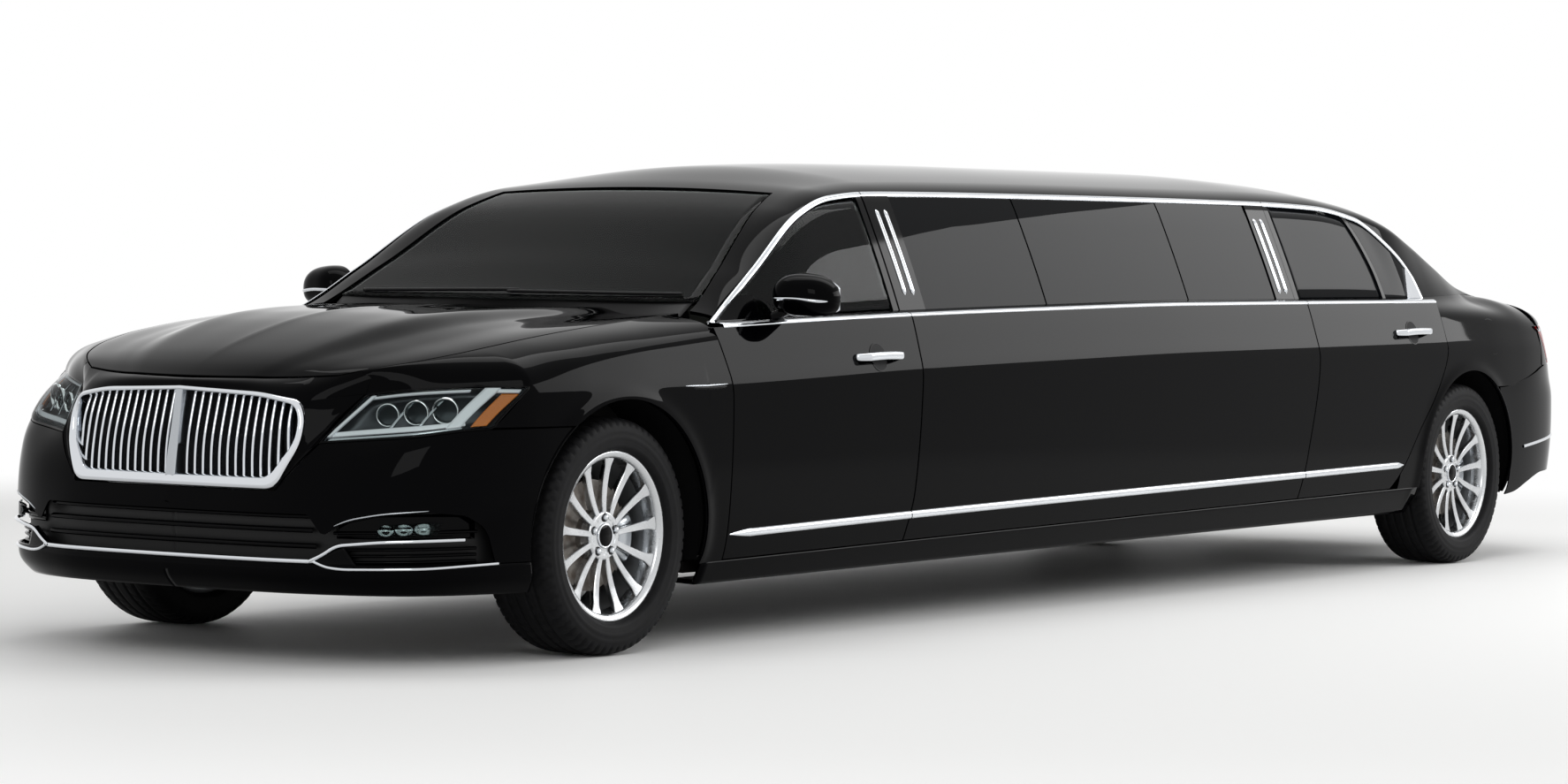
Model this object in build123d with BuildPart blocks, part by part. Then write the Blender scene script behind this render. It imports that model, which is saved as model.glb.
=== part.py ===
from build123d import *

import os
from math import cos, radians, sin

# Stretch limousine: a long-wheelbase luxury saloon, built as the real car is.
# Frame: millimetres, +Z up, front of the car towards -Y, left side of the car at +X.
# The origin is on the ground under the middle of the overall length and width.

# ---------------------------------------------------------------- driving dimensions
FRONT_OVERHANG = 950.0  # front axle to the foremost point of the bumper
WHEELBASE = 5512.0  # a 2972 mm saloon wheelbase with a 2540 mm stretch
REAR_OVERHANG = 1188.0  # rear axle to the rearmost point of the bumper
BODY_WIDTH = 1912.0  # over the door skins, without mirrors
ROOF_HEIGHT = 1500.0  # ground to the crown of the roof

TYRE_RADIUS = 352.0
TYRE_WIDTH = 245.0
RIM_RADIUS = 241.0  # bead seat of a 19 inch rim
RIM_LIP = 252.5  # outer radius of the rim flange
TYRE_INSET = 33.0  # body side to the outer face of the tyre

DOOR_THICKNESS = 90.0
FRAME_THICKNESS = 42.0  # window frames and pillars
SKIN_THICKNESS = 34.0  # roof, wings, quarters and bumpers
LID_THICKNESS = 22.0  # bonnet and boot lid
GLASS_THICKNESS = 6.0
GLASS_INSET = 9.0  # glass lies this far behind the outer face of its frame
PANEL_GAP = 7.0
SKIN_FLANGE = 14.0  # the outer part of a door that reaches to its shut line
INNER_STEP = 24.0  # the rest of the door is this much smaller all round, so that it swings clear
WHEEL_CLEARANCE = 53.0  # tyre to wheel-arch edge
LINER_CLEARANCE = 92.0  # tyre to wheel-arch liner, so that a steered wheel clears it
BEARING_CLEARANCE = 0.05

SHOULDER_INSET = 85.0  # body side to the belt line, in plan
SILL_INSET = 50.0  # body side to the foot of the sill, in plan
WIDEST_Z = 552.0  # height of the widest point of the side
SILL_BOTTOM = 188.0
SILL_TOP = 258.0
BELT_Z = 985.0
REAR_RISE = 62.65  # the belt and sill lines stand this much higher at the rear axle than at the front door
WINDOW_TOP = 1378.0

STEER_AXIS_INSET = 232.0  # body side to the steering axis
DISC_RADIUS = 168.0
DISC_THICKNESS = 28.0
SPINDLE_RADIUS = 32.0
SPOKES = 13

# ---------------------------------------------------------------- worked-out places
HALF_WIDTH = BODY_WIDTH / 2
LENGTH = FRONT_OVERHANG + WHEELBASE + REAR_OVERHANG
FRONT_AXLE = -LENGTH / 2 + FRONT_OVERHANG
REAR_AXLE = FRONT_AXLE + WHEELBASE
AXLE_Z = TYRE_RADIUS
ARCH_RADIUS = TYRE_RADIUS + WHEEL_CLEARANCE
LINER_RADIUS = TYRE_RADIUS + LINER_CLEARANCE
WHEEL_X = HALF_WIDTH - TYRE_INSET - TYRE_WIDTH / 2
STEER_X = HALF_WIDTH - STEER_AXIS_INSET
LINER_INNER_X = WHEEL_X - 330
LINER_OUTER_X = HALF_WIDTH - SKIN_THICKNESS - 42
FLOOR_Z = SILL_BOTTOM + 30
FLOOR_TOP = FLOOR_Z + 36


def front(d):
    """Y of a point d behind the front axle."""
    return FRONT_AXLE + d


def rear(d):
    """Y of a point d behind the rear axle."""
    return REAR_AXLE + d


def raked(z, y):
    """Height at y of a side line that starts at height z by the front door."""
    return z + REAR_RISE * (y - front(500)) / (REAR_AXLE - front(500))


DOOR_FRONT = front(505)  # leading shut line of the front door
DOOR_REAR = front(1588)  # trailing shut line of the front door
REAR_DOOR_FRONT = rear(-1250)
REAR_DOOR_REAR = rear(-202)

# Sections of the lower body: y, shoulder inset from the body side, shoulder height, crown height
LOWER_SECTIONS = [
    (front(-1010), 175, 600, 745),
    (front(-850), 165, 700, 822),
    (front(-700), 155, 770, 880),
    (front(-500), 140, 840, 945),
    (front(-250), 125, 905, 990),
    (front(0), 110, 947, 1010),
    (front(300), 95, 972, 1016),
    (front(620), SHOULDER_INSET, BELT_Z, BELT_Z + 25),
    (rear(-700), SHOULDER_INSET, raked(BELT_Z, rear(-700)), raked(BELT_Z, rear(-700)) + 25),
    (rear(0), 95, 1022, 1075),
    (rear(450), 115, 1012, 1076),
    (rear(750), 150, 990, 1062),
    (rear(950), 180, 950, 1042),
    (rear(1250), 215, 880, 1005),
]

NOSE = LOWER_SECTIONS[:8]
CABIN = LOWER_SECTIONS[6:10]
TAIL = LOWER_SECTIONS[8:]

# Sections of the greenhouse: y, half width at its foot, half width at the rail, rail height, crown height
GREENHOUSE_FOOT = 840.0
NOMINAL_HALF_WIDTH = 956.0
GREENHOUSE_SECTIONS = [
    (front(395), 895, 850, 950, 985),
    (front(560), 905, 830, 985, 1030),
    (front(830), 911, 790, 1125, 1170),
    (front(1165), 911, 715, 1325, 1345),
    (front(1400), 911, 690, 1390, 1422),
    (front(1720), 911, 685, 1405, ROOF_HEIGHT - 23),
    (front(2200), 911, 682, 1410, ROOF_HEIGHT - 6),
    (front(2900), 911, 682, 1412, ROOF_HEIGHT),
    (rear(-1300), 911, 682, 1412, ROOF_HEIGHT),
    (rear(-860), 911, 690, 1403, ROOF_HEIGHT - 12),
    (rear(-560), 911, 705, 1375, ROOF_HEIGHT - 32),
    (rear(-300), 908, 735, 1320, 1432),
    (rear(-100), 902, 752, 1260, 1382),
    (rear(120), 896, 770, 1188, 1305),
    (rear(360), 888, 785, 1108, 1212),
    (rear(600), 880, 800, 1045, 1110),
]


# ---------------------------------------------------------------- envelopes
PLAN_EASE = 5.0  # the plan outline passes this far outside the straight sides


def lower_loft(sections, inset, foot):
    """The lower body between its sections, drawn in by inset, with its underside at height foot."""
    with BuildPart() as body:
        for y, shoulder, z_shoulder, z_crown in sections:
            x_foot = HALF_WIDTH - SILL_INSET - inset
            x_side = HALF_WIDTH - inset
            x_top = HALF_WIDTH - shoulder - inset
            with BuildSketch(Plane.XZ.offset(-y)):
                with BuildLine():
                    Line((-x_foot, foot), (x_foot, foot))
                    ThreePointArc((x_foot, foot), (x_side, WIDEST_Z), (x_top, z_shoulder - inset))
                    ThreePointArc(
                        (x_top, z_shoulder - inset), (0, z_crown - inset), (-x_top, z_shoulder - inset)
                    )
                    ThreePointArc((-x_top, z_shoulder - inset), (-x_side, WIDEST_Z), (-x_foot, foot))
                make_face()
        loft(ruled=True)
    return body.part


def plan_outline(inset):
    """The body seen from above: rounded nose, straight sides and rounded tail, drawn in by inset."""
    nose, tail = front(-FRONT_OVERHANG) + inset, rear(REAR_OVERHANG) - inset
    side = HALF_WIDTH - inset + PLAN_EASE
    nose_corner = (side - 366 + inset / 2, nose + 76)
    tail_corner = (side - 336 + inset / 2, tail - 55)
    with BuildLine() as outline:
        ThreePointArc((0, nose), (300, nose + 17), nose_corner)
        ThreePointArc(nose_corner, (side - 118, nose + 243), (side - 28, front(-410)))
        ThreePointArc((side - 28, front(-410)), (side - 8, front(-150)), (side, front(150)))
        Line((side, front(150)), (side, rear(0)))
        ThreePointArc((side, rear(0)), (side - 10, rear(350)), (side - 42, rear(700)))
        ThreePointArc((side - 42, rear(700)), (side - 118, tail - 228), tail_corner)
        ThreePointArc(tail_corner, (310, tail - 12), (0, tail))
        mirror(about=Plane.YZ)
    return outline.line


def lower_body(sections, inset=0.0, foot=None):
    """Closed solid of one zone of the lower body, drawn in by inset at the sides, top and ends."""
    foot = SILL_BOTTOM + inset if foot is None else foot
    with BuildPart() as body:
        add(lower_loft(sections, inset, foot))
        with BuildSketch(Plane.XY.offset(-100)):
            with BuildLine():
                add(plan_outline(inset))
            make_face()
        extrude(amount=2 * ROOF_HEIGHT, mode=Mode.INTERSECT)
    return body.part


def greenhouse(inset=0.0):
    """Closed solid of the glasshouse from below the belt to the roof, drawn in by inset."""
    wider = HALF_WIDTH - NOMINAL_HALF_WIDTH - inset
    with BuildPart() as house:
        for y, x_foot, x_rail, z_rail, z_crown in GREENHOUSE_SECTIONS:
            side, rail = x_foot + wider, x_rail + wider
            with BuildSketch(Plane.XZ.offset(-y)):
                with BuildLine():
                    Line((-side, GREENHOUSE_FOOT), (side, GREENHOUSE_FOOT))
                    Line((side, GREENHOUSE_FOOT), (rail, z_rail - inset))
                    ThreePointArc((rail, z_rail - inset), (0, z_crown - inset), (-rail, z_rail - inset))
                    Line((-rail, z_rail - inset), (-side, GREENHOUSE_FOOT))
                make_face()
        loft(ruled=True)
    return house.part


# ---------------------------------------------------------------- helpers for shells and outlines
def common(first, *others):
    """What lies in every one of the solids."""
    with BuildPart() as shared:
        add(first)
        for other in others:
            add(other, mode=Mode.INTERSECT)
    return shared.part


def less(first, *others):
    """The first solid without the others."""
    with BuildPart() as rest:
        add(first)
        for other in others:
            add(other, mode=Mode.SUBTRACT)
    return rest.part


def joined(*solids):
    """The solids as one part."""
    with BuildPart() as whole:
        for solid in solids:
            add(solid)
    return whole.part


def both_sides(part):
    """A left-hand piece with its right-hand twin."""
    with BuildPart() as pair:
        add(part)
        mirror(about=Plane.YZ)
    return pair.part


def block(x, y, z):
    """A plain block between the limits given in pairs."""
    with BuildPart() as solid:
        with Locations(((x[0] + x[1]) / 2, (y[0] + y[1]) / 2, (z[0] + z[1]) / 2)):
            Box(x[1] - x[0], y[1] - y[0], z[1] - z[0])
    return solid.part


def prism(plane, outline, depth, grow=0.0):
    """A closed outline on a plane, as (kind of curve, its points...) in turn, grown all round and
    extruded by depth."""
    with BuildPart() as solid:
        with BuildSketch(plane):
            with BuildLine():
                for kind, *points in outline:
                    kind(*points)
            make_face()
            if grow:
                offset(amount=grow, kind=Kind.INTERSECTION)
        extrude(amount=depth)
    return solid.part


SIDE_FROM, SIDE_TO = 250.0, 1100.0  # how far a cut from the side reaches, in x


def side_cut(outline, grow=0.0, x_from=SIDE_FROM, x_to=SIDE_TO):
    """Prism through the left side from an outline of (y, z) points."""
    return prism(Plane.YZ.offset(x_from), outline, x_to - x_from, grow)


def closed(*points):
    """Straight sides of a closed outline."""
    return [(Line, a, b) for a, b in zip(points, points[1:] + points[:1])]


def mirrored_plan(*points):
    """Closed outline in plan from the points of its left half, which start and end at x = 0."""
    return closed(*points, *[(-x, y) for x, y in points[-2:0:-1]])


def plan_cut(points, grow=0.0, z=(600.0, 2000.0)):
    """Prism from above from the left half of an outline of (x, y) points."""
    return prism(Plane.XY.offset(z[0]), mirrored_plan(*points), z[1] - z[0], grow)


def disc(y, z, radius, x):
    """A round space or a round bar along x, between the two x limits."""
    with BuildPart() as solid:
        with BuildSketch(Plane.YZ.offset(x[0])):
            with Locations((y, z)):
                Circle(radius)
        extrude(amount=x[1] - x[0])
    return solid.part


FAR = LENGTH  # reaches past the car
ABOVE = 2 * ROOF_HEIGHT

# ---------------------------------------------------------------- shells
NOSE_BODY = lower_body(NOSE)
CABIN_BODY = lower_body(CABIN)
TAIL_BODY = lower_body(TAIL)
HOUSE = greenhouse()
CABIN_OUTER = joined(CABIN_BODY, HOUSE)
CABIN_INNER = joined(lower_body(CABIN, DOOR_THICKNESS, foot=0), greenhouse(FRAME_THICKNESS))
CABIN_WALL = less(CABIN_OUTER, CABIN_INNER)
CABIN_FLANGE = less(CABIN_OUTER, lower_body(CABIN, SKIN_FLANGE, foot=0), greenhouse(SKIN_FLANGE))
NOSE_SKIN = less(NOSE_BODY, lower_body(NOSE, SKIN_THICKNESS, foot=0))
TAIL_SKIN = less(TAIL_BODY, lower_body(TAIL, SKIN_THICKNESS, foot=0))
HOUSE_WALL = less(HOUSE, greenhouse(FRAME_THICKNESS))
GLASS_SHELL = less(greenhouse(GLASS_INSET), greenhouse(GLASS_INSET + GLASS_THICKNESS))

# The wheel wells: the arch edge in the skin, and a wider well behind it
WELLS = both_sides(
    joined(
        *[
            disc(y, AXLE_Z, radius, x)
            for y in (FRONT_AXLE, REAR_AXLE)
            for radius, x in (
                (ARCH_RADIUS, (LINER_OUTER_X - 1, HALF_WIDTH + 50)),
                (LINER_RADIUS, (LINER_INNER_X, LINER_OUTER_X)),
            )
        ]
    )
)


# ---------------------------------------------------------------- shut lines
def window_line(lift=0.0):
    """Upper edge of the side windows, lowered or raised by lift: up with the windscreen pillar,
    level along the roof and down with the rear pillar, as (y, z) points."""
    return [
        (front(545), 972 + lift),
        (front(840), 1128 + lift),
        (front(1180), 1322 + lift),
        (front(1390), WINDOW_TOP + lift),
        (front(1700), WINDOW_TOP + lift),
        (rear(-1270), WINDOW_TOP + lift),
        (rear(-860), WINDOW_TOP + lift),
        (rear(-560), 1325 + lift),
        (rear(-360), 1228 + lift),
        (rear(-236), 1112 + lift),
    ]


A_FOOT, A_MID, A_HIGH, A_TOP, B_TOP, C_TOP, D_TOP, D_HIGH, D_MID, D_FOOT = window_line()
GLASS_LIFT = -36.0
_, GA_MID, GA_HIGH, GA_TOP, GB_TOP, GC_TOP, GD_TOP, GD_HIGH, GD_MID, GD_FOOT = window_line(GLASS_LIFT)
PILLAR = 110.0  # cover between the front door window and the first fixed window
FRAME_SIDE = 46.0  # door frame beside its window
DIVIDER = 60.0
SILL_OF_WINDOW = 16.0  # window opening above the belt


def belt(y):
    return raked(BELT_Z, y)


def foot_line(y):
    return raked(SILL_TOP, y)


FRONT_DOOR = [
    (Line, (DOOR_FRONT + 6, foot_line(DOOR_FRONT + 6)), (DOOR_FRONT + 20, 640)),
    (Line, (DOOR_FRONT + 20, 640), (DOOR_FRONT, 940)),
    *[
        (Line, a, b)
        for a, b in zip(
            [(DOOR_FRONT, 940), A_FOOT, A_MID, A_HIGH, A_TOP, (DOOR_REAR, B_TOP[1])],
            [A_FOOT, A_MID, A_HIGH, A_TOP, (DOOR_REAR, B_TOP[1]), (DOOR_REAR, 960)],
        )
    ],
    (Line, (DOOR_REAR, 960), (DOOR_REAR - 9, 800)),
    (Line, (DOOR_REAR - 9, 800), (DOOR_REAR - 70, foot_line(DOOR_REAR - 70))),
    (Line, (DOOR_REAR - 70, foot_line(DOOR_REAR - 70)), (DOOR_FRONT + 6, foot_line(DOOR_FRONT + 6))),
]
REAR_DOOR_FOOT = REAR_DOOR_FRONT - 108
CUT_END = REAR_DOOR_REAR - 388  # where the rear door's lower edge meets its wheel-arch cut
REAR_DOOR = [
    (Line, (REAR_DOOR_FOOT, foot_line(REAR_DOOR_FOOT)), (REAR_DOOR_FRONT, 847)),
    (Line, (REAR_DOOR_FRONT, 847), (REAR_DOOR_FRONT, C_TOP[1])),
    *[
        (Line, a, b)
        for a, b in zip(
            [(REAR_DOOR_FRONT, C_TOP[1]), D_TOP, D_HIGH, D_MID, D_FOOT, (REAR_DOOR_REAR, 1010)],
            [D_TOP, D_HIGH, D_MID, D_FOOT, (REAR_DOOR_REAR, 1010), (REAR_DOOR_REAR + 4, 850)],
        )
    ],
    (
        ThreePointArc,
        (REAR_DOOR_REAR + 4, 850),
        (REAR_DOOR_REAR - 236, 535),
        (CUT_END, foot_line(CUT_END)),
    ),
    (Line, (CUT_END, foot_line(CUT_END)), (REAR_DOOR_FOOT, foot_line(REAR_DOOR_FOOT))),
]
FRONT_WINDOW = closed(
    (A_MID[0] + 20, belt(DOOR_FRONT) + SILL_OF_WINDOW), (A_MID[0] + 72, GA_MID[1] + 14), GA_HIGH, GA_TOP,
    (DOOR_REAR - FRAME_SIDE, GB_TOP[1]), (DOOR_REAR - FRAME_SIDE, belt(DOOR_REAR) + SILL_OF_WINDOW),
)
REAR_WINDOW_FRONT = REAR_DOOR_FRONT + FRAME_SIDE
REAR_WINDOW = closed(
    (REAR_WINDOW_FRONT, belt(REAR_DOOR_FRONT) + SILL_OF_WINDOW), (REAR_WINDOW_FRONT, GC_TOP[1]), GD_TOP,
    GD_HIGH, (GD_MID[0] - 14, GD_MID[1]), (GD_FOOT[0] - 34, GD_FOOT[1]),
    (GD_FOOT[0] - 34, belt(REAR_DOOR_REAR) + SILL_OF_WINDOW),
)

# Fixed windows of the stretched section, as (front, rear) edges
STRETCH_FRONT = DOOR_REAR + PILLAR
STRETCH_REAR = REAR_DOOR_FRONT - PILLAR
SECOND_DIVIDER = STRETCH_FRONT + 0.325 * (STRETCH_REAR - STRETCH_FRONT)
THIRD_DIVIDER = STRETCH_FRONT + 0.725 * (STRETCH_REAR - STRETCH_FRONT)
FIXED_WINDOWS = [
    (STRETCH_FRONT, SECOND_DIVIDER - DIVIDER / 2),
    (SECOND_DIVIDER + DIVIDER / 2, THIRD_DIVIDER - DIVIDER / 2),
    (THIRD_DIVIDER + DIVIDER / 2, STRETCH_REAR),
]


PILLAR_WIDTH = 34.0  # least width of the windscreen pillar beside the glass
GLASS_CUT_Z = 900.0  # the cuts for the front and rear glass go down to this height
# Windscreen and rear window from above, as (x, y) points of the left half
WINDSCREEN = [
    (0, front(540)), (380, front(570)), (700, front(655)), (535, front(1325)), (300, front(1290)),
    (0, front(1275)),
]
BACKLIGHT = [
    (0, rear(-455)), (420, rear(-440)), (590, rear(-400)), (690, rear(520)), (400, rear(560)),
    (0, rear(575)),
]


# ---------------------------------------------------------------- doors
def make_door(outline, window):
    """A left door: a thin outer flange up to the shut line over a smaller, thicker inner part."""
    flange = common(CABIN_FLANGE, side_cut(outline))
    inner = common(CABIN_WALL, side_cut(outline, grow=-INNER_STEP))
    return less(joined(flange, inner), side_cut(window))


def make_pane(*windows):
    """The glass that fills the windows given."""
    return joined(*[common(GLASS_SHELL, side_cut(window)) for window in windows])


front_door_shape = less(
    make_door(FRONT_DOOR, FRONT_WINDOW), plan_cut(WINDSCREEN, grow=PILLAR_WIDTH, z=(GLASS_CUT_Z, ABOVE))
)
rear_door_shape = make_door(REAR_DOOR, REAR_WINDOW)

with BuildPart() as door_front_left:
    add(front_door_shape)
door_front_left.part.label = "door_front_left"

with BuildPart() as door_front_right:
    mirror(front_door_shape, about=Plane.YZ)
door_front_right.part.label = "door_front_right"

with BuildPart() as door_rear_left:
    add(rear_door_shape)
door_rear_left.part.label = "door_rear_left"

with BuildPart() as door_rear_right:
    mirror(rear_door_shape, about=Plane.YZ)
door_rear_right.part.label = "door_rear_right"

front_pane = make_pane(FRONT_WINDOW)
rear_pane = make_pane(REAR_WINDOW)
with BuildPart() as glass_front_left:
    add(front_pane)
glass_front_left.part.label = "glass_front_left"

with BuildPart() as glass_front_right:
    mirror(front_pane, about=Plane.YZ)
glass_front_right.part.label = "glass_front_right"

with BuildPart() as glass_rear_left:
    add(rear_pane)
glass_rear_left.part.label = "glass_rear_left"

with BuildPart() as glass_rear_right:
    mirror(rear_pane, about=Plane.YZ)
glass_rear_right.part.label = "glass_rear_right"

DOOR_OPENINGS = both_sides(
    joined(side_cut(FRONT_DOOR, grow=PANEL_GAP), side_cut(REAR_DOOR, grow=PANEL_GAP))
)

# ---------------------------------------------------------------- lids, lamps and bumpers
# Outlines from above, as (x, y) points of the left half
BONNET = [
    (0, front(-858)), (300, front(-838)), (477, front(-749)), (600, front(-640)), (712, front(-470)),
    (762, front(-200)), (772, front(120)), (745, front(450)), (705, front(575)), (400, front(600)),
    (0, front(612)),
]
BONNET_REAR = front(612)
BONNET_FOOT = 790.0  # lowest edge of the bonnet, over the grille
NOSE_CUT_Z = 700.0  # the bonnet opening goes down to this height
BOOT_SIDE = 640.0
BOOT_FRONT = rear(610)
BOOT_FOOT = 655.0  # lower edge of the boot lid
DECK_FOOT = 1005.0  # nothing of the boot lid's top is below this height

bonnet_opening = plan_cut(BONNET, grow=PANEL_GAP, z=(NOSE_CUT_Z, ABOVE))
boot_opening = block(
    (-BOOT_SIDE - PANEL_GAP, BOOT_SIDE + PANEL_GAP),
    (BOOT_FRONT - PANEL_GAP, FAR),
    (BOOT_FOOT - PANEL_GAP, ABOVE),
)
with BuildPart() as bonnet:
    add(NOSE_BODY)
    add(plan_cut(BONNET, z=(BONNET_FOOT, ABOVE)), mode=Mode.INTERSECT)
    add(NOSE_BODY.moved(Location((0, 0, -LID_THICKNESS))), mode=Mode.SUBTRACT)
bonnet.part.label = "bonnet"

# Headlamps, outlined from the front as (x, z) points of the left one
LAMP_DEPTH = 120.0
LAMP_REAR = front(-425)
HEADLAMP = closed((513, 640), (548, 764), (700, 800), (980, 812), (980, 672), (700, 652))
front_region = block((-HALF_WIDTH, HALF_WIDTH), (-LENGTH / 2 - 50, LAMP_REAR), (0, ROOF_HEIGHT))
nose_front = common(NOSE_BODY, front_region)
LAMP_CORE = less(nose_front, lower_body(NOSE, LAMP_DEPTH, foot=0))


def nose_cut(outline, grow=0.0):
    """Prism through the nose from an outline of (x, z) points."""
    return prism(Plane.XZ.offset(FAR / 2 + 200), outline, -FAR / 2 + 1000, grow)


lamp_prism = nose_cut(HEADLAMP)
lamp_hole = both_sides(common(nose_cut(HEADLAMP, grow=1.0), front_region))
with BuildPart() as headlamps:
    add(both_sides(common(LAMP_CORE, lamp_prism, front_region)))
    add(bonnet_opening, mode=Mode.SUBTRACT)
headlamps.part.label = "headlamps"

# Grille opening and grille, outlined from the front as (x, z) points
GRILLE = [(0, 502), (392, 502), (458, 640), (458, 706), (436, 748), (300, 775), (0, 785)]
GRILLE_DEPTH = 60.0
GRILLE_MID = 640.0
GRILLE_SLATS = 14  # on each half
SLAT_THICKNESS = 7.0
grille_outline = mirrored_plan(*GRILLE)
grille_hole = nose_cut(grille_outline, grow=1.0)
GRILLE_FACE = 6.0  # the grille stands this far behind the bumper's face
grille_front = common(lower_body(NOSE, GRILLE_FACE), front_region, nose_cut(grille_outline))
grille_core = less(grille_front, lower_body(NOSE, GRILLE_DEPTH, foot=0))
GRILLE_RIM = 22.0
CENTRE_BAR = 30.0
GRILLE_HALF = max(x for x, z in GRILLE)
slat_pitch = (GRILLE_HALF - GRILLE_RIM - CENTRE_BAR / 2) / GRILLE_SLATS
slat_places = [
    side * (CENTRE_BAR / 2 + i * slat_pitch) for i in range(1, GRILLE_SLATS) for side in (-1, 1)
]
with BuildPart() as grille:
    add(grille_core)
    with BuildSketch(Plane.XZ.offset(LENGTH / 2 + 50)):
        with BuildLine():
            for kind, *points in grille_outline:
                kind(*points)
        make_face()
        offset(amount=-GRILLE_RIM, kind=Kind.INTERSECTION)
        with Locations((0, GRILLE_MID)):
            Rectangle(CENTRE_BAR, GRILLE_HALF, mode=Mode.SUBTRACT)
        with Locations(*[(x, GRILLE_MID) for x in slat_places]):
            Rectangle(SLAT_THICKNESS, GRILLE_HALF, mode=Mode.SUBTRACT)
    extrude(amount=-600, mode=Mode.SUBTRACT)
grille.part.label = "grille"

# Front bumper: all of the nose below the lamps, up to the wheel arch
BUMPER_TOP = 672.0
BUMPER_REAR = front(-330)
INTAKE = mirrored_plan((0, 316), (520, 316), (560, 380), (500, 436), (0, 436))
PLATE_HOLE = (177.8, 120.65)  # spacing of the number-plate holes across and up
PLATE_HOLE_RADIUS = 3.0
FRONT_PLATE_Z = 468.0
bumper_region = block((-HALF_WIDTH, HALF_WIDTH), (-FAR, BUMPER_REAR), (0, BUMPER_TOP))
bumper_shell = common(NOSE_SKIN, bumper_region)
with BuildPart() as front_bumper:
    add(bumper_shell)
    add(grille_hole, mode=Mode.SUBTRACT)
    add(lamp_hole, mode=Mode.SUBTRACT)
    add(nose_cut(INTAKE), mode=Mode.SUBTRACT)
    add(WELLS, mode=Mode.SUBTRACT)
    add(bonnet_opening, mode=Mode.SUBTRACT)
    with BuildSketch(Plane.XZ.offset(LENGTH / 2 + 50)):
        with Locations((-PLATE_HOLE[0] / 2, FRONT_PLATE_Z), (PLATE_HOLE[0] / 2, FRONT_PLATE_Z)):
            Circle(PLATE_HOLE_RADIUS)
    extrude(amount=-200, mode=Mode.SUBTRACT)
front_bumper.part.label = "front_bumper"

# Sills between the wheel arches
SILL_DEPTH = 120.0
SILL_FRONT = front(ARCH_RADIUS + 12)
SILL_REAR = rear(-ARCH_RADIUS - 12)
FLOOR_HALF = HALF_WIDTH - SILL_DEPTH
sill_cut = closed(
    (SILL_FRONT, SILL_BOTTOM), (SILL_REAR, SILL_BOTTOM),
    (SILL_REAR, foot_line(SILL_REAR) - PANEL_GAP), (SILL_FRONT, foot_line(SILL_FRONT) - PANEL_GAP),
)
SILL_BLOCK = both_sides(side_cut(sill_cut, x_from=FLOOR_HALF))

# Front wings: the sides from the lamps to the front doors
WING_FROM = 600.0  # the wings begin this far from the middle
wing_region = block((-HALF_WIDTH, HALF_WIDTH), (-FAR, DOOR_FRONT - PANEL_GAP), (SILL_BOTTOM, ABOVE))
with BuildPart() as front_wings:
    add(NOSE_SKIN)
    add(wing_region, mode=Mode.INTERSECT)
    add(bumper_region, mode=Mode.SUBTRACT)
    add(bonnet_opening, mode=Mode.SUBTRACT)
    add(lamp_hole, mode=Mode.SUBTRACT)
    add(grille_hole, mode=Mode.SUBTRACT)
    add(DOOR_OPENINGS, mode=Mode.SUBTRACT)
    add(WELLS, mode=Mode.SUBTRACT)
    add(SILL_BLOCK, mode=Mode.SUBTRACT)
    add(block((-WING_FROM, WING_FROM), (-FAR, FAR), (0, ABOVE)), mode=Mode.SUBTRACT)
front_wings.part.label = "front_wings"

# ---------------------------------------------------------------- tail
TAIL_LAMP_FOOT = 768.0
TAIL_LAMP_TOP = 925.0
TAIL_LAMP_FRONT = rear(690)
REAR_BUMPER_TOP = 640.0
REAR_BUMPER_FOOT = 250.0
REAR_BUMPER_FRONT = rear(375)
REAR_PLATE_Z = 540.0
tail_lamp_region = both_sides(
    block((BOOT_SIDE + PANEL_GAP + 1, FAR), (TAIL_LAMP_FRONT, FAR), (TAIL_LAMP_FOOT, TAIL_LAMP_TOP))
)
with BuildPart() as tail_lamps:
    add(TAIL_BODY)
    add(tail_lamp_region, mode=Mode.INTERSECT)
    add(lower_body(TAIL, LAMP_DEPTH, foot=0), mode=Mode.SUBTRACT)
tail_lamps.part.label = "tail_lamps"

rear_bumper_region = block((-FAR, FAR), (REAR_BUMPER_FRONT, FAR), (0, REAR_BUMPER_TOP))
with BuildPart() as rear_bumper:
    add(TAIL_SKIN)
    add(rear_bumper_region, mode=Mode.INTERSECT)
    add(block((-FAR, FAR), (-FAR, FAR), (0, REAR_BUMPER_FOOT)), mode=Mode.SUBTRACT)
    add(WELLS, mode=Mode.SUBTRACT)
    with BuildSketch(Plane.XZ.offset(-LENGTH / 2 - 50)):
        with Locations((0, REAR_PLATE_Z)):
            with GridLocations(*PLATE_HOLE, 2, 2):
                Circle(PLATE_HOLE_RADIUS)
    extrude(amount=200, mode=Mode.SUBTRACT)
rear_bumper.part.label = "rear_bumper"

# Boot lid: its top follows the deck and its back the tail
with BuildPart() as boot_lid:
    add(TAIL_BODY)
    add(block((-BOOT_SIDE, BOOT_SIDE), (BOOT_FRONT, FAR), (BOOT_FOOT, ABOVE)), mode=Mode.INTERSECT)
    add(lower_body(TAIL, LID_THICKNESS, foot=0), mode=Mode.SUBTRACT)
    add(block((-FAR, FAR), (BOOT_FRONT - 1, rear(1000)), (0, DECK_FOOT)), mode=Mode.SUBTRACT)
boot_lid.part.label = "boot_lid"

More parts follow.
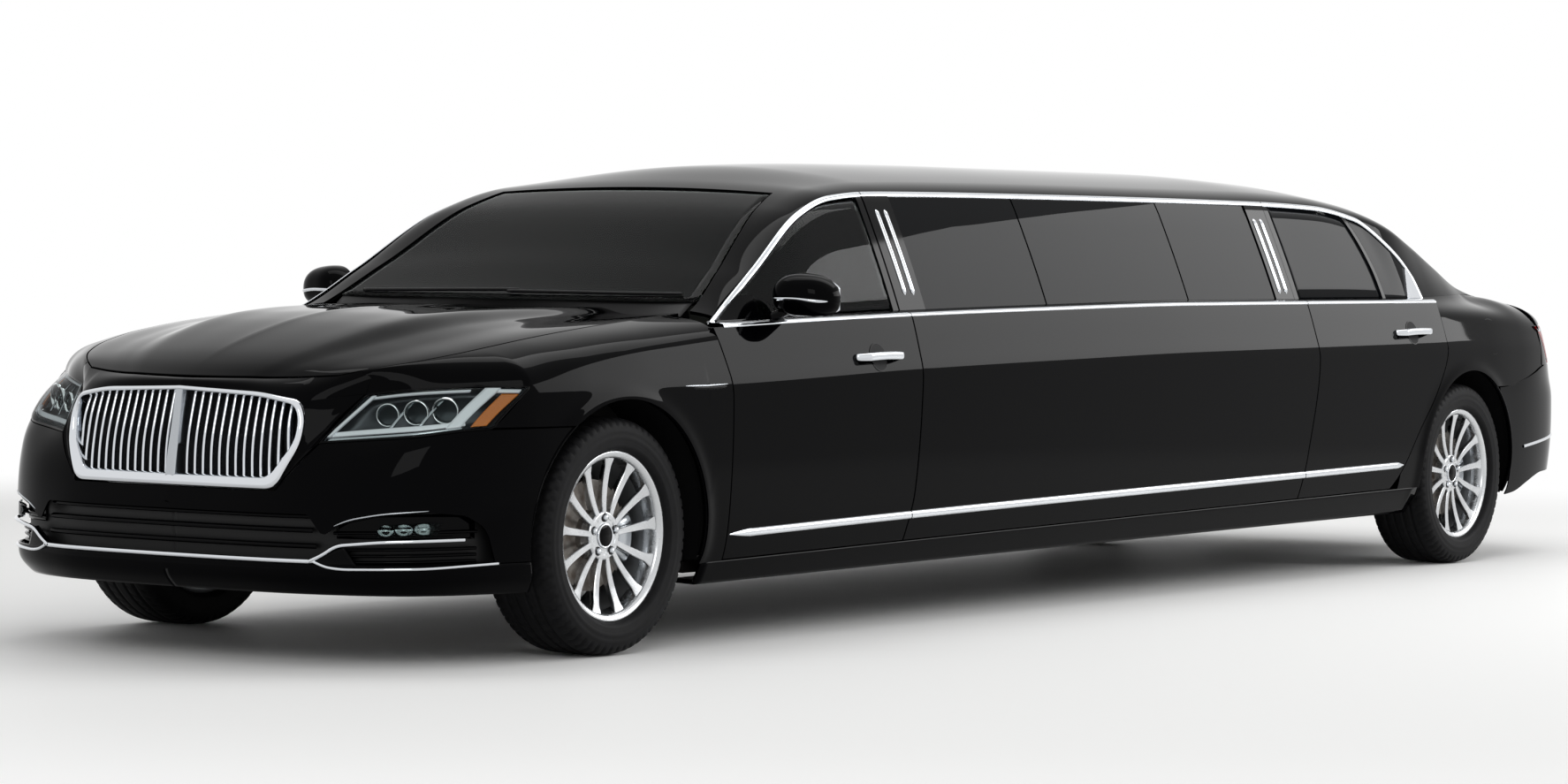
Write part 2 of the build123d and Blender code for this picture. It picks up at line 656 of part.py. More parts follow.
# ---------------------------------------------------------------- body sides and roof
QUARTER_FRONT = REAR_DOOR_REAR - 420
QUARTER_JOINT = rear(-60)  # the door-thick wall ends and the wing-thick skin starts here
quarter_wall = joined(
    common(CABIN_WALL, block((-FAR, FAR), (QUARTER_FRONT, QUARTER_JOINT), (SILL_BOTTOM, ABOVE))),
    less(
        common(HOUSE_WALL, block((-FAR, FAR), (QUARTER_JOINT - 1, FAR), (GREENHOUSE_FOOT, ABOVE))),
        TAIL_BODY,
    ),
    common(TAIL_SKIN, block((-FAR, FAR), (QUARTER_JOINT, FAR), (SILL_BOTTOM, ABOVE))),
)
backlight_hole = plan_cut(BACKLIGHT, z=(GLASS_CUT_Z, ABOVE))
SCREEN_PILLAR_FOOT = 1000.0
C_PILLAR_SEAM = rear(-420)  # joint between the roof and the rear quarters, over the rear door
with BuildPart() as rear_quarters:
    add(quarter_wall)
    add(block((-FAR, FAR), (-FAR, C_PILLAR_SEAM), (WINDOW_TOP - 80, ABOVE)), mode=Mode.SUBTRACT)
    add(DOOR_OPENINGS, mode=Mode.SUBTRACT)
    add(WELLS, mode=Mode.SUBTRACT)
    add(backlight_hole, mode=Mode.SUBTRACT)
    add(boot_opening, mode=Mode.SUBTRACT)
    add(tail_lamp_region, mode=Mode.SUBTRACT)
    add(rear_bumper_region, mode=Mode.SUBTRACT)
    add(SILL_BLOCK, mode=Mode.SUBTRACT)
rear_quarters.part.label = "rear_quarters"

# Roof with the windscreen pillars and the rails over the doors
windscreen_hole = plan_cut(WINDSCREEN, z=(GLASS_CUT_Z, ABOVE))
ROOF_FOOT = WINDOW_TOP + PANEL_GAP
with BuildPart() as roof:
    add(HOUSE_WALL)
    add(block((-FAR, FAR), (-FAR, C_PILLAR_SEAM), (SCREEN_PILLAR_FOOT, ABOVE)), mode=Mode.INTERSECT)
    add(NOSE_BODY, mode=Mode.SUBTRACT)
    add(DOOR_OPENINGS, mode=Mode.SUBTRACT)
    add(windscreen_hole, mode=Mode.SUBTRACT)
    add(backlight_hole, mode=Mode.SUBTRACT)
    add(block((-FAR, FAR), (front(1500), C_PILLAR_SEAM), (0, ROOF_FOOT)), mode=Mode.SUBTRACT)
    add(bonnet_opening, mode=Mode.SUBTRACT)
roof.part.label = "roof"

# Fixed sides of the stretched section, with three windows on each side
fixed_window_cuts = [
    side_cut(closed(
        (a, belt(a) + SILL_OF_WINDOW), (a, GB_TOP[1]), (b, GB_TOP[1]), (b, belt(b) + SILL_OF_WINDOW)
    ))
    for a, b in FIXED_WINDOWS
]
CENTRE_FRONT, CENTRE_REAR = DOOR_REAR - 90, REAR_DOOR_FRONT + 20
centre_region = side_cut(closed(
    (CENTRE_FRONT, foot_line(CENTRE_FRONT)), (CENTRE_FRONT, ROOF_FOOT),
    (CENTRE_REAR, ROOF_FOOT), (CENTRE_REAR, foot_line(CENTRE_REAR)),
))
with BuildPart() as centre_panels:
    add(CABIN_WALL)
    add(both_sides(centre_region), mode=Mode.INTERSECT)
    add(DOOR_OPENINGS, mode=Mode.SUBTRACT)
    for window_cut in fixed_window_cuts:
        add(both_sides(window_cut), mode=Mode.SUBTRACT)
centre_panels.part.label = "centre_panels"

with BuildPart() as side_windows:
    for window_cut in fixed_window_cuts:
        add(both_sides(common(GLASS_SHELL, window_cut)))
side_windows.part.label = "side_windows"

with BuildPart() as windscreen:
    add(GLASS_SHELL)
    add(windscreen_hole, mode=Mode.INTERSECT)
    add(NOSE_BODY, mode=Mode.SUBTRACT)
    add(bonnet_opening, mode=Mode.SUBTRACT)
windscreen.part.label = "windscreen"

with BuildPart() as rear_window:
    add(GLASS_SHELL)
    add(backlight_hole, mode=Mode.INTERSECT)
    add(TAIL_BODY, mode=Mode.SUBTRACT)
rear_window.part.label = "rear_window"

# ---------------------------------------------------------------- platform
BULKHEAD_Y = rear(330)
BULKHEAD_THICKNESS = 30.0
BULKHEAD_TOP = 1000.0
BOOT_FLOOR_END = rear(1080)
BOOT_FLOOR_HALF = 460.0
FIREWALL_Y = front(440)
FIREWALL_REAR = FIREWALL_Y + 40
with BuildPart() as sills:
    add(CABIN_BODY)
    add(SILL_BLOCK, mode=Mode.INTERSECT)
sills.part.label = "sills"

with BuildPart() as floor_pan:
    add(block((-FLOOR_HALF, FLOOR_HALF), (FIREWALL_Y, BOOT_FLOOR_END), (FLOOR_Z, FLOOR_TOP)))
    add(WELLS, mode=Mode.SUBTRACT)
    add(
        both_sides(block((BOOT_FLOOR_HALF, FAR), (rear(-LINER_RADIUS - 10), FAR), (0, ABOVE))),
        mode=Mode.SUBTRACT,
    )
    add(block((-BOOT_FLOOR_HALF, BOOT_FLOOR_HALF), (rear(-450), BOOT_FLOOR_END), (FLOOR_Z, FLOOR_TOP)))
    add(
        block(
            (-BOOT_FLOOR_HALF, BOOT_FLOOR_HALF),
            (BULKHEAD_Y, BULKHEAD_Y + BULKHEAD_THICKNESS),
            (FLOOR_Z, BULKHEAD_TOP),
        )
    )
floor_pan.part.label = "floor_pan"

COWL_HALF = HALF_WIDTH - 210
COWL_REAR = BONNET_REAR + 60
COWL_FOOT = 900.0
COWL_TOP = 940.0
with BuildPart() as cowl:
    add(block((-COWL_HALF, COWL_HALF), (FIREWALL_Y, FIREWALL_REAR), (FLOOR_TOP, COWL_FOOT)))
    add(block((-COWL_HALF, COWL_HALF), (FIREWALL_Y, COWL_REAR), (COWL_FOOT, COWL_TOP)))
    add(WELLS, mode=Mode.SUBTRACT)
cowl.part.label = "cowl"

ENGINE_SIZE = (560.0, 760.0, 520.0)
ENGINE_Y = front(40)
ENGINE_FOOT = 300.0
with BuildPart() as engine:
    with Locations((0, ENGINE_Y, ENGINE_FOOT + ENGINE_SIZE[2] / 2)):
        Box(*ENGINE_SIZE)
    chamfer(engine.edges().filter_by(Axis.Y), 40)
engine.part.label = "engine"

# ---------------------------------------------------------------- axles, knuckles and wheels
ARM_REACH = 122.0  # ball joints above and below the wheel centre
EYE_RADIUS = 30.0
EYE_THICKNESS = 26.0
KINGPIN_RADIUS = 15.0
BEAM_HALF = 400.0
BEAM_FOOT = 205.0
HUB_INNER = WHEEL_X - 8
HUB_OUTER = WHEEL_X + 70
HUB_RADIUS = 78.0
SPINDLE_END = HUB_OUTER - 10
DISC_X = HUB_INNER - DISC_THICKNESS
SPINDLE_ROOT = DISC_X - 12
CALIPER_GAP = 6.0
with BuildPart() as front_subframe:
    add(block((-BEAM_HALF, BEAM_HALF), (front(-260), front(260)), (BEAM_FOOT, ENGINE_FOOT)))
    for side in (-1, 1):
        tower = sorted((side * BEAM_HALF, side * (BEAM_HALF - 70)))
        add(block(tower, (front(-60), front(60)), (BEAM_FOOT, AXLE_Z + 160)))
        for z in (AXLE_Z - ARM_REACH, AXLE_Z + ARM_REACH):
            arm = sorted((side * (BEAM_HALF - 20), side * STEER_X))
            add(block(arm, (front(-24), front(24)), (z - EYE_THICKNESS / 2, z + EYE_THICKNESS / 2)))
            with Locations((side * STEER_X, FRONT_AXLE, z)):
                Cylinder(EYE_RADIUS, EYE_THICKNESS)
                Cylinder(KINGPIN_RADIUS + BEARING_CLEARANCE, 2 * EYE_THICKNESS, mode=Mode.SUBTRACT)
front_subframe.part.label = "front_subframe"


def caliper(axle_y):
    """Brake caliper behind the axle: a block that straddles the disc."""
    with BuildPart() as body:
        add(block((DISC_X - 34, HUB_INNER + 24), (axle_y + 92, axle_y + 196), (AXLE_Z - 60, AXLE_Z + 60)))
        slot = (DISC_X - CALIPER_GAP, HUB_INNER + CALIPER_GAP)
        add(disc(axle_y, AXLE_Z, DISC_RADIUS + CALIPER_GAP, slot), mode=Mode.SUBTRACT)
        fillet(body.edges().filter_by(Axis.X).sort_by(Axis.Y)[-2:], 18)
    return body.part


def bracket(axle_y, x_from):
    """Plate that carries the caliper from the upright."""
    return block((x_from, DISC_X - 20), (axle_y, axle_y + 130), (AXLE_Z - 34, AXLE_Z + 34))


with BuildPart() as knuckle_front_left:
    add(block((STEER_X - 26, SPINDLE_ROOT), (front(-40), front(40)), (AXLE_Z - 102, AXLE_Z + 102)))
    with Locations((STEER_X, FRONT_AXLE, AXLE_Z)):
        Cylinder(KINGPIN_RADIUS, 2 * (ARM_REACH + EYE_THICKNESS / 2) + 6)
    add(disc(FRONT_AXLE, AXLE_Z, SPINDLE_RADIUS, (SPINDLE_ROOT - 5, SPINDLE_END)))
    add(disc(FRONT_AXLE, AXLE_Z, 60, (SPINDLE_ROOT - 5, DISC_X - 8)))
    add(caliper(FRONT_AXLE))
    add(bracket(FRONT_AXLE, STEER_X - 26))
knuckle_front_left.part.label = "knuckle_front_left"

with BuildPart() as knuckle_front_right:
    mirror(knuckle_front_left.part, about=Plane.YZ)
knuckle_front_right.part.label = "knuckle_front_right"

with BuildPart() as rear_axle:
    with BuildSketch(Plane.XY.offset(AXLE_Z)):
        with BuildLine():
            Polyline(
                (0, REAR_AXLE), (0, rear(90)), (70, rear(90)), (130, rear(46)), (DISC_X - 8, rear(46)),
                (DISC_X - 8, rear(SPINDLE_RADIUS)), (SPINDLE_END, rear(SPINDLE_RADIUS)),
                (SPINDLE_END, REAR_AXLE), close=True,
            )
        make_face()
    revolve(axis=Axis((0, REAR_AXLE, AXLE_Z), (1, 0, 0)))
    add(caliper(REAR_AXLE))
    add(bracket(REAR_AXLE, DISC_X - 60))
    add(block((340, 420), (rear(-70), rear(70)), (FLOOR_TOP, AXLE_Z)))
    mirror(about=Plane.YZ)
rear_axle.part.label = "rear_axle"

RIM_HALF = TYRE_WIDTH / 2 - 14
RIM_INNER = RIM_RADIUS - 11
FACE_X = 72.0  # spoke face beyond the wheel's middle plane
with BuildPart() as wheel_shape:
    with BuildSketch(Plane.XY):
        with BuildLine():
            Polyline(
                (-RIM_HALF, RIM_LIP), (-RIM_HALF, RIM_INNER), (-RIM_HALF + 30, RIM_INNER - 8),
                (RIM_HALF - 30, RIM_INNER - 8), (RIM_HALF, RIM_INNER), (RIM_HALF, RIM_LIP),
                (RIM_HALF - 9, RIM_LIP), (RIM_HALF - 9, RIM_RADIUS), (-RIM_HALF + 9, RIM_RADIUS),
                (-RIM_HALF + 9, RIM_LIP), close=True,
            )
        make_face()
    revolve(axis=Axis.X)
    add(disc(0, 0, HUB_RADIUS, (HUB_INNER - WHEEL_X, HUB_OUTER - WHEEL_X)))
    add(disc(0, 0, DISC_RADIUS, (DISC_X - WHEEL_X, HUB_INNER - WHEEL_X)))
    with BuildSketch(Plane.YZ.offset(FACE_X - 26)):
        with PolarLocations(0, SPOKES):
            with Locations(((RIM_RADIUS + HUB_RADIUS) / 2 - 14, 0)):
                Trapezoid(44, RIM_RADIUS - HUB_RADIUS, 94, rotation=-90)
    extrude(amount=26)
    bore = (DISC_X - WHEEL_X - 5, SPINDLE_END - WHEEL_X + 4)
    add(disc(0, 0, SPINDLE_RADIUS + BEARING_CLEARANCE, bore), mode=Mode.SUBTRACT)

with BuildPart() as tyre_shape:
    with BuildSketch(Plane.XY):
        with BuildLine():
            Polyline(
                (-TYRE_WIDTH / 2 + 24, TYRE_RADIUS - 6), (-TYRE_WIDTH / 2, TYRE_RADIUS - 34),
                (-TYRE_WIDTH / 2, RIM_LIP + 22), (-RIM_HALF, RIM_LIP), (-RIM_HALF + 9, RIM_LIP),
                (-RIM_HALF + 9, RIM_RADIUS), (RIM_HALF - 9, RIM_RADIUS), (RIM_HALF - 9, RIM_LIP),
                (RIM_HALF, RIM_LIP), (TYRE_WIDTH / 2, RIM_LIP + 22), (TYRE_WIDTH / 2, TYRE_RADIUS - 34),
                (TYRE_WIDTH / 2 - 24, TYRE_RADIUS - 6), (TYRE_WIDTH / 2 - 45, TYRE_RADIUS),
                (-TYRE_WIDTH / 2 + 45, TYRE_RADIUS), close=True,
            )
        make_face()
    revolve(axis=Axis.X)

WHEEL_PLACES = {
    "front_left": (1, FRONT_AXLE),
    "front_right": (-1, FRONT_AXLE),
    "rear_left": (1, REAR_AXLE),
    "rear_right": (-1, REAR_AXLE),
}
wheel_pieces = []
for name, (side, axle_y) in WHEEL_PLACES.items():
    turn = 0 if side > 0 else 180
    for kind, shape in (("wheel", wheel_shape.part), ("tyre", tyre_shape.part)):
        with BuildPart() as wheel_piece:
            add(shape.moved(Location((side * WHEEL_X, axle_y, AXLE_Z), (0, 0, turn))))
        wheel_piece.part.label = f"{kind}_{name}"
        wheel_pieces.append(wheel_piece)

# ---------------------------------------------------------------- exhaust
PIPE_RADIUS = 34.0
PIPE_X = 470.0
EXHAUST_Z = 178.0
with BuildPart() as exhaust:
    for side in (-1, 1):
        pipe_x = side * PIPE_X
        add(block((pipe_x - 110, pipe_x + 110), (rear(560), rear(980)), (EXHAUST_Z - 40, FLOOR_Z)))
        with BuildSketch(Plane.XZ.offset(-rear(900))):
            with Locations((pipe_x, EXHAUST_Z)):
                Circle(PIPE_RADIUS)
                Circle(PIPE_RADIUS - 4, mode=Mode.SUBTRACT)
        extrude(amount=-(rear(REAR_OVERHANG - 30) - rear(900)))
exhaust.part.label = "exhaust"

# ---------------------------------------------------------------- inside
DASH_FRONT = COWL_REAR
DASH_REAR = front(1000)
DASH_FOOT = 600.0
DASH_TOP = 960.0
DASH_HALF = 760.0
WHEEL_RAKE = 24.0  # the steering column rises towards the driver by this angle
COLUMN_X = 360.0
COLUMN_END = front(1120)
COLUMN_Z = 905.0
COLUMN_RADIUS = 20.0
STEERING_RADIUS = 182.0
STEERING_RIM = 16.0
column_plane = Plane(
    origin=(COLUMN_X, COLUMN_END, COLUMN_Z),
    x_dir=(1, 0, 0),
    z_dir=(0, cos(radians(WHEEL_RAKE)), sin(radians(WHEEL_RAKE))),
)
with BuildPart() as column_bore:
    with BuildSketch(column_plane.offset(-600)):
        Circle(COLUMN_RADIUS + BEARING_CLEARANCE)
    extrude(amount=600)
with BuildPart() as dashboard:
    with BuildSketch(Plane.YZ.offset(-DASH_HALF)):
        with BuildLine():
            Line((DASH_FRONT, DASH_FOOT), (DASH_REAR - 90, DASH_FOOT))
            Line((DASH_REAR - 90, DASH_FOOT), (DASH_REAR, DASH_FOOT + 190))
            ThreePointArc(
                (DASH_REAR, DASH_FOOT + 190), (DASH_REAR - 40, DASH_TOP - 30), (DASH_REAR - 120, DASH_TOP)
            )
            Line((DASH_REAR - 120, DASH_TOP), (DASH_FRONT, DASH_TOP))
            Line((DASH_FRONT, DASH_TOP), (DASH_FRONT, DASH_FOOT))
        make_face()
    extrude(amount=2 * DASH_HALF)
    add(block((-90, 90), (DASH_FRONT, DASH_REAR + 60), (FLOOR_TOP, DASH_FOOT + 40)))
    add(block((-90, 90), (DASH_REAR, front(1640)), (FLOOR_TOP, 520)))
    add(column_bore.part, mode=Mode.SUBTRACT)
dashboard.part.label = "dashboard"

with BuildPart() as steering_wheel:
    with BuildSketch(column_plane.offset(-250)):
        Circle(COLUMN_RADIUS)
    extrude(amount=260)
    with BuildSketch(column_plane.offset(-30)):
        Circle(72)
        with PolarLocations(STEERING_RADIUS / 2 + 20, 3, start_angle=-90):
            Rectangle(STEERING_RADIUS - 40, 34)
    extrude(amount=22)
    rim_plane = Plane(
        origin=column_plane.offset(-19).origin, x_dir=column_plane.z_dir, z_dir=column_plane.x_dir
    )
    with BuildSketch(rim_plane):
        with Locations((0, STEERING_RADIUS)):
            Circle(STEERING_RIM)
    revolve(axis=Axis(column_plane.origin, column_plane.z_dir))
steering_wheel.part.label = "steering_wheel"


def seat(width, seat_y, depth, back_top, recline=140.0):
    """A seat facing forwards as one solid: cushion and back, in the plane x = 0."""
    cushion_top = FLOOR_TOP + 300
    with BuildPart() as shape:
        with BuildSketch(Plane.YZ.offset(-width / 2)):
            with BuildLine():
                Polyline(
                    (seat_y, FLOOR_TOP), (seat_y, cushion_top), (seat_y + depth, cushion_top - 40),
                    (seat_y + depth + recline, back_top), (seat_y + depth + recline + 110, back_top),
                    (seat_y + depth + 120, FLOOR_TOP), close=True,
                )
            make_face()
        extrude(amount=width)
        fillet(shape.edges().filter_by(Axis.X).group_by(Axis.Z)[-1], 40)
        fillet(shape.edges().filter_by(Axis.X).group_by(Axis.Z)[1:2], 40)
    return shape.part


FRONT_SEAT_X = 365.0
front_seat_shape = seat(520, front(1180), 470, 900)
with BuildPart() as front_seats:
    for x in (-FRONT_SEAT_X, FRONT_SEAT_X):
        add(front_seat_shape.moved(Location((x, 0, 0))))
front_seats.part.label = "front_seats"

COUCH_FRONT = front(2500)
COUCH_DEPTH = 440.0
BENCH_Y = rear(-780)
COUCH_REAR = REAR_DOOR_FRONT - 120
COUCH_X = HALF_WIDTH - DOOR_THICKNESS - 100
with BuildPart() as cabin_seats:
    add(seat(1100, BENCH_Y, 500, 930))
    with BuildSketch(Plane.XZ.offset(-COUCH_FRONT)):
        with BuildLine():
            Polyline(
                (-COUCH_X, FLOOR_TOP), (-COUCH_X, 900), (-COUCH_X + 90, 900),
                (-COUCH_X + 130, FLOOR_TOP + 280),
                (-COUCH_X + COUCH_DEPTH + 130, FLOOR_TOP + 300), (-COUCH_X + COUCH_DEPTH + 130, FLOOR_TOP),
                close=True,
            )
        make_face()
    extrude(amount=-(COUCH_REAR - COUCH_FRONT))
cabin_seats.part.label = "cabin_seats"

PARTITION_Y = front(1990)
with BuildPart() as partition:
    add(CABIN_INNER)
    add(
        block((-FLOOR_HALF, FLOOR_HALF), (PARTITION_Y - 25, PARTITION_Y + 25), (FLOOR_TOP, ABOVE)),
        mode=Mode.INTERSECT,
    )
    add(block((-420, 420), (PARTITION_Y - 60, PARTITION_Y + 60), (1000, 1330)), mode=Mode.SUBTRACT)
partition.part.label = "partition"

# ---------------------------------------------------------------- door mirrors
MIRROR_Y = front(905)
MIRROR_Z = 1056.0
MIRROR_OUT = 119.0  # beyond the body side
with BuildPart() as mirror_left:
    with BuildSketch(Plane.YZ.offset(HALF_WIDTH + MIRROR_OUT)):
        with Locations((MIRROR_Y, MIRROR_Z + 4)):
            RectangleRounded(78, 118, 30)
    with BuildSketch(Plane.YZ.offset(HALF_WIDTH - 92)):
        with Locations((MIRROR_Y + 8, MIRROR_Z)):
            RectangleRounded(104, 140, 36)
    loft()
    add(block((HALF_WIDTH - 150, HALF_WIDTH - 60), (MIRROR_Y - 100, MIRROR_Y + 20), (1004, 1044)))
    add(CABIN_OUTER, mode=Mode.SUBTRACT)
mirror_left.part.label = "mirror_left"

with BuildPart() as mirror_right:
    mirror(mirror_left.part, about=Plane.YZ)
mirror_right.part.label = "mirror_right"

# ---------------------------------------------------------------- output
PIECES = [
    bonnet, boot_lid, centre_panels, cabin_seats, cowl, dashboard, door_front_left, door_front_right,
    door_rear_left, door_rear_right, engine, exhaust, floor_pan, front_bumper, front_seats, front_subframe,
    front_wings, glass_front_left, glass_front_right, glass_rear_left, glass_rear_right, grille, headlamps,
    knuckle_front_left, knuckle_front_right, mirror_left, mirror_right, partition, rear_axle, rear_bumper,
    rear_quarters, rear_window, roof, side_windows, sills, steering_wheel, tail_lamps, windscreen,
    *wheel_pieces,
]
os.makedirs("parts", exist_ok=True)
for piece in PIECES:
    export_step(piece.part, f"parts/{piece.part.label}.step")
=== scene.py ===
# %% [markdown]
# A stretch limousine: a long black saloon with chrome trim, dark glass and alloy wheels.
# The car is built here as the factory and the coachbuilder build it: smooth panels are drawn
# first as two large surfaces, the body side and the glasshouse, and each door, wing and lid is
# then cut out of them along its shut lines. That way the reflections run on from one panel to
# the next across the gaps, which is what makes a painted car look right.

# %% Load the frame
from math import cos, pi, radians, sin

import bpy
import numpy as np
from mathutils import Matrix, Vector


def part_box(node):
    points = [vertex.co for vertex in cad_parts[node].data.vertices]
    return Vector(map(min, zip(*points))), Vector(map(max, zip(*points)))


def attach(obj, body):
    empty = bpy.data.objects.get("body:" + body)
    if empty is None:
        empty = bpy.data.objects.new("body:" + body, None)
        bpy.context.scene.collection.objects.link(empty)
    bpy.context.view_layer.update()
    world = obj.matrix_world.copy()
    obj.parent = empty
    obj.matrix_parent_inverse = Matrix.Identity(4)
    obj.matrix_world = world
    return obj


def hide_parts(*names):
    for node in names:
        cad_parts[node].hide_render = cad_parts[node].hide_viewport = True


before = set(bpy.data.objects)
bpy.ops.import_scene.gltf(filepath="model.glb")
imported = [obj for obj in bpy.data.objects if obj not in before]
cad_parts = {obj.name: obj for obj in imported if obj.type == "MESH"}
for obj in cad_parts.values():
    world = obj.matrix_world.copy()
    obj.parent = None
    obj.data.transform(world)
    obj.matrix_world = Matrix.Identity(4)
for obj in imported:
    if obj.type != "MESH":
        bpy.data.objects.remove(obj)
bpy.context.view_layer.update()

# %% [markdown]
# Everything is placed from a few things the frame already knows: the two axles, the middle of
# a wheel and the radius of a tyre. Distances along the car are given behind the front axle,
# because that is how a body drawing is dimensioned.

# %% Places taken from the frame
front_tyre = np.array(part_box("tyre_front_left"))
rear_tyre = np.array(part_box("tyre_rear_left"))
FRONT_AXLE = front_tyre[:, 1].mean()
REAR_AXLE = rear_tyre[:, 1].mean()
AXLE_HEIGHT = front_tyre[:, 2].mean()
WHEEL_X = front_tyre[:, 0].mean()
TYRE_RADIUS = (front_tyre[1, 2] - front_tyre[0, 2]) / 2
TYRE_WIDTH = front_tyre[1, 0] - front_tyre[0, 0]
WHEELBASE = REAR_AXLE - FRONT_AXLE
ARCH_RADIUS = TYRE_RADIUS + 0.053
print("wheelbase", round(WHEELBASE, 3), "tyre radius", round(TYRE_RADIUS, 4))

# %% [markdown]
# ## Small tools
# A car body has no straight lines, so the drawing needs two kinds of curve through given
# points: a spline that bends as little as it can, and a steady one that never swings past its
# points. Blender has curves of its own, but as formulas on whole arrays they can be stacked
# into surfaces.

# %% Curves through points
def spline(knots, values, at):
    """Natural cubic spline through values at knots. Between two knots a gap h apart, with a and
    b the parts of the gap to the far and the near one, it is a*v0 + b*v1 plus the bending term
    ((a^3 - a)*m0 + (b^3 - b)*m1)*h^2/6, where m is the curvature that makes the slopes meet."""
    k, v = np.asarray(knots, float), np.asarray(values, float)
    h, n = np.diff(k), len(k)
    system, right = np.eye(n), np.zeros(v.shape)
    inner = np.arange(1, n - 1)
    system[inner, inner - 1], system[inner, inner + 1] = h[:-1], h[1:]
    system[inner, inner] = 2 * (h[:-1] + h[1:])
    rise = np.diff(v, axis=0) / h.reshape(-1, *[1] * (v.ndim - 1))
    right[1:-1] = 6 * np.diff(rise, axis=0)
    m = np.linalg.solve(system, right.reshape(n, -1)).reshape(v.shape)
    at = np.asarray(at, float)
    i = np.clip(np.searchsorted(k, at) - 1, 0, n - 2)
    b = (at - k[i]) / h[i]
    shape = at.shape + (1,) * (v.ndim - 1)
    a, b, gap = (1 - b).reshape(shape), b.reshape(shape), h[i].reshape(shape)
    return a * v[i] + b * v[i + 1] + ((a**3 - a) * m[i] + (b**3 - b) * m[i + 1]) * gap**2 / 6


def steady(points, at):
    """Curve through (place, value) points that never passes a point's value: cubic between
    points, with each slope the harmonic mean of the rises beside it, and level at a turn."""
    k, v = np.array(points, float).T
    h, rise = np.diff(k), np.diff(v) / np.diff(k)
    both = rise[:-1] * rise[1:]
    slope = np.zeros(len(k))
    slope[1:-1] = np.where(both > 0, 2 * both / (rise[:-1] + rise[1:] + 1e-12 * (both <= 0)), 0)
    slope[0], slope[-1] = rise[0], rise[-1]
    at = np.clip(np.asarray(at, float), k[0], k[-1])
    i = np.clip(np.searchsorted(k, at) - 1, 0, len(k) - 2)
    t = (at - k[i]) / h[i]
    near = (2 * t**3 - 3 * t**2 + 1) * v[i] + (t**3 - 2 * t**2 + t) * h[i] * slope[i]
    return near + (3 * t**2 - 2 * t**3) * v[i + 1] + (t**3 - t**2) * h[i] * slope[i + 1]


def smooth(low, high, at):
    """Goes from 0 at low to 1 at high, level at both ends: 3t^2 - 2t^3."""
    t = np.clip((np.asarray(at, float) - low) / (high - low), 0, 1)
    return t * t * (3 - 2 * t)


def along(points, count, closed=False):
    """A curve of count points, evenly spaced, through the 3-D or 2-D points given."""
    p = np.asarray(points, float)
    p = np.vstack([p, p[:1]]) if closed else p
    s = np.r_[0, np.cumsum(np.linalg.norm(np.diff(p, axis=0), axis=1))]
    fine = spline(s, p, np.linspace(0, s[-1], 40 * len(p)))
    run = np.r_[0, np.cumsum(np.linalg.norm(np.diff(fine, axis=0), axis=1))]
    at = np.linspace(0, run[-1], count + closed)[: count]
    return np.stack([np.interp(at, run, c) for c in fine.T], axis=-1)


def bent(value, power):
    """A value raised to a power with its sign kept: the curve of a superellipse."""
    return np.sign(value) * np.abs(value) ** power


def turn_of(count):
    """Angles evenly round a full turn."""
    return np.linspace(0, 2 * pi, count, endpoint=False)


def xyz(x, y, z):
    """Stacks three arrays of coordinates, y counted from the front axle, into points."""
    x, y, z = np.broadcast_arrays(x, y, z)
    return np.stack([x, y + FRONT_AXLE, z], axis=-1).astype(float)


def ways(x, y, z, like):
    """The same direction at every point of an edge."""
    return np.stack([v + 0 * like for v in (x, y, z)], -1)


def ruled(first, last, count):
    """Grid of straight lines from the points of one edge to those of the other."""
    t = np.linspace(0, 1, count).reshape(-1, *[1] * np.ndim(first))
    return np.asarray(first) * (1 - t) + np.asarray(last) * t


def level_rows(low, high, cols, rows):
    """Rows of one height each, from low to high."""
    return ruled(np.full(cols, low), np.full(cols, high), rows)


def on_its_side(points, x):
    """Points of the left half, mirrored where x is negative."""
    points[..., 0] *= np.where(x < 0, -1, 1)
    return points


# %% [markdown]
# A piece of the car is one mesh made of grids of points. Grids that share an edge have the
# same points there, and those are merged, so that the piece is one skin. The paint side must
# face outwards, so the whole skin is turned over if most of it faces the middle of the piece.

# %% Grids to meshes
def quads(rows, cols, around=False):
    """Corner numbers of the faces of a grid, joined round its columns if asked."""
    r, c = np.meshgrid(np.arange(rows - 1), np.arange(cols - (not around)), indexing="ij")
    d = (c + 1) % cols
    return np.stack(
        [r * cols + c, r * cols + d, (r + 1) * cols + d, (r + 1) * cols + c], -1
    ).reshape(-1, 4)


def skin(grids, around=False, merge=1e-4):
    """Points and faces of several grids as one mesh: equal points, to a tenth of a millimetre,
    become one, and faces that lose a corner to a pole stay as triangles."""
    points, faces, count = [], [], 0
    for g in grids:
        g = np.asarray(g, float)
        points.append(g.reshape(-1, 3))
        faces.append(quads(*g.shape[:2], around) + count)
        count += g.shape[0] * g.shape[1]
    points, faces = np.concatenate(points), np.concatenate(faces)
    _, first, same = np.unique(np.round(points / merge), axis=0, return_index=True, return_inverse=True)
    faces = same.reshape(-1)[faces]
    flat = (faces == np.roll(faces, 1, axis=1)).sum(axis=1)
    return points[first], faces[flat < 2]


def face_normals(points, faces):
    """Area vector of each face: half the cross product of its diagonals."""
    a, b, c, d = (points[faces[:, i]] for i in range(4))
    return np.cross(c - a, d - b) / 2


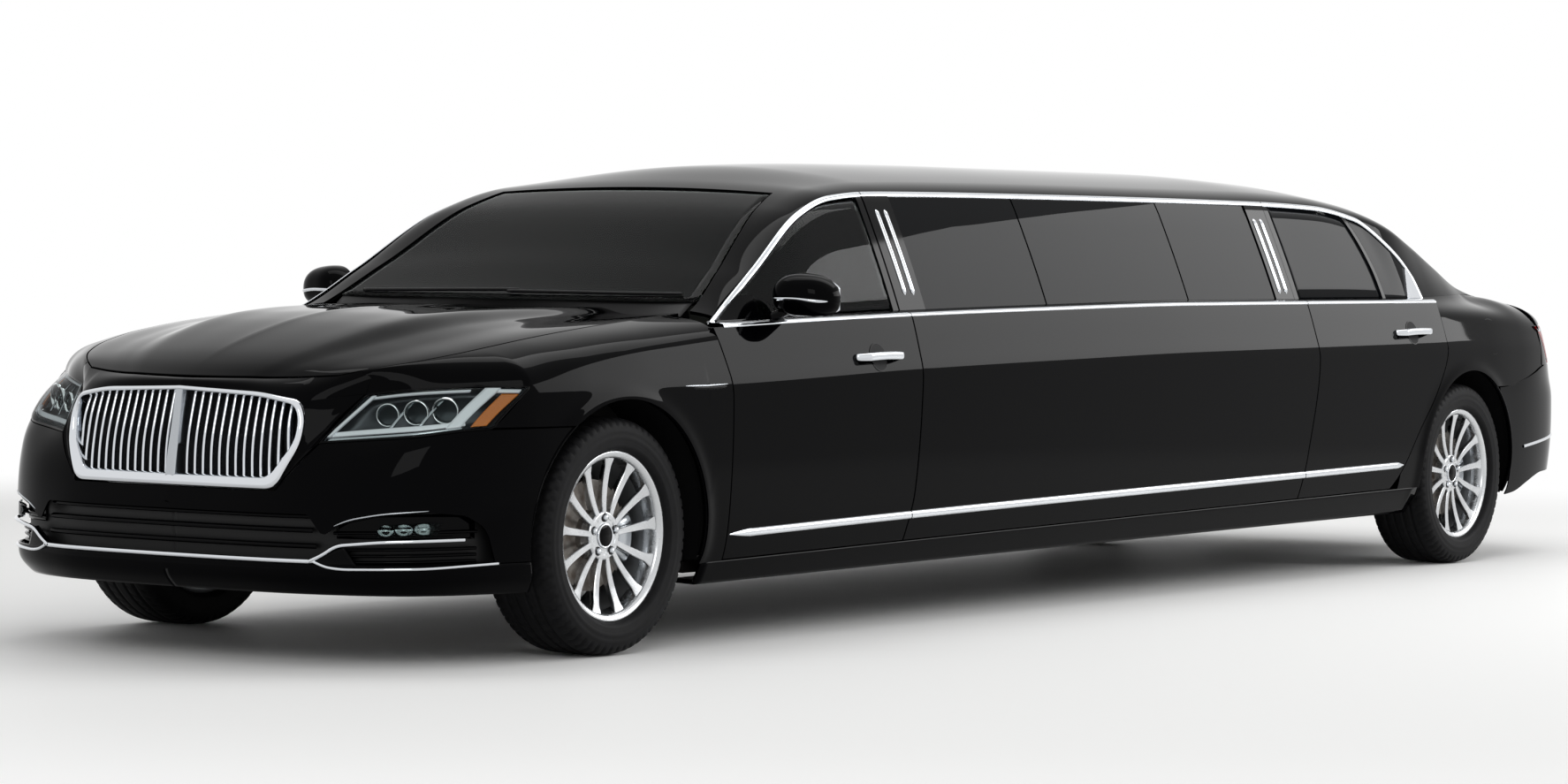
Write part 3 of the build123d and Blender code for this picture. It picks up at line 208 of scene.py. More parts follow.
def build(name, points, faces, finish, body, smooth_faces=True, sharp=None):
    """Makes the Blender object, gives it its finish and ties it to the body that carries it."""
    mesh = bpy.data.meshes.new(name)
    tidy = [tuple(dict.fromkeys(f)) for f in faces.tolist()]
    mesh.from_pydata(points.tolist(), [], [f for f in tidy if len(f) > 2])
    mesh.polygons.foreach_set("use_smooth", np.full(len(mesh.polygons), smooth_faces))
    mesh.materials.append(finish)
    if sharp:
        mesh.set_sharp_from_angle(angle=radians(sharp))
    mesh.update()
    thing = bpy.data.objects.new(name, mesh)
    bpy.context.collection.objects.link(thing)
    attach(thing, body)
    return thing


def thicken(thing, thickness, edge=0.0, side=-1.0):
    """Gives a skin its sheet thickness, and a small round along its edges."""
    wall = thing.modifiers.new("sheet", "SOLIDIFY")
    wall.thickness, wall.offset, wall.use_even_offset = thickness, side, False
    if edge:
        rounding = thing.modifiers.new("folded_edge", "BEVEL")
        rounding.width, rounding.segments, rounding.limit_method = edge, 2, "ANGLE"
        rounding.angle_limit, rounding.harden_normals = radians(50), True
    return thing


def piece(name, grids, finish, body="chassis", slot=None, middle=None, thickness=0.0, edge=0.0,
          around=False, sharp=None, outward=None):
    """One skin from grids, turned to face away from the point middle, which is inside it, or
    along the direction outward."""
    points, faces = skin(grids, around)
    normals = face_normals(points, faces)
    centres = points[faces].mean(axis=1)
    if outward is None:
        middle = points.mean(axis=0) * (0, 1, 1) if middle is None else np.array(middle)
        facing = (normals * (centres - middle)).sum()
    else:
        facing = (normals @ np.array(outward, float)).sum()
    thing = build(name, points, faces if facing >= 0 else faces[:, ::-1], finish, body, sharp=sharp)
    return thicken(thing, thickness, edge) if thickness else thing


def pair(name, grids, finish, body="chassis", **how):
    """A left-hand piece and its mirror image, on the left and the right body where there are two."""
    made = []
    for hand, sign in (("left", 1), ("right", -1)):
        rides = body.format(hand) if "{}" in body else body
        flip = np.array((sign, 1, 1))
        spec = {
            key: np.array(value) * flip if key in ("middle", "outward")
            and value is not None else value for key, value in how.items()
        }
        made.append(piece(f"{name}_{hand}", [np.asarray(g) * flip for g in grids], finish, rides, **spec))
    return made


def both(*grids):
    """The grids and their mirror images, with the columns turned so that all face one way."""
    return [*grids, *[(np.asarray(g) * (-1, 1, 1))[:, ::-1] for g in grids]]

# %% [markdown]
# ## Finishes
# Every finish starts from what the real one is and how its surface was made. Colours are
# written as the hex values a colour chart gives, and one function turns them to the linear
# values that a renderer adds up.

# %% Colour and node helpers
MM = 1000.0  # object coordinates are in metres, so a scale of MM / size gives one cell per size in mm


def linear(code):
    """sRGB hex to linear colour: ((c + 0.055) / 1.055)^2.4, or c / 12.92 in the dark."""
    c = np.array([int(code[i : i + 2], 16) for i in (1, 3, 5)]) / 255
    return (*np.where(c > 0.04045, ((c + 0.055) / 1.055) ** 2.4, c / 12.92), 1.0)


def add_node(tree, kind, links=None, **settings):
    """Adds a node, sets its properties or its sockets, and links sockets from other nodes."""
    node = tree.nodes.new(kind)
    for key, value in settings.items():
        if key in node.inputs:
            node.inputs[key].default_value = value
        else:
            setattr(node, key, value)
    for socket, source in (links or {}).items():
        tree.links.new(source, node.inputs[socket])
    return node


def finish(name, colour, roughness, metallic=0.0, **sockets):
    """A material with one surface shader, its constants set on the shader's own sockets."""
    made = bpy.data.materials.new(name)
    made.use_nodes = True
    made.node_tree.nodes.clear()
    shader = add_node(made.node_tree, "ShaderNodeBsdfPrincipled", Roughness=roughness, Metallic=metallic)
    shader.inputs["Base Color"].default_value = linear(colour)
    for socket, value in sockets.items():
        shader.inputs[socket.replace("_", " ")].default_value = value
    out = add_node(made.node_tree, "ShaderNodeOutputMaterial")
    made.node_tree.links.new(shader.outputs[0], out.inputs["Surface"])
    return made, made.node_tree, shader


def grain(made, size_mm, depth_mm, detail=2.0, stretch=(1, 1, 1), kind="ShaderNodeTexNoise"):
    """Fine relief of one grain size, from object coordinates, as a bump of a real depth."""
    _, tree, shader = made
    where = add_node(tree, "ShaderNodeTexCoord")
    turn = add_node(tree, "ShaderNodeMapping", {"Vector": where.outputs["Object"]}, Scale=stretch)
    cells = add_node(tree, kind, {"Vector": turn.outputs[0]}, Scale=MM / size_mm)
    if kind == "ShaderNodeTexNoise":
        cells.inputs["Detail"].default_value = detail
    height = cells.outputs["Fac"] if kind == "ShaderNodeTexNoise" else cells.outputs["Distance"]
    bump = add_node(tree, "ShaderNodeBump", {"Height": height}, Strength=1.0, Distance=depth_mm / MM)
    tree.links.new(bump.outputs[0], shader.inputs["Normal"])
    return where, turn, cells


def mottle(made, source, low, high, socket, size_mm):
    """Slow variation of one socket between two values, for wear, dust and polish marks."""
    _, tree, shader = made
    cells = add_node(tree, "ShaderNodeTexNoise", {"Vector": source}, Scale=MM / size_mm, Detail=4.0)
    ramp = add_node(tree, "ShaderNodeValToRGB", {"Fac": cells.outputs["Fac"]})
    for stop, at, value in zip(ramp.color_ramp.elements, (0.35, 0.7), (low, high)):
        stop.position = at
        stop.color = linear(value) if isinstance(value, str) else (value, value, value, 1)
    tree.links.new(ramp.outputs["Color"], shader.inputs[socket])


NOISE, CELLS = "ShaderNodeTexNoise", "ShaderNodeTexVoronoi"


def surface(name, colour, roughness, metallic=0.0, grain_mm=0.0, deep_mm=0.0, patches=None,
            detail=2.0, stretch=(1, 1, 1), kind=NOISE, along_grain=False, **sockets):
    """A whole finish: its base, a relief of one grain size, and patches (low, high, socket,
    size in mm) that follow the grain's own stretched coordinates if asked."""
    made = finish(name, colour, roughness, metallic, **sockets)
    if grain_mm:
        where, turn, _ = grain(made, grain_mm, deep_mm, detail, stretch, kind)
    elif patches:
        where = add_node(made[1], "ShaderNodeTexCoord")
    if patches:
        mottle(made, turn.outputs[0] if along_grain else where.outputs["Object"], *patches)
    return made[0]


# %% [markdown]
# Car paint is a coloured base under a clear lacquer. Black solid paint gives almost nothing
# back from the base, so all that the eye sees is the lacquer: a mirror that is weak when looked
# at squarely and strong at a glancing angle. In a white tent a full-strength mirror would turn
# the car grey, so its strength is matched to how black the polished car looks. The lacquer
# flows out with a very slight waviness, called orange peel, about 9 mm from crest to crest.

# %% Paint
paint = surface("black_solid_paint_under_lacquer", "#020203", 0.025, grain_mm=9.0, deep_mm=0.0015,
                detail=1.0, Specular_IOR_Level=0.032)
print("paint:", paint.name)

# %% [markdown]
# The bright trim is chromed: a thin, hard, slightly blue metal that mirrors everything. Lamp
# bowls are plastic with vaporised aluminium, which is whiter and not quite as sharp. Wheels
# are cast alloy, turned bright on their faces on a lathe and lacquered, so a fine circular
# grain stays in the metal. Discs and axles are iron with brown patches of light rust.

# %% Metals
chrome = surface("bright_chrome_plate", "#D4D7DB", 0.06, 1.0, patches=(0.045, 0.09, "Roughness", 35))
satin_chrome = surface("satin_chrome_on_plastic", "#AEB2B6", 0.24, 1.0, 0.8, 0.002)
bowl = surface("vaporised_aluminium_reflector", "#DCDEE0", 0.12, 1.0, 3.0, 0.02, kind=CELLS)
smoked = surface("smoked_lamp_bowl", "#5A5D61", 0.30, 0.6, 3.0, 0.02)
alloy = surface("turned_cast_alloy_lacquered", "#C3C5C7", 0.24, 1.0, 0.7, 0.006,
                (0.18, 0.32, "Roughness", 25), stretch=(6, 1, 1), Coat_Weight=0.5, Coat_Roughness=0.05)
cast_alloy = surface("painted_cast_alloy_barrel", "#8A8C8E", 0.45, 0.9, 1.6, 0.03)
iron = surface("machined_grey_iron_disc", "#77736E", 0.38, 0.9, 0.9, 0.012,
               ("#8A8681", "#5E554D", "Base Color", 40))
casting = surface("cast_iron_and_forged_steel", "#3A3836", 0.62, 0.55, 2.2, 0.12,
                  ("#403C39", "#2A2523", "Base Color", 55))
stainless = surface("stainless_exhaust_steel", "#A6A29C", 0.28, 1.0, 0.6, 0.004, stretch=(1, 0.06, 1))
print("metals:", len(bpy.data.materials) - 1)

# %% [markdown]
# Plastics and rubber. Grille and bumper inserts are ABS moulded against a spark-eroded tool,
# which leaves a leather-like grain. Gloss black trim is lacquered acrylic. Tyre rubber is dark
# grey with a dull bloom, and the sidewalls carry no lettering.

# %% Plastics and rubber
moulded = surface("grained_black_abs", "#0B0B0C", 0.50, 0.0, 1.4, 0.05, kind=CELLS,
                  Specular_IOR_Level=0.25)
gloss_black = surface("lacquered_black_acrylic_trim", "#020203", 0.05, 0.0, 14.0, 0.002, detail=0.0,
                      Specular_IOR_Level=0.06)
rubber = surface("tyre_rubber", "#0B0B0C", 0.62, 0.0, 1.2, 0.03,
                 ("#0A0A0B", "#101012", "Base Color", 30), Specular_IOR_Level=0.12)
seal = surface("epdm_rubber_seal", "#08080A", 0.66, 0.0, 1.0, 0.02, Specular_IOR_Level=0.2)
felt = surface("needled_felt_liner", "#0A0A0B", 0.95, 0.0, 2.5, 0.35, detail=4, Specular_IOR_Level=0.1)
underseal = surface("stone_guard_underseal", "#101011", 0.72, 0.0, 3.5, 0.25,
                    ("#0E0E0F", "#1B1917", "Base Color", 90), detail=3, Specular_IOR_Level=0.2)
print("materials so far:", len(bpy.data.materials))


# %% [markdown]
# Glass is two things at once: a reflection of the surroundings at its face, and a view of what
# lies behind, darkened by its tint. Limousine privacy glass lets through only a few percent, so
# a dark glossy body with a little transmission shows what the eye sees. The windscreen and the
# front door glass are much clearer.

# %% Glass and lenses
def tinted(name, tint, clearness, roughness=0.01, gloss=0.5):
    """Glass as a mix of a clear tinted film and a glossy dark body: clearness is the part of
    the light that passes."""
    made = finish(name, tint, roughness, Specular_IOR_Level=gloss)
    material, tree, shader = made
    film = add_node(tree, "ShaderNodeBsdfTransparent")
    film.inputs["Color"].default_value = linear(tint) if clearness < 0.3 else linear("#E9EFEE")
    edge = add_node(tree, "ShaderNodeFresnel", IOR=1.25)
    keep = add_node(tree, "ShaderNodeMath", {0: edge.outputs[0]}, operation="ADD")
    keep.inputs[1].default_value = 1.0 - clearness
    keep.use_clamp = True
    mix = add_node(
        tree, "ShaderNodeMixShader", {0: keep.outputs[0], 1: film.outputs[0], 2: shader.outputs[0]}
    )
    output = next(n for n in tree.nodes if n.type == "OUTPUT_MATERIAL")
    tree.links.new(mix.outputs[0], output.inputs["Surface"])
    where = add_node(tree, "ShaderNodeTexCoord")
    waves = add_node(
        tree, "ShaderNodeTexNoise", {"Vector": where.outputs["Object"]}, Scale=MM / 120, Detail=0.0
    )
    bump = add_node(tree, "ShaderNodeBump", {"Height": waves.outputs["Fac"]}, Distance=0.02 / MM)
    tree.links.new(bump.outputs[0], shader.inputs["Normal"])
    return material


privacy_glass = tinted("privacy_tinted_glass", "#0A0B0D", 0.05, gloss=0.028)
screen_glass = tinted("laminated_windscreen_glass", "#0C0F0E", 0.86, gloss=0.45)
door_glass = tinted("tempered_front_door_glass", "#0B0D0D", 0.74, gloss=0.25)
lens = tinted("clear_polycarbonate_lens", "#101214", 0.95, gloss=0.30)
print("glass done")

# %% Lamp colours
amber = surface("amber_moulded_reflector", "#E07B12", 0.22, 0.0, 5.0, 0.35, kind=CELLS,
                Coat_Weight=0.6, Coat_Roughness=0.03)
red_lens = surface("red_acrylic_lens", "#7A0A0E", 0.22, 0.0, 6.0, 0.3, kind=CELLS,
                   Specular_IOR_Level=0.12, Coat_Weight=0.04, Coat_Roughness=0.05)
light_guide = surface("milky_acrylic_light_guide", "#F2F5F8", 0.18, 0.0, 7.0, 0.15,
                      Emission_Color=linear("#F4F7FF"), Emission_Strength=0.18, Coat_Weight=0.5)

# %% [markdown]
# ## Trimmed cabin
# The seats are upholstered in pebble-grained black leather, the carpet is cut pile and the
# headlining a grey woven cloth. None of it is seen well from outside, but the doors open.

# %% Cabin finishes
leather = surface("pebble_grained_leather", "#17161A", 0.42, 0.0, 1.9, 0.16,
                  ("#17161A", "#221F22", "Base Color", 120), kind=CELLS, Specular_IOR_Level=0.35)
carpet = surface("cut_pile_carpet", "#141417", 0.98, 0.0, 2.4, 0.9, detail=3, Sheen_Weight=0.3,
                 Sheen_Roughness=0.6)
headlining = surface("woven_headlining", "#5E5B57", 0.95, 0.0, 1.5, 0.12, Sheen_Weight=0.2)
dash_skin = surface("slush_moulded_dash_skin", "#121214", 0.55, 0.0, 1.7, 0.12, kind=CELLS,
                    Specular_IOR_Level=0.3)
veneer = surface("walnut_veneer_lacquered", "#3B2115", 0.22, 0.0, 5.0, 0.02,
                 ("#4A2A1A", "#26140C", "Base Color", 8), detail=6, stretch=(1, 6, 6), along_grain=True,
                 Coat_Weight=0.8, Coat_Roughness=0.04)
print("all finishes:", len(bpy.data.materials))

# %% [markdown]
# ## Studio
# Black cars are best seen in a white tent with one large soft light overhead. The world is
# white where the camera, a mirror or a glass looks at it, and an even pale grey for everything
# that it lights.

# %% Studio
def white_rays(tree):
    """1 for a ray that comes straight from the camera, or by way of a mirror or a glass."""
    ray = add_node(tree, "ShaderNodeLightPath")
    seen = add_node(
        tree, "ShaderNodeMath", {0: ray.outputs["Is Camera Ray"], 1: ray.outputs["Is Glossy Ray"]},
        operation="ADD"
    )
    return add_node(
        tree, "ShaderNodeMath", {0: seen.outputs[0], 1: ray.outputs["Is Transmission Ray"]},
        operation="ADD", use_clamp=True
    )


def studio_floor():
    """White floor that takes the car's shadow near it, and runs out into the white beyond."""
    made = finish("white_vinyl_floor", "#F4F4F3", 0.55, Specular_IOR_Level=0.2)
    material, tree, shader = made
    where, _, _ = grain(made, 4.0, 0.02)
    away = add_node(tree, "ShaderNodeVectorMath", {0: where.outputs["Object"]}, operation="LENGTH")
    far = add_node(
        tree, "ShaderNodeMapRange", {"Value": away.outputs["Value"]}, interpolation_type="SMOOTHSTEP"
    )
    far.inputs["From Min"].default_value, far.inputs["From Max"].default_value = 5.0, 8.5
    amount = add_node(
        tree, "ShaderNodeMath", {0: far.outputs[0], 1: white_rays(tree).outputs[0]}, operation="MULTIPLY"
    )
    glow = add_node(tree, "ShaderNodeEmission", Color=(1, 1, 1, 1), Strength=1.0)
    mix = add_node(
        tree, "ShaderNodeMixShader", {0: amount.outputs[0], 1: shader.outputs[0], 2: glow.outputs[0]}
    )
    out = next(n for n in tree.nodes if n.type == "OUTPUT_MATERIAL")
    tree.links.new(mix.outputs[0], out.inputs["Surface"])
    x, y = np.meshgrid(np.linspace(-60, 60, 3), np.linspace(-60, 60, 3))
    points, faces = skin([np.stack([x, y, 0 * x - 0.0005], -1)])
    mesh = bpy.data.meshes.new("studio_floor")
    mesh.from_pydata(points.tolist(), [], faces.tolist())
    mesh.materials.append(material)
    floor = bpy.data.objects.new("studio_floor", mesh)
    bpy.context.collection.objects.link(floor)


def studio():
    """World and lamps."""
    bpy.context.scene.view_settings.view_transform = "Standard"
    world = bpy.data.worlds.new("white_tent")
    bpy.context.scene.world = world
    world.use_nodes = True
    tree = world.node_tree
    tree.nodes.clear()
    level = add_node(
        tree, "ShaderNodeMapRange", {"Value": white_rays(tree).outputs[0]},
        **{"To Min": 0.55, "To Max": 1.0}
    )
    sky = add_node(tree, "ShaderNodeBackground", {"Strength": level.outputs[0]}, Color=(1, 1, 1, 1))
    out = add_node(tree, "ShaderNodeOutputWorld")
    tree.links.new(sky.outputs[0], out.inputs["Surface"])
    lights = (  # name, place, size, watts: each looks at the middle of the car
        ("overhead_bank", (0.4, 0.5, 5.6), (2.4, 8.0), 170),
        ("front_bank", (5.0, -8.5, 4.2), (3.0, 3.0), 110),
        ("tail_bank", (9.5, 10.0, 5.6), (12.0, 4.0), 900),
    )
    for name, place, size, watts in lights:
        lamp = bpy.data.lights.new(name, "AREA")
        lamp.shape, lamp.size, lamp.size_y, lamp.energy = "RECTANGLE", *size, watts
        thing = bpy.data.objects.new(name, lamp)
        bpy.context.collection.objects.link(thing)
        away = np.array(place) - (0, 0, 0.6)
        thing.location = place
        thing.rotation_euler = Vector(away).to_track_quat("Z", "Y").to_euler()
    print("studio: floor and", len(lights), "lights")


studio_floor()
studio()

# %% [markdown]
# The camera stands at head height ahead of the left front wheel, with a long lens, so that
# the car keeps its proportions. Its turn, tilt and roll make one matrix: the camera's right,
# its up and the way back from what it looks at.

# %% Camera
LENS_MM, SENSOR_MM = 105.83, 36.0
CAMERA_PLACE = (9.02706, -13.69981, 1.214976)
TURN, TILT, ROLL = (radians(v) for v in (34.7889, 1.8308, 0.7096))


def set_camera():
    """Looks along forward = (-cos tilt sin turn, cos tilt cos turn, -sin tilt)."""
    forward = np.array([-cos(TILT) * sin(TURN), cos(TILT) * cos(TURN), -sin(TILT)])
    right = np.array([cos(TURN), sin(TURN), 0])
    up = np.cross(right, forward)
    turned = (right * cos(ROLL) + up * sin(ROLL), up * cos(ROLL) - right * sin(ROLL), -forward)
    pose = np.eye(4)
    pose[:3, :3] = np.array(turned).T
    pose[:3, 3] = CAMERA_PLACE
    camera = bpy.data.cameras.new("camera")
    camera.lens, camera.sensor_width, camera.sensor_fit = LENS_MM, SENSOR_MM, "HORIZONTAL"
    stand = bpy.data.objects.new("camera", camera)
    bpy.context.collection.objects.link(stand)
    stand.matrix_world = Matrix(pose.tolist())
    bpy.context.scene.camera = stand


set_camera()

# %% [markdown]
# ## The body side
# Seen from ahead, a door is widest at the height of the axle, stands nearly upright up to a
# shoulder crease, and leans in from there to the windows. The crease is what splits the
# reflection: sky above it, ground below it. The section is one spline of inset against height,
# and the whole section climbs a little towards the tail, as the belt line does.

# %% Body side surface
HALF_WIDTH = 0.956
# Height at the front door, inset from the widest point.
SIDE_SECTION = np.array(
    (
        (0.150, 0.078), (0.190, 0.056), (0.250, 0.030), (0.330, 0.012), (0.450, 0.003), (0.600, 0.0),
        (0.740, 0.0015), (0.790, 0.0055), (0.825, 0.0150), (0.880, 0.0320), (0.930, 0.0480),
        (0.985, 0.0680), (1.030, 0.0860),
    )
)
CLIMB = ((-1.0, 0.0), (0.3, 0.0), (1.56, 0.029), (2.46, 0.043), (3.4, 0.054), (5.3, 0.056), (6.8, 0.050))
# Behind the front axle, half width.
PLAN_WIDTH = (
    (-0.62, 0.858), (-0.52, 0.888), (-0.38, 0.921), (-0.15, 0.945), (0.15, 0.9545), (0.6, HALF_WIDTH),
    (5.2, HALF_WIDTH), (5.7, 0.950), (6.0, 0.936), (6.25, 0.908), (6.42, 0.868),
)
ARCH_FLARE = 0.007


def climb(y):
    """How much higher the section stands at y than at the front door."""
    return steady(CLIMB, y)


def half_width(y):
    """Half width of the body at its widest height."""
    return steady(PLAN_WIDTH, y)


def side_inset(z):
    """How far the section lies inside its widest point."""
    return spline(SIDE_SECTION[:, 0], SIDE_SECTION[:, 1], np.clip(z, 0.15, 1.03))


def side_x(y, z):
    """Half width at y less the inset of the section at the height above its own climb, plus a
    flare that swells like a bell curve at the edge of each wheel arch."""
    y, z = np.asarray(y, float), np.asarray(z, float)
    x = half_width(y) - side_inset(z - climb(y))
    for axle in (0.0, WHEELBASE):
        from_edge = np.hypot(y - axle, z - AXLE_HEIGHT) - ARCH_RADIUS
        x = x + ARCH_FLARE * np.exp(-((from_edge / 0.030) ** 2)) * smooth(0.2, 0.3, z)
    return x


def side(y, z, out=0.0):
    """Point of the body side, moved outwards by out."""
    y, z = np.broadcast_arrays(np.asarray(y, float), np.asarray(z, float))
    return xyz(side_x(y, z) + out, y, z)


def arch_z(y, axle):
    """Height of the edge of a wheel arch over y."""
    return AXLE_HEIGHT + np.sqrt(np.maximum(ARCH_RADIUS**2 - (y - axle) ** 2, 0))


def arch_rear_y(z):
    """Rear edge of the front wheel arch: the circle below the axle, upright above it."""
    return np.sqrt(ARCH_RADIUS**2 - np.minimum(z - AXLE_HEIGHT, 0) ** 2)


def field(y_front, y_rear, z_low, z_high, rows, cols):
    """A panel's own coordinates: heights between two edges given along y, and places along
    the car between two edges given along z. Each is worked out from the other in turn."""
    u, v = np.meshgrid(np.linspace(0, 1, cols), np.linspace(0, 1, rows))
    y = y_front(0.6 + 0 * u) * (1 - u) + y_rear(0.6 + 0 * u) * u
    for _ in range(6):
        z = z_low(y) * (1 - v) + z_high(y) * v
        y = y_front(z) * (1 - u) + y_rear(z) * u
    return y, z


def bend_over(start, start_way, end, end_way, rows):
    """Strip that leaves the edge start in the direction start_way and arrives at the edge end
    in the direction end_way: a Hermite cubic, each way as long as the gap."""
    t = np.linspace(0, 1, rows).reshape(-1, 1, 1)
    gap = np.linalg.norm(end - start, axis=-1, keepdims=True)
    unit = [w / np.linalg.norm(w, axis=-1, keepdims=True) * gap for w in (start_way, end_way)]
    return (
        (2 * t**3 - 3 * t**2 + 1) * start + (t**3 - 2 * t**2 + t) * unit[0]
        + (3 * t**2 - 2 * t**3) * end + (t**3 - t**2) * unit[1]
    )


def side_way(y, z):
    """Direction straight up along the body side."""
    step = 0.004
    return side(y, z + step) - side(y, z - step)


# %% Shut lines and edges of the side
GAP = 0.0045  # clear gap between two panels
SKIN = 0.012  # folded edge of a panel


def line(*points):
    """Edge through (place, value) points as a function."""
    table = np.array(points)
    return lambda at: np.interp(at, table[:, 0], table[:, 1])


def plumb(y):
    """Edge that stands upright at y."""
    return line((0, y), (1, y))


def curve(*points):
    """Steady curve through (place, value) points as a function."""
    return lambda at: steady(points, at)


door_front_line = curve((0.20, 0.512), (0.32, 0.516), (0.76, 0.530), (0.90, 0.512), (1.0, 0.484))
door_rear_line = curve((0.20, 1.512), (0.30, 1.518), (0.42, 1.543), (0.80, 1.581), (1.02, 1.597))
rear_door_front_line = curve((0.20, 4.146), (0.32, 4.152), (0.456, 4.180), (0.847, 4.262), (1.05, 4.262))
rear_door_rear_line = curve(
    (0.30, 4.86), (0.354, 4.924), (0.52, 5.064), (0.687, 5.218), (0.79, 5.290), (0.86, 5.312),
    (0.94, 5.314), (1.06, 5.310)
)


def door_foot(y):
    """Lower shut line of the doors and lower edge of the middle panel."""
    return 0.258 + 0.0125 * (y - 0.5)


def belt_z(y):
    """The upper edge of the body side, under the bright strip at the foot of the windows."""
    return steady(
        (
            (0.30, 0.950), (0.56, 0.965), (1.56, 0.993), (2.46, 1.009), (3.4, 1.021), (5.4, 1.024),
            (6.2, 1.0)
        ), y
    )


def sill_foot(y):
    """Lower edge of the sill."""
    return 0.188 + 0.006 * (y - 0.5)


def shifted(edge, by):
    """The same edge, moved."""
    return lambda at: edge(at) + by


print(
    "belt at the door", round(float(belt_z(1.0)), 3), "width at the crease",
    round(float(side_x(1.0, 0.8)), 3)
)

# %% [markdown]
# ## Doors and fixed sides
# A door skin is pressed from one sheet and folded round its inner frame. Here each one is a
# grid between its shut lines, with the folded edge as sheet thickness. The stretched middle is
# one long panel per side, as a coachbuilder welds in.

# %% Doors and middle panels
def side_panel(y_front, y_rear, z_low, z_high, rows=38, cols=40):
    """Piece of the body side between four edges."""
    y, z = field(y_front, y_rear, z_low, z_high, rows, cols)
    return side(y, z)


half = GAP / 2
front_skin = side_panel(
    shifted(door_front_line, half), shifted(door_rear_line, -half), shifted(door_foot, half), belt_z
)
centre_skin = side_panel(
    shifted(door_rear_line, half), shifted(rear_door_front_line, -half), shifted(door_foot, half), belt_z,
    cols=44
)
rear_skin = side_panel(
    shifted(rear_door_front_line, half), shifted(rear_door_rear_line, -half), shifted(door_foot, half),
    belt_z, cols=40
)
pair(
    "door_front_skin", [front_skin], paint, "door_front_{}", slot="black_paint", thickness=SKIN,
    edge=0.002
)
pair("centre_skin", [centre_skin], paint, slot="black_paint", thickness=SKIN, edge=0.002)
pair("door_rear_skin", [rear_skin], paint, "door_rear_{}", slot="black_paint", thickness=SKIN, edge=0.002)
sill_skin = side_panel(
    plumb(0.409), plumb(5.095), sill_foot, shifted(door_foot, -half), rows=8, cols=120
)
sill_under = ruled(sill_skin[0], sill_skin[0] * (0, 1, 1) + (0.80, 0, 0.004), 5)[::-1]
pair(
    "sill_cover", [np.concatenate([sill_under[:-1], sill_skin])], paint, slot="black_paint",
    thickness=0.010
)

# %% [markdown]
# ## Wings and rear quarters
# A wing is cut away over the wheel, and its top rolls over a soft shoulder to the bonnet's
# edge. So it is a chain of grids: columns that stand on the arch, the strip behind it, and a
# strip that leaves the side along its own slope and arrives level at the bonnet.

# %% Bonnet edge and wing crest
# X, behind the axle, z of the left shut line, from the nose to the windscreen.
BONNET_SIDE = np.array(
    (
        (0.477, -0.752, 0.826), (0.560, -0.685, 0.848), (0.640, -0.590, 0.868), (0.706, -0.450, 0.895),
        (0.745, -0.250, 0.928), (0.758, 0.000, 0.958), (0.756, 0.250, 0.980), (0.735, 0.450, 0.994),
        (0.706, 0.590, 1.001),
    )
)


def bonnet_edge(y):
    """The bonnet's side shut line at y: its x and z as steady curves."""
    return steady(BONNET_SIDE[:, (1, 0)], y), steady(BONNET_SIDE[:, (1, 2)], y)


LAMP_END = -0.415  # the wing's side begins here, behind the headlamp
SEAM_Z = 0.682  # joint between wing and bumper
# Upper edge of the headlamp, inner to outer end.
LAMP_TOP = np.array(
    (
        (0.548, -0.712, 0.772), (0.640, -0.655, 0.787), (0.745, -0.570, 0.797), (0.835, -0.480, 0.801),
        (0.890, -0.415, 0.800),
    )
)


def crest_z(y):
    """Height at which the side starts to roll over."""
    return steady(((LAMP_END, 0.800), (-0.2, 0.850), (0.05, 0.885), (0.3, 0.905), (0.55, 0.925)), y)


def wing_top(y_low, z_low, rows=16):
    """Strip from the side at (y, crest) over the shoulder to the bonnet's edge at the same y."""
    x_edge, z_edge = bonnet_edge(y_low)
    end = xyz(x_edge + GAP / 2, y_low, z_edge)
    return bend_over(side(y_low, z_low), side_way(y_low, z_low), end, ways(-1, 0, 0.16, y_low), rows)


LOW_ROWS = 22
ahead = np.linspace(LAMP_END, -np.sqrt(ARCH_RADIUS**2 - (SEAM_Z - AXLE_HEIGHT) ** 2), 14)
over_arch = -ARCH_RADIUS * np.cos(np.linspace(np.arccos(-ahead[-1] / ARCH_RADIUS), pi, 46))
front_columns = np.r_[ahead, over_arch[1:]]
foot = np.where(front_columns <= ahead[-1], SEAM_Z + GAP / 2, arch_z(front_columns, 0.0))
wing_low = side(front_columns, ruled(foot, crest_z(front_columns), LOW_ROWS))
wing_high = wing_top(front_columns, crest_z(front_columns))
ear_z = np.linspace(SEAM_Z + GAP / 2, 0.800, LOW_ROWS)
ear_start = -0.545 + 0.130 * ((ear_z - ear_z[0]) / (0.800 - ear_z[0])) ** (1 / 1.15)
ear_y = ruled(ear_start, np.full(LOW_ROWS, LAMP_END), 10).T
ear = side(ear_y, ear_z[:, None] + 0 * ear_y)
strip_y, strip_z = field(
    plumb(ARCH_RADIUS), shifted(door_front_line, -half), plumb(AXLE_HEIGHT),
    crest_z, LOW_ROWS, 12,
)
strip_foot_y, strip_foot_z = field(
    arch_rear_y, shifted(door_front_line, -half), shifted(door_foot, -half - 0.001),
    plumb(AXLE_HEIGHT), 10, 12,
)
wing_rear_high = wing_top(strip_y[-1], strip_z[-1])
s = np.linspace(0, 1, 26)
lamp_upper = along(
    np.vstack([LAMP_TOP[:-1], (float(side_x(LAMP_END, 0.80)), LAMP_END, 0.80)]), 26
) + (0, FRONT_AXLE, 0)
brow_end_y = lamp_upper[:, 1] - FRONT_AXLE
edge_x, edge_z = bonnet_edge(brow_end_y)
brow_end = xyz(edge_x + GAP / 2, brow_end_y, edge_z)
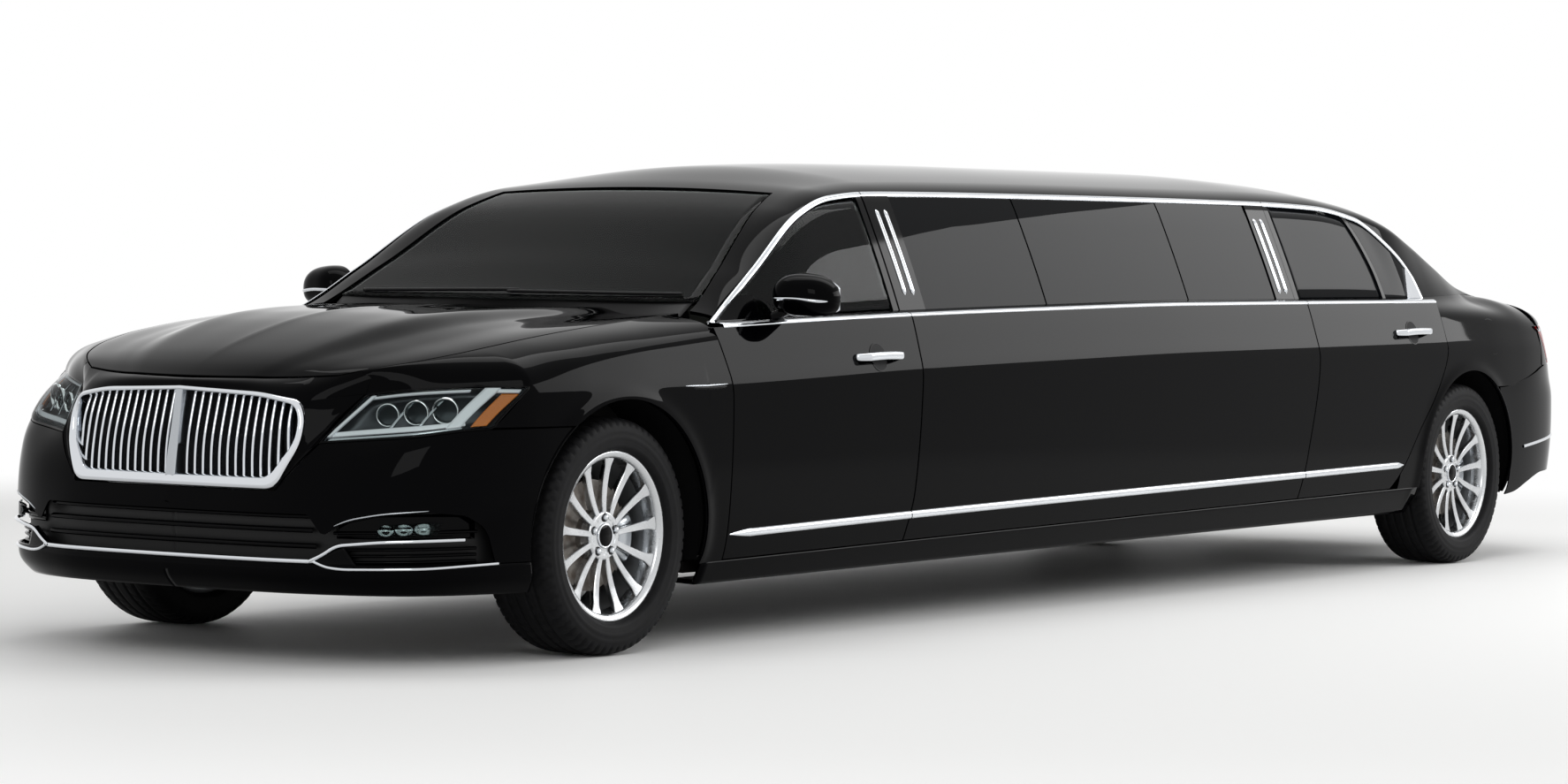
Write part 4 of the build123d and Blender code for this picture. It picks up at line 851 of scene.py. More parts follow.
lift_way = np.stack([0.05 - 0.1 * s, 0.30 + 0 * s, 0.55 + 0.4 * s], -1)
lift_way = lift_way * (1 - s[:, None] ** 3) + side_way(
    np.full(26, LAMP_END), np.full(26, 0.80)
) / 0.008 * s[:, None] ** 3
brow = bend_over(lamp_upper, lift_way, brow_end, ways(-1, 0, 0.16, s), 16)
brow[:, -1] = wing_high[:, 0]
pair(
    "front_wing_skin",
    [
        wing_low, wing_high, ear, side(strip_y, strip_z), side(strip_foot_y, strip_foot_z),
        wing_rear_high, brow
    ], paint, slot="black_paint", thickness=0.006, edge=0.0016, middle=(0.3, FRONT_AXLE, 0.5),
)
print("wing columns", len(front_columns))

# %% [markdown]
# ## Glasshouse
# Above the belt the sides lean in towards a gently crowned roof. One surface carries the
# windscreen pillars, the rails over the doors, the roof and the rear pillars: each cross
# section is a shallow arc between two straight leaning sides, rounded where they meet.

# %% Glasshouse surface
# Behind the front axle: half width at the foot, half width and height of the rail, height of the crown.
HOUSE = (
    (0.395, 0.895, 0.850, 0.950, 0.985), (0.560, 0.905, 0.830, 0.985, 1.030),
    (0.830, 0.911, 0.790, 1.125, 1.170), (1.165, 0.911, 0.722, 1.325, 1.350),
    (1.400, 0.911, 0.694, 1.388, 1.424), (1.720, 0.911, 0.685, 1.405, 1.477),
    (2.200, 0.911, 0.682, 1.410, 1.494), (2.900, 0.911, 0.682, 1.412, 1.500),
    (4.212, 0.911, 0.682, 1.412, 1.500), (4.652, 0.911, 0.690, 1.403, 1.488),
    (4.952, 0.911, 0.705, 1.375, 1.468), (5.212, 0.908, 0.730, 1.318, 1.432),
    (5.412, 0.902, 0.722, 1.250, 1.382), (5.632, 0.896, 0.706, 1.170, 1.305),
    (5.872, 0.888, 0.688, 1.085, 1.212), (6.112, 0.880, 0.672, 1.038, 1.112),
)
HOUSE_FOOT = 0.84
house_table = np.array(HOUSE)


def house_lines(y):
    """Half width at the foot, half width and height of the rail, and crown height at y."""
    return [steady(house_table[:, (0, k)], y) for k in (1, 2, 3, 4)]


def house(y, g, out=0.0):
    """Point of the glasshouse. g goes from 0 on the crown to 1 at the rail along the arc
    z = crown - (crown - rail) g^2, and to 2 at the foot along the leaning side. Near 1 the two
    are joined by a parabola through the corner."""
    y, g = np.broadcast_arrays(np.asarray(y, float), np.asarray(g, float))
    x_foot, x_rail, z_rail, z_crown = house_lines(y)

    def raw(g):
        """The arc and the leaning side, with a sharp corner between them."""
        roof = np.stack(
            [x_rail * np.minimum(g, 1), z_crown - (z_crown - z_rail) * np.minimum(g, 1) ** 2], -1
        )
        down = np.maximum(g - 1, 0)[..., None]
        lean = down * np.stack([x_foot - x_rail, HOUSE_FOOT - z_rail], -1)
        belly = 0.010 * np.sin(pi * np.clip(down, 0, 1))
        return roof + lean + belly * (1, 0)

    start, stop = 1 - 0.13, 1 + 0.07
    t = np.clip((g - start) / (stop - start), 0, 1)[..., None]
    corner = raw(
        np.full(g.shape, start)
    ) * (1 - t) ** 2 + raw(np.ones(g.shape)) * 2 * t * (1 - t) + raw(np.full(g.shape, stop)) * t**2
    flat = np.where(((g > start) & (g < stop))[..., None], corner, raw(g))
    lean_out = np.clip(g, 0, 1)
    return xyz(flat[..., 0] + out * lean_out, y, flat[..., 1] + out * (1 - 0.6 * lean_out))


def house_g(y, z):
    """g of the leaning side at height z."""
    z_rail = house_lines(y)[2]
    return 1 + (z_rail - z) / (z_rail - HOUSE_FOOT)


def window_top(y):
    """Upper edge of the side windows, where the bright strip runs."""
    return steady(
        (
            (0.52, 0.945), (0.60, 0.985), (0.85, 1.127), (1.20, 1.318), (1.40, 1.372), (1.62, 1.389),
            (2.4, 1.395), (3.4, 1.397), (4.24, 1.392), (4.65, 1.382), (4.95, 1.336), (5.136, 1.236),
            (5.265, 1.118), (5.300, 1.03),
        ), y
    )


SCREEN_TOP = 1.300
BACK_TOP, BACK_FOOT = 5.075, 6.060


def screen_half(y):
    """Half width of the windscreen."""
    return steady(((0.54, 0.735), (0.66, 0.716), (0.95, 0.640), (1.30, 0.545)), y)


def back_half(y):
    """Half width of the rear window."""
    return steady(((5.05, 0.560), (5.3, 0.580), (5.7, 0.590), (6.06, 0.590)), y)


# %% Roof and pillars
def g_of_x(y, x):
    """g on the crown arc at half width x."""
    return x / house_lines(y)[1]


def middle_half(y):
    """Half width of the part of the roof that lies between the two screens."""
    return steady(((SCREEN_TOP, 0.549), (BACK_TOP, float(back_half(BACK_TOP)) + 0.004)), y)


def rail_g(y):
    """g of the roof's outer edge, over the bright strip."""
    return np.maximum(house_g(y, window_top(y) + 0.012), 1.02)


roof_y = np.r_[
    np.linspace(SCREEN_TOP, 1.9, 26), np.linspace(1.9, 4.4, 24)[1:], np.linspace(4.4, BACK_TOP, 26)[1:]
]
inner_g = g_of_x(roof_y, middle_half(roof_y))
roof_middle = house(roof_y, ruled(0 * inner_g, inner_g, 16))
roof_side = house(roof_y, ruled(inner_g, rail_g(roof_y), 18))
post_y = np.linspace(0.60, SCREEN_TOP, 40)
post_outer = np.where(post_y < 1.25, house_g(post_y, window_top(post_y) + 0.012), rail_g(post_y))
post = house(post_y, ruled(g_of_x(post_y, screen_half(post_y) + 0.004), post_outer, 18))
rear_post_y = np.linspace(BACK_TOP, 5.30, 16)
rear_post = house(
    rear_post_y, ruled(g_of_x(rear_post_y, back_half(rear_post_y) + 0.004), rail_g(rear_post_y), 18)
)
foot_post_y = np.linspace(5.30, 6.06, 44)
foot_post_z = steady(
    ((5.30, float(window_top(5.30)) + 0.012), (5.9, 1.05), (6.05, 1.045), (6.112, 1.038)), foot_post_y
)
foot_post_g = np.clip(house_g(foot_post_y, foot_post_z), 1.0, 2.0)
foot_post = house(
    foot_post_y, ruled(g_of_x(foot_post_y, back_half(foot_post_y) + 0.004), foot_post_g, 18)
)
left_half = [roof_middle, roof_side, post, rear_post, foot_post]
piece("roof_skin", both(*left_half), paint, slot="black_paint", middle=(0, 0, 1.0),
      thickness=0.012, edge=0.0016)
print("roof columns", len(roof_y))

# %% Rear quarters
QUARTER_END = 6.222  # front edge of the tail lamp
BUMPER_SEAM = ((5.60, 0.690), (5.887, 0.688), (6.05, 0.716), (6.25, 0.765), (6.45, 0.770))


def bumper_seam(y):
    """Height of the joint between the rear quarter and the bumper."""
    return steady(BUMPER_SEAM, y)


def rear_crest(y):
    """Height at which the rear quarter starts to roll over."""
    return steady(
        ((5.0, 0.965), (5.3, 0.965), (5.8, 0.945), (6.05, 0.925), (6.222, 0.905), (6.6, 0.88)), y
    )


def deck_edge(y):
    """The boot lid's side shut line, x and z, carried forward under the rear pillar."""
    return steady(((5.9, 0.700), (6.1, 0.672), (6.3, 0.655), (6.62, 0.600)), y), steady(
        ((5.9, 1.052), (6.1, 1.036), (6.25, 1.020), (6.40, 0.992), (6.50, 0.958), (6.56, 0.915)), y
    )


REAR_ROWS = 16


def quarter_foot(y):
    """Lower edge of the rear quarter: the wheel arch, then the joint with the bumper."""
    arch_end = WHEELBASE + np.sqrt(ARCH_RADIUS**2 - (float(bumper_seam(5.85)) - AXLE_HEIGHT) ** 2)
    return np.where(y < arch_end, arch_z(y, WHEELBASE), bumper_seam(y) + GAP / 2)


rear_line_z = np.linspace(0.36, 0.845, 60)
rear_line_y = rear_door_rear_line(rear_line_z) + half
dog_leg = np.linspace(float(rear_door_rear_line(0.37)) + half, WHEELBASE - ARCH_RADIUS, 14)
dog_high = np.interp(dog_leg, rear_line_y, rear_line_z)
dog = side(dog_leg, ruled(np.full(14, float(door_foot(5.0)) - half), dog_high, REAR_ROWS))
turn = np.linspace(0, pi, 80)
arch_columns = WHEELBASE - ARCH_RADIUS * np.cos(turn)
under_door = arch_columns[arch_columns < rear_line_y[-1]]
under_door = np.r_[under_door, rear_line_y[-1]]
low_door = side(
    under_door,
    ruled(arch_z(under_door, WHEELBASE), np.interp(under_door, rear_line_y, rear_line_z), REAR_ROWS)
)
behind = np.r_[
    rear_line_y[-1], arch_columns[(arch_columns > rear_line_y[-1] + 0.004)],
    np.linspace(5.93, QUARTER_END, 14)
]
behind_foot = quarter_foot(behind)
split = np.maximum(0.845, behind_foot + 0.02)
low_quarter = side(behind, ruled(behind_foot, split, REAR_ROWS))
high_quarter = side(behind, ruled(split, rear_crest(behind), 8))
pillar_end = house(np.minimum(behind, 6.06), np.interp(behind, foot_post_y, foot_post_g))
deck_x, deck_z = deck_edge(behind)
deck_end = xyz(deck_x + GAP, behind, deck_z)
blend_back = smooth(5.80, 6.06, behind)[:, None]
shoulder_end = pillar_end * (1 - blend_back) + deck_end * blend_back
end_way = np.stack([-1 + 0 * behind, 0 * behind, 1.3 * (1 - blend_back[:, 0]) + 0.05], -1)
shoulder = bend_over(
    side(behind, rear_crest(behind)), side_way(behind, rear_crest(behind)), shoulder_end, end_way, 16
)
pair(
    "rear_quarter_skin", [dog, low_door, low_quarter, high_quarter, shoulder], paint, slot="black_paint",
    thickness=0.006, edge=0.0016, middle=(0.3, FRONT_AXLE + 5.5, 0.5),
)

print("rear quarter columns", len(behind))

# %% [markdown]
# ## Bonnet
# The bonnet is a crowned sheet with a faint ridge down its middle and a raised centre, whose
# two edges fan out from the grille to the windscreen. It could be pulled from a subdivided
# plane by hand, but as a formula of crown, ridge and trough it meets the wings exactly.

# %% Bonnet skin
BONNET_MID = (
    (-0.862, 0.812), (-0.80, 0.850), (-0.70, 0.893), (-0.52, 0.947), (-0.36, 0.982), (-0.20, 1.003),
    (0.0, 1.014), (0.3, 1.018), (0.612, 1.014)
)
NOSE_Y, COWL_Y = -0.860, 0.612


def bonnet_point(u, v, drop=0.0):
    """u runs from -1 to 1 between the side shut lines and v from 0 at the nose to 1 at the
    cowl. Height: middle height, less crown u^2.2, less a ridge that falls off within 60 mm, less
    a trough outside the raised centre."""
    side_y = BONNET_SIDE[0, 1] + (BONNET_SIDE[-1, 1] - BONNET_SIDE[0, 1]) * v
    side_x, side_z = bonnet_edge(side_y)
    mid_y = NOSE_Y + (COWL_Y - NOSE_Y) * v
    mid_z = steady(BONNET_MID, mid_y)
    w = np.abs(u)
    x = u * side_x
    y = side_y + (mid_y - side_y) * (1 - w**2)
    crown = mid_z - (mid_z - side_z) * w**2.2
    ridge = 0.0045 * (1 - np.exp(-np.abs(x) / 0.05)) * (1 - w) * smooth(0, 0.2, v)
    edge = 0.60 - 0.10 * (1 - v)
    trough = 0.013 * smooth(
        edge - 0.07, edge + 0.10, w
    ) * (1 - smooth(0.74, 1.0, w)) * smooth(-0.1, 0.35, v)
    dome = 0.006 * np.exp(-(((w - edge + 0.06) / 0.12) ** 2)) * smooth(0, 0.4, v)
    return xyz(x, y, crown - ridge - trough + dome - drop)


inset_edge = 1 - GAP / 0.75
bonnet_u, bonnet_v = np.meshgrid(np.linspace(-inset_edge, inset_edge, 97), np.linspace(0.004, 0.997, 60))
piece(
    "bonnet_skin", [bonnet_point(bonnet_u, bonnet_v)], paint, "bonnet", "black_paint", outward=(0, 0, 1),
    thickness=0.012, edge=0.002,
)
inner_u, inner_v = np.meshgrid(np.linspace(-0.9, 0.9, 60), np.linspace(0.05, 0.93, 40))
pads = 0.006 * np.abs(np.sin(inner_u * 9)) * np.abs(np.sin(inner_v * 9))
piece(
    "bonnet_insulation", [bonnet_point(inner_u, inner_v, 0.020) - pads[..., None] * (0, 0, 1)], felt,
    "bonnet", outward=(0, 0, -1), thickness=0.005
)

# %% [markdown]
# ## Front bumper cover
# One moulded cover wraps from wheel arch to wheel arch. Its plan is a curve drawn round the
# nose, and the section at each place along that curve leans back by its own amount, so a point
# is the plan curve moved inwards along its own normal.

# %% Nose surface
NOSE_PLAN = (
    (0, -0.950), (0.15, -0.9475), (0.30, -0.940), (0.42, -0.925), (0.50, -0.906), (0.58, -0.880),
    (0.65, -0.848), (0.76, -0.770), (0.84, -0.655), (0.8885, -0.520), (0.9213, -0.380), (0.9395, -0.220),
    (0.9475, -0.120),
)
NOSE_HEIGHTS = (0.204, 0.242, 0.300, 0.360, 0.430, 0.500, 0.570, 0.640, 0.700, 0.780)
# Half width of the plan, then the inset there at each height.
NOSE_INSETS = (
    (0.0000, 0.050, 0.012, 0.004, 0.002, 0.000, 0.018, 0.030, 0.042, 0.052, 0.064),
    (0.3000, 0.050, 0.012, 0.004, 0.002, 0.000, 0.018, 0.030, 0.042, 0.053, 0.068),
    (0.4600, 0.050, 0.012, 0.004, 0.001, 0.000, 0.014, 0.028, 0.048, 0.062, 0.090),
    (0.6000, 0.050, 0.014, 0.004, 0.000, 0.000, 0.008, 0.024, 0.062, 0.110, 0.170),
    (0.7600, 0.050, 0.014, 0.004, 0.000, 0.000, 0.003, 0.012, 0.036, 0.080, 0.130),
    (0.8805, 0.048, 0.014, 0.006, 0.002, 0.000, 0.000, 0.001, 0.003, 0.006, 0.020),
    (0.9213, 0.046, 0.018, 0.009, 0.004, 0.001, 0.000, 0.000, 0.000, 0.001, 0.007),
    (0.9380, 0.046, 0.020, 0.011, 0.005, 0.002, 0.000, 0.000, 0.000, 0.001, 0.006),
)


def body_end(plan, heights, insets, sign):
    """Surface round one end of the car. A point is the plan curve at run, from 0 in the middle
    to 1 at the last point, moved inwards along its normal by the inset at z, less out. The
    inset is a spline over the height and over the run: the product of their two bases."""
    drawn, run_all = along(plan, 800), np.linspace(0, 1, 800)
    table = np.array(insets)
    slope = np.gradient(drawn, axis=0)
    slope /= np.linalg.norm(slope, axis=1, keepdims=True)

    def at_x(x):
        """Run at which the plan is x wide."""
        return np.interp(x, drawn[:, 0], run_all)

    def at_y(y):
        """Run at which the plan reaches y."""
        return np.interp(sign * np.asarray(y), sign * drawn[:, 1], run_all)

    places = at_x(table[:, 0])

    def surface(run, z, out=0.0):
        """Point of the end, moved outwards by out."""
        run, z = np.broadcast_arrays(np.asarray(run, float), np.asarray(z, float))
        across = spline(places, np.eye(len(places)), run)
        up = spline(heights, table[:, 1:].T, np.clip(z, heights[0], heights[-1]))
        inset = (across * up).sum(axis=-1) - out
        place = np.stack([np.interp(run, run_all, c) for c in drawn.T], -1)
        way = np.stack([np.interp(run, run_all, c) for c in slope.T], -1)
        inward = sign * np.stack([-way[..., 1], way[..., 0]], -1)
        place = place + inward * inset[..., None]
        return xyz(place[..., 0], place[..., 1], z)

    return surface, at_x, at_y


nose, run_at_x, run_at_y = body_end(NOSE_PLAN, NOSE_HEIGHTS, NOSE_INSETS, 1)
print("nose at the middle", np.round(nose(0.0, 0.43), 3))


# %% Outlines of the openings
def rounded(points, radius, steps=8):
    """Open line through points with each inner corner cut back by radius and joined by a
    parabola through it."""
    p = np.asarray(points, float)
    t = np.linspace(0, 1, steps)[:, None]
    parts = [p[:1]]
    for before, corner, after in zip(p[:-2], p[1:-1], p[2:]):
        a, b = before - corner, after - corner
        cut = min(radius, 0.45 * np.linalg.norm(a), 0.45 * np.linalg.norm(b))
        a = corner + a / np.linalg.norm(a) * cut
        b = corner + b / np.linalg.norm(b) * cut
        parts.append(a * (1 - t) ** 2 + corner * 2 * t * (1 - t) + b * t**2)
    return np.concatenate([*parts, p[-1:]])


def evenly(points, count):
    """The same line as count points, evenly spaced along it."""
    run = np.r_[0, np.cumsum(np.linalg.norm(np.diff(points, axis=0), axis=1))]
    at = np.linspace(0, run[-1], count)
    return np.stack([np.interp(at, run, c) for c in np.asarray(points).T], -1)


GRILLE_OUTER = (
    (0, 0.500), (0.388, 0.500), (0.458, 0.630), (0.463, 0.705), (0.440, 0.757), (0.30, 0.778), (0, 0.789)
)
GRILLE_INNER = (
    (0, 0.537), (0.362, 0.537), (0.436, 0.640), (0.442, 0.702), (0.424, 0.742), (0.30, 0.762), (0, 0.774)
)
grille_outer = evenly(rounded(GRILLE_OUTER, 0.036), 90)
grille_inner = evenly(rounded(GRILLE_INNER, 0.034), 90)


def on_nose(outline, out=0.0):
    """Points of an outline seen from ahead, (x, z), laid on the nose surface."""
    return nose(run_at_x(np.asarray(outline)[..., 0]), np.asarray(outline)[..., 1], out)


LAMP_IN_LOW = (0.513, 0.636)
LAMP_OUT_LOW = -0.545
run_lamp_in, run_lamp_out = run_at_x(LAMP_IN_LOW[0]), run_at_y(LAMP_OUT_LOW)
run_arch = run_at_y(ahead[-1])
NOSE_INSIDE, HEADLAMP_INSIDE = (0.2, FRONT_AXLE - 0.3, 0.30), (0.3, FRONT_AXLE - 0.2, 0.6)


def lamp_low_z(run):
    """Lower edge of the headlamp, and the joint between bumper and wing behind it."""
    return steady(
        ((run_lamp_in, 0.636), (run_at_x(0.76), 0.655), (run_lamp_out, 0.680), (run_arch, 0.682)), run
    )


def to_arch(run, z):
    """Draws the places behind the fog lamp together, so that the last one lies on the arch."""
    split = run_at_y(-0.50)
    last = run_at_y(-np.sqrt(ARCH_RADIUS**2 - (np.asarray(z) - AXLE_HEIGHT) ** 2))
    return np.where(run > split, split + (run - split) * (last - split) / (run_arch - split), run)


cover_run = np.unique(
    np.r_[
        np.linspace(0, run_at_x(0.388), 24), np.linspace(run_at_x(0.388), run_lamp_in, 14),
        np.linspace(run_lamp_in, run_arch, 64)
    ]
)
POCKET = (
    (0.50, 0.436), (0.545, 0.376), (0.60, 0.412), (0.70, 0.436), (0.80, 0.446), (0.852, 0.436),
    (0.872, 0.405), (0.881, 0.360), (0.884, 0.300), (0.890, 0.2985), (0.97, 0.2985)
)
pocket_table = np.array([(float(run_at_x(x)), z) for x, z in POCKET])
cover_top = np.where(
    cover_run <= run_lamp_in,
    np.interp(cover_run, (0, run_at_x(0.388), run_lamp_in), (0.500, 0.500, 0.636)), lamp_low_z(cover_run),
) - GAP / 2
pocket_edge = np.interp(cover_run, np.r_[0, pocket_table[:, 0]], np.r_[0.436, pocket_table[:, 1]])
cover_z = ruled(pocket_edge, cover_top, 22)
cover_upper = nose(to_arch(cover_run, cover_z), cover_z)
cheek_t = np.linspace(0, 1, 24)
lower_corner, upper_corner = (
    np.argmin(np.hypot(*(grille_outer - corner).T)) for corner in ((0.388, 0.500), (0.440, 0.757))
)
cheek_in = evenly(grille_outer[lower_corner : upper_corner + 1], 24)
cheek_in[0] = (0.388, 0.500)
lamp_inner_edge = ruled(on_nose(LAMP_IN_LOW), np.array(LAMP_TOP[0]) + (0, FRONT_AXLE, 0), 24)
lamp_inner_edge = lamp_inner_edge + np.sin(pi * cheek_t)[:, None] * (-0.004, -0.004, 0.004)
cheek = np.stack(
    [on_nose(cheek_in) * (1 - t) + (lamp_inner_edge + (-0.003, 0, 0)) * t for t in np.linspace(0, 1, 14)]
)
cheek += (np.sin(pi * np.linspace(0, 1, 14)) * 0.006)[:, None, None] * (0, -1, 0)
nose_low = np.concatenate(
    [
        on_nose(grille_outer[upper_corner:][::-1]),
        ruled(on_nose(grille_outer[upper_corner]), lamp_inner_edge[-1], 12)[1:]
    ]
)
lead = bonnet_point(np.linspace(0, 1, 60), np.zeros(60)) + (0, -0.003, -0.003)
lead_side = bonnet_point(np.ones(12), np.linspace(0, 0.055, 12)) + (0.004, 0, -0.001)
nose_high = np.concatenate([lead, lead_side[1:]])
nose_low, nose_high = evenly(nose_low, 80), evenly(nose_high, 80)
brow_t = np.linspace(0, 1, 12)[:, None, None]
nose_band = nose_low * (1 - brow_t) + nose_high * brow_t + np.sin(pi * brow_t) * (0, -0.006, 0.004)
piece(
    "front_bumper_cover", both(cover_upper, cheek, nose_band), paint, slot="black_paint", thickness=0.005,
    edge=0.0015, middle=(0, FRONT_AXLE - 0.3, 0.55)
)
lip_run = np.linspace(0, run_arch, 110)
lip_z = level_rows(0.206, 0.2955, 110, 12)
lip = nose(to_arch(lip_run, lip_z), lip_z)
apron = nose(
    to_arch(lip_run, 0.206), level_rows(0.196, 0.206, 110, 3), out=level_rows(-0.12, 0.0, 110, 3)
)
piece(
    "front_bumper_lip", both(np.concatenate([apron[:-1], lip])), paint, slot="black_paint",
    thickness=0.004, middle=(0, FRONT_AXLE - 0.3, 0.30)
)
recess_run = np.linspace(0, run_at_x(0.893), 90)
recess = nose(recess_run, level_rows(0.285, 0.465, 90, 10), out=-0.040)
pair("bumper_recess", [recess], moulded, thickness=0.003, middle=(0.2, FRONT_AXLE - 0.3, 0.37))
print("bumper grids", cover_upper.shape, cheek.shape, nose_band.shape)


# %% [markdown]
# Bright strips, seals and mouldings are all the same thing to a modeller: a small half-round
# section carried along a line on the body. One function does that for all of them.

# %% Moulding along a line
def frame_along(path):
    """Unit direction along a path of points."""
    way = np.gradient(path, axis=0)
    return way / np.linalg.norm(way, axis=1, keepdims=True)


def moulding(path, outwards, width, proud, sides=9, taper=0.0, sink=0.001, power=0.7):
    """Section carried along path: half an ellipse, width across and proud high, standing on
    the surface whose outward direction is given. The width shrinks to nothing over the part
    taper of the length at each end."""
    path = np.asarray(path, float)
    along_way = frame_along(path)
    out = np.broadcast_to(np.asarray(outwards, float), path.shape)
    out = out - (out * along_way).sum(1, keepdims=True) * along_way
    out = out / np.linalg.norm(out, axis=1, keepdims=True)
    across = np.cross(along_way, out)
    a = np.linspace(0, pi, sides)[None, :, None]
    run = np.linspace(0, 1, len(path))
    size = np.clip(np.minimum(run, 1 - run) / taper, 0, 1) if taper else np.ones(len(path))
    size = (np.sqrt(1 - (1 - size) ** 2) if taper else size)[:, None, None] + 1e-4
    high = bent(np.sin(a), power)
    return path[:, None] + size * (
        across[:, None] * np.cos(a) * width / 2 + out[:, None] * (high * proud)
    ) - out[:, None] * sink


def outwards_of(surface, run, z):
    """Outward direction of a surface at points: where it goes when it is offset a little."""
    n = surface(run, z, 0.01) - surface(run, z, 0.0)
    return n / np.linalg.norm(n, axis=-1, keepdims=True)


def nose_strip(points, count, width, proud, out=0.0, **how):
    """Moulding on the nose along (x, z) points."""
    line_xz = evenly(rounded(points, 0.03), count)
    run = run_at_x(line_xz[:, 0])
    return moulding(
        nose(run, line_xz[:, 1], out), outwards_of(nose, run, line_xz[:, 1]), width, proud, **how
    )


chrome_line = nose_strip(((0, 0.303), (0.505, 0.303), (0.525, 0.306)), 90, 0.013, 0.007)
pocket_upper = nose_strip(
    ((0.505, 0.303), (0.545, 0.322), (0.585, 0.350), (0.70, 0.362), (0.850, 0.368)), 90, 0.011, 0.008,
    out=0.001
)
pocket_lower = nose_strip(
    ((0.518, 0.303), (0.555, 0.288), (0.60, 0.283), (0.80, 0.287), (0.888, 0.297)), 90, 0.009, 0.007,
    out=0.001
)
# This thin tapered satin bright strip along the brow over the fog lamp pocket is a painted highlight: it
# stands for the light caught on the edge of the paint there.
pocket_brow_highlight_line = nose_strip(
    ((0.575, 0.404), (0.62, 0.424), (0.70, 0.441), (0.80, 0.451)), 60, 0.005, 0.004, taper=0.3
)
pair(
    "bumper_bright_line", [chrome_line, pocket_upper, pocket_lower], chrome, slot="chrome",
    middle=NOSE_INSIDE
)
pair("bumper_brow_painted_highlight", [pocket_brow_highlight_line], satin_chrome, middle=NOSE_INSIDE)
pair(
    "intake_slats",
    [
        nose_strip(((0, z), (w, z)), 60, 0.016, 0.016, out=-0.030, sides=11)
        for z, w in ((0.345, 0.52), (0.390, 0.51), (0.430, 0.50))
    ], gloss_black, middle=NOSE_INSIDE
)
pair(
    "pocket_slats",
    [
        nose_strip(((0.57, z), (0.87, z + 0.006)), 50, 0.010, 0.012, out=-0.030, sides=9)
        for z in (0.300, 0.318, 0.336, 0.384)
    ], gloss_black, middle=NOSE_INSIDE
)
wedge_a = evenly(np.array(((0.500, 0.300), (0.545, 0.322), (0.600, 0.352))), 20)
wedge_b = evenly(np.array(((0.500, 0.298), (0.555, 0.290), (0.640, 0.287))), 20)
pair(
    "pocket_wedge",
    [
        nose(
            run_at_x(ruled(wedge_a[:, 0], wedge_b[:, 0], 6)), ruled(wedge_a[:, 1], wedge_b[:, 1], 6),
            -0.001
        )
    ], gloss_black, thickness=0.02, middle=NOSE_INSIDE
)

# %% [markdown]
# ## Grille
# The grille is a chromed frame, thick along its foot, round two sets of upright bars that bow
# forwards. Each bar is a thin blade with a rounded bright front. The wider bar in the middle
# is plain.

# %% Grille
ring_outer = np.concatenate([grille_outer * (-1, 1), grille_outer[::-1][1:]])
ring_inner = np.concatenate([grille_inner * (-1, 1), grille_inner[::-1][1:]])


def signed(outline, out):
    """Outline with both signs of x laid on the nose."""
    return on_its_side(on_nose(np.abs(outline), out), outline[..., 0])


across = np.linspace(0, 1, 13)
profile = 0.011 * np.sin(pi * across) ** 0.6 - 0.012 * (across > 0.98) - 0.004 * (across < 0.02)
surround = np.stack([signed(ring_outer * (1 - w) + ring_inner * w, h) for w, h in zip(across, profile)])
deep = signed(ring_inner * (0.99, 1), -0.045)
piece(
    "grille_surround", [np.concatenate([surround, deep[None]])], chrome, slot="chrome", outward=(0, -1, 0)
)
BARS = 13
BAR_PITCH = 0.0303
upper_of = line(*[(x, z) for x, z in grille_inner[::-1] if z > 0.70])
lower_of = line(*[(x, z) for x, z in grille_inner if z <= 0.66])


def grille_bar(x, width=0.0088, depth=0.034):
    """Blade that stands between the frame's edges at x: a rounded front, carried upwards and
    bowed forwards by a sine over its height, fanning out a little towards the foot."""
    z = np.linspace(float(lower_of(x)) - 0.004, float(upper_of(x)) + 0.004, 26)
    t = np.linspace(0, 1, 26)
    foot_x = x + 0.006 * (x / 0.4) * (1 - t)
    spine = on_nose(np.stack([foot_x, z], -1), -0.024) + (np.sin(pi * t) * -0.010)[:, None] * (0, 1, 0)
    a = np.linspace(-0.5 * pi, 1.5 * pi, 12, endpoint=False)
    x_off = width / 2 * np.cos(a)
    y_off = np.where(np.sin(a) > 0, depth * 0.9 * np.sin(a), 0.006 * np.sin(a))
    return spine[:, None] + np.stack([x_off, y_off, 0 * a], -1)


bar_places = 0.030 + BAR_PITCH * (np.arange(BARS) + 0.35)
bars = [grille_bar(x) for x in bar_places]
bar_grids = bars + [g * (-1, 1, 1) for g in bars]
piece("grille_bars", bar_grids, chrome, slot="chrome", around=True, middle=(0, FRONT_AXLE - 0.6, 0.65))
bar_z = np.linspace(0.530, 0.779, 24)
bar_half = 0.0165 + 0.002 * np.cos(np.linspace(0, pi, 24))
centre_bar = np.stack(
    [
        signed(np.stack([f * bar_half, bar_z], -1), h) for f, h in (
            (-1, -0.03), (-1, 0.004), (-0.8, 0.009), (-0.3, 0.0075), (0.3, 0.0075), (0.8, 0.009),
            (1, 0.004), (1, -0.03)
        )
    ]
)
piece("grille_centre_bar", [centre_bar], satin_chrome, slot="chrome", outward=(0, -1, 0), sharp=35)
back_x = np.linspace(-0.455, 0.455, 40)
backing = np.stack(
    [signed(np.stack([back_x, np.full(40, z)], -1), -0.075) for z in np.linspace(0.51, 0.785, 12)]
)
piece("grille_backing", [backing], moulded, slot="chrome", outward=(0, -1, 0))
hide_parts("grille")
print("grille bars", len(bar_grids))

# %% [markdown]
# ## Headlamps
# Under a clear lens sits a smoked bowl with three projector barrels, a white light guide along
# its foot and up its outer end, and an amber side reflector. The lens is a Coons patch: the
# sheet that its four edges span.

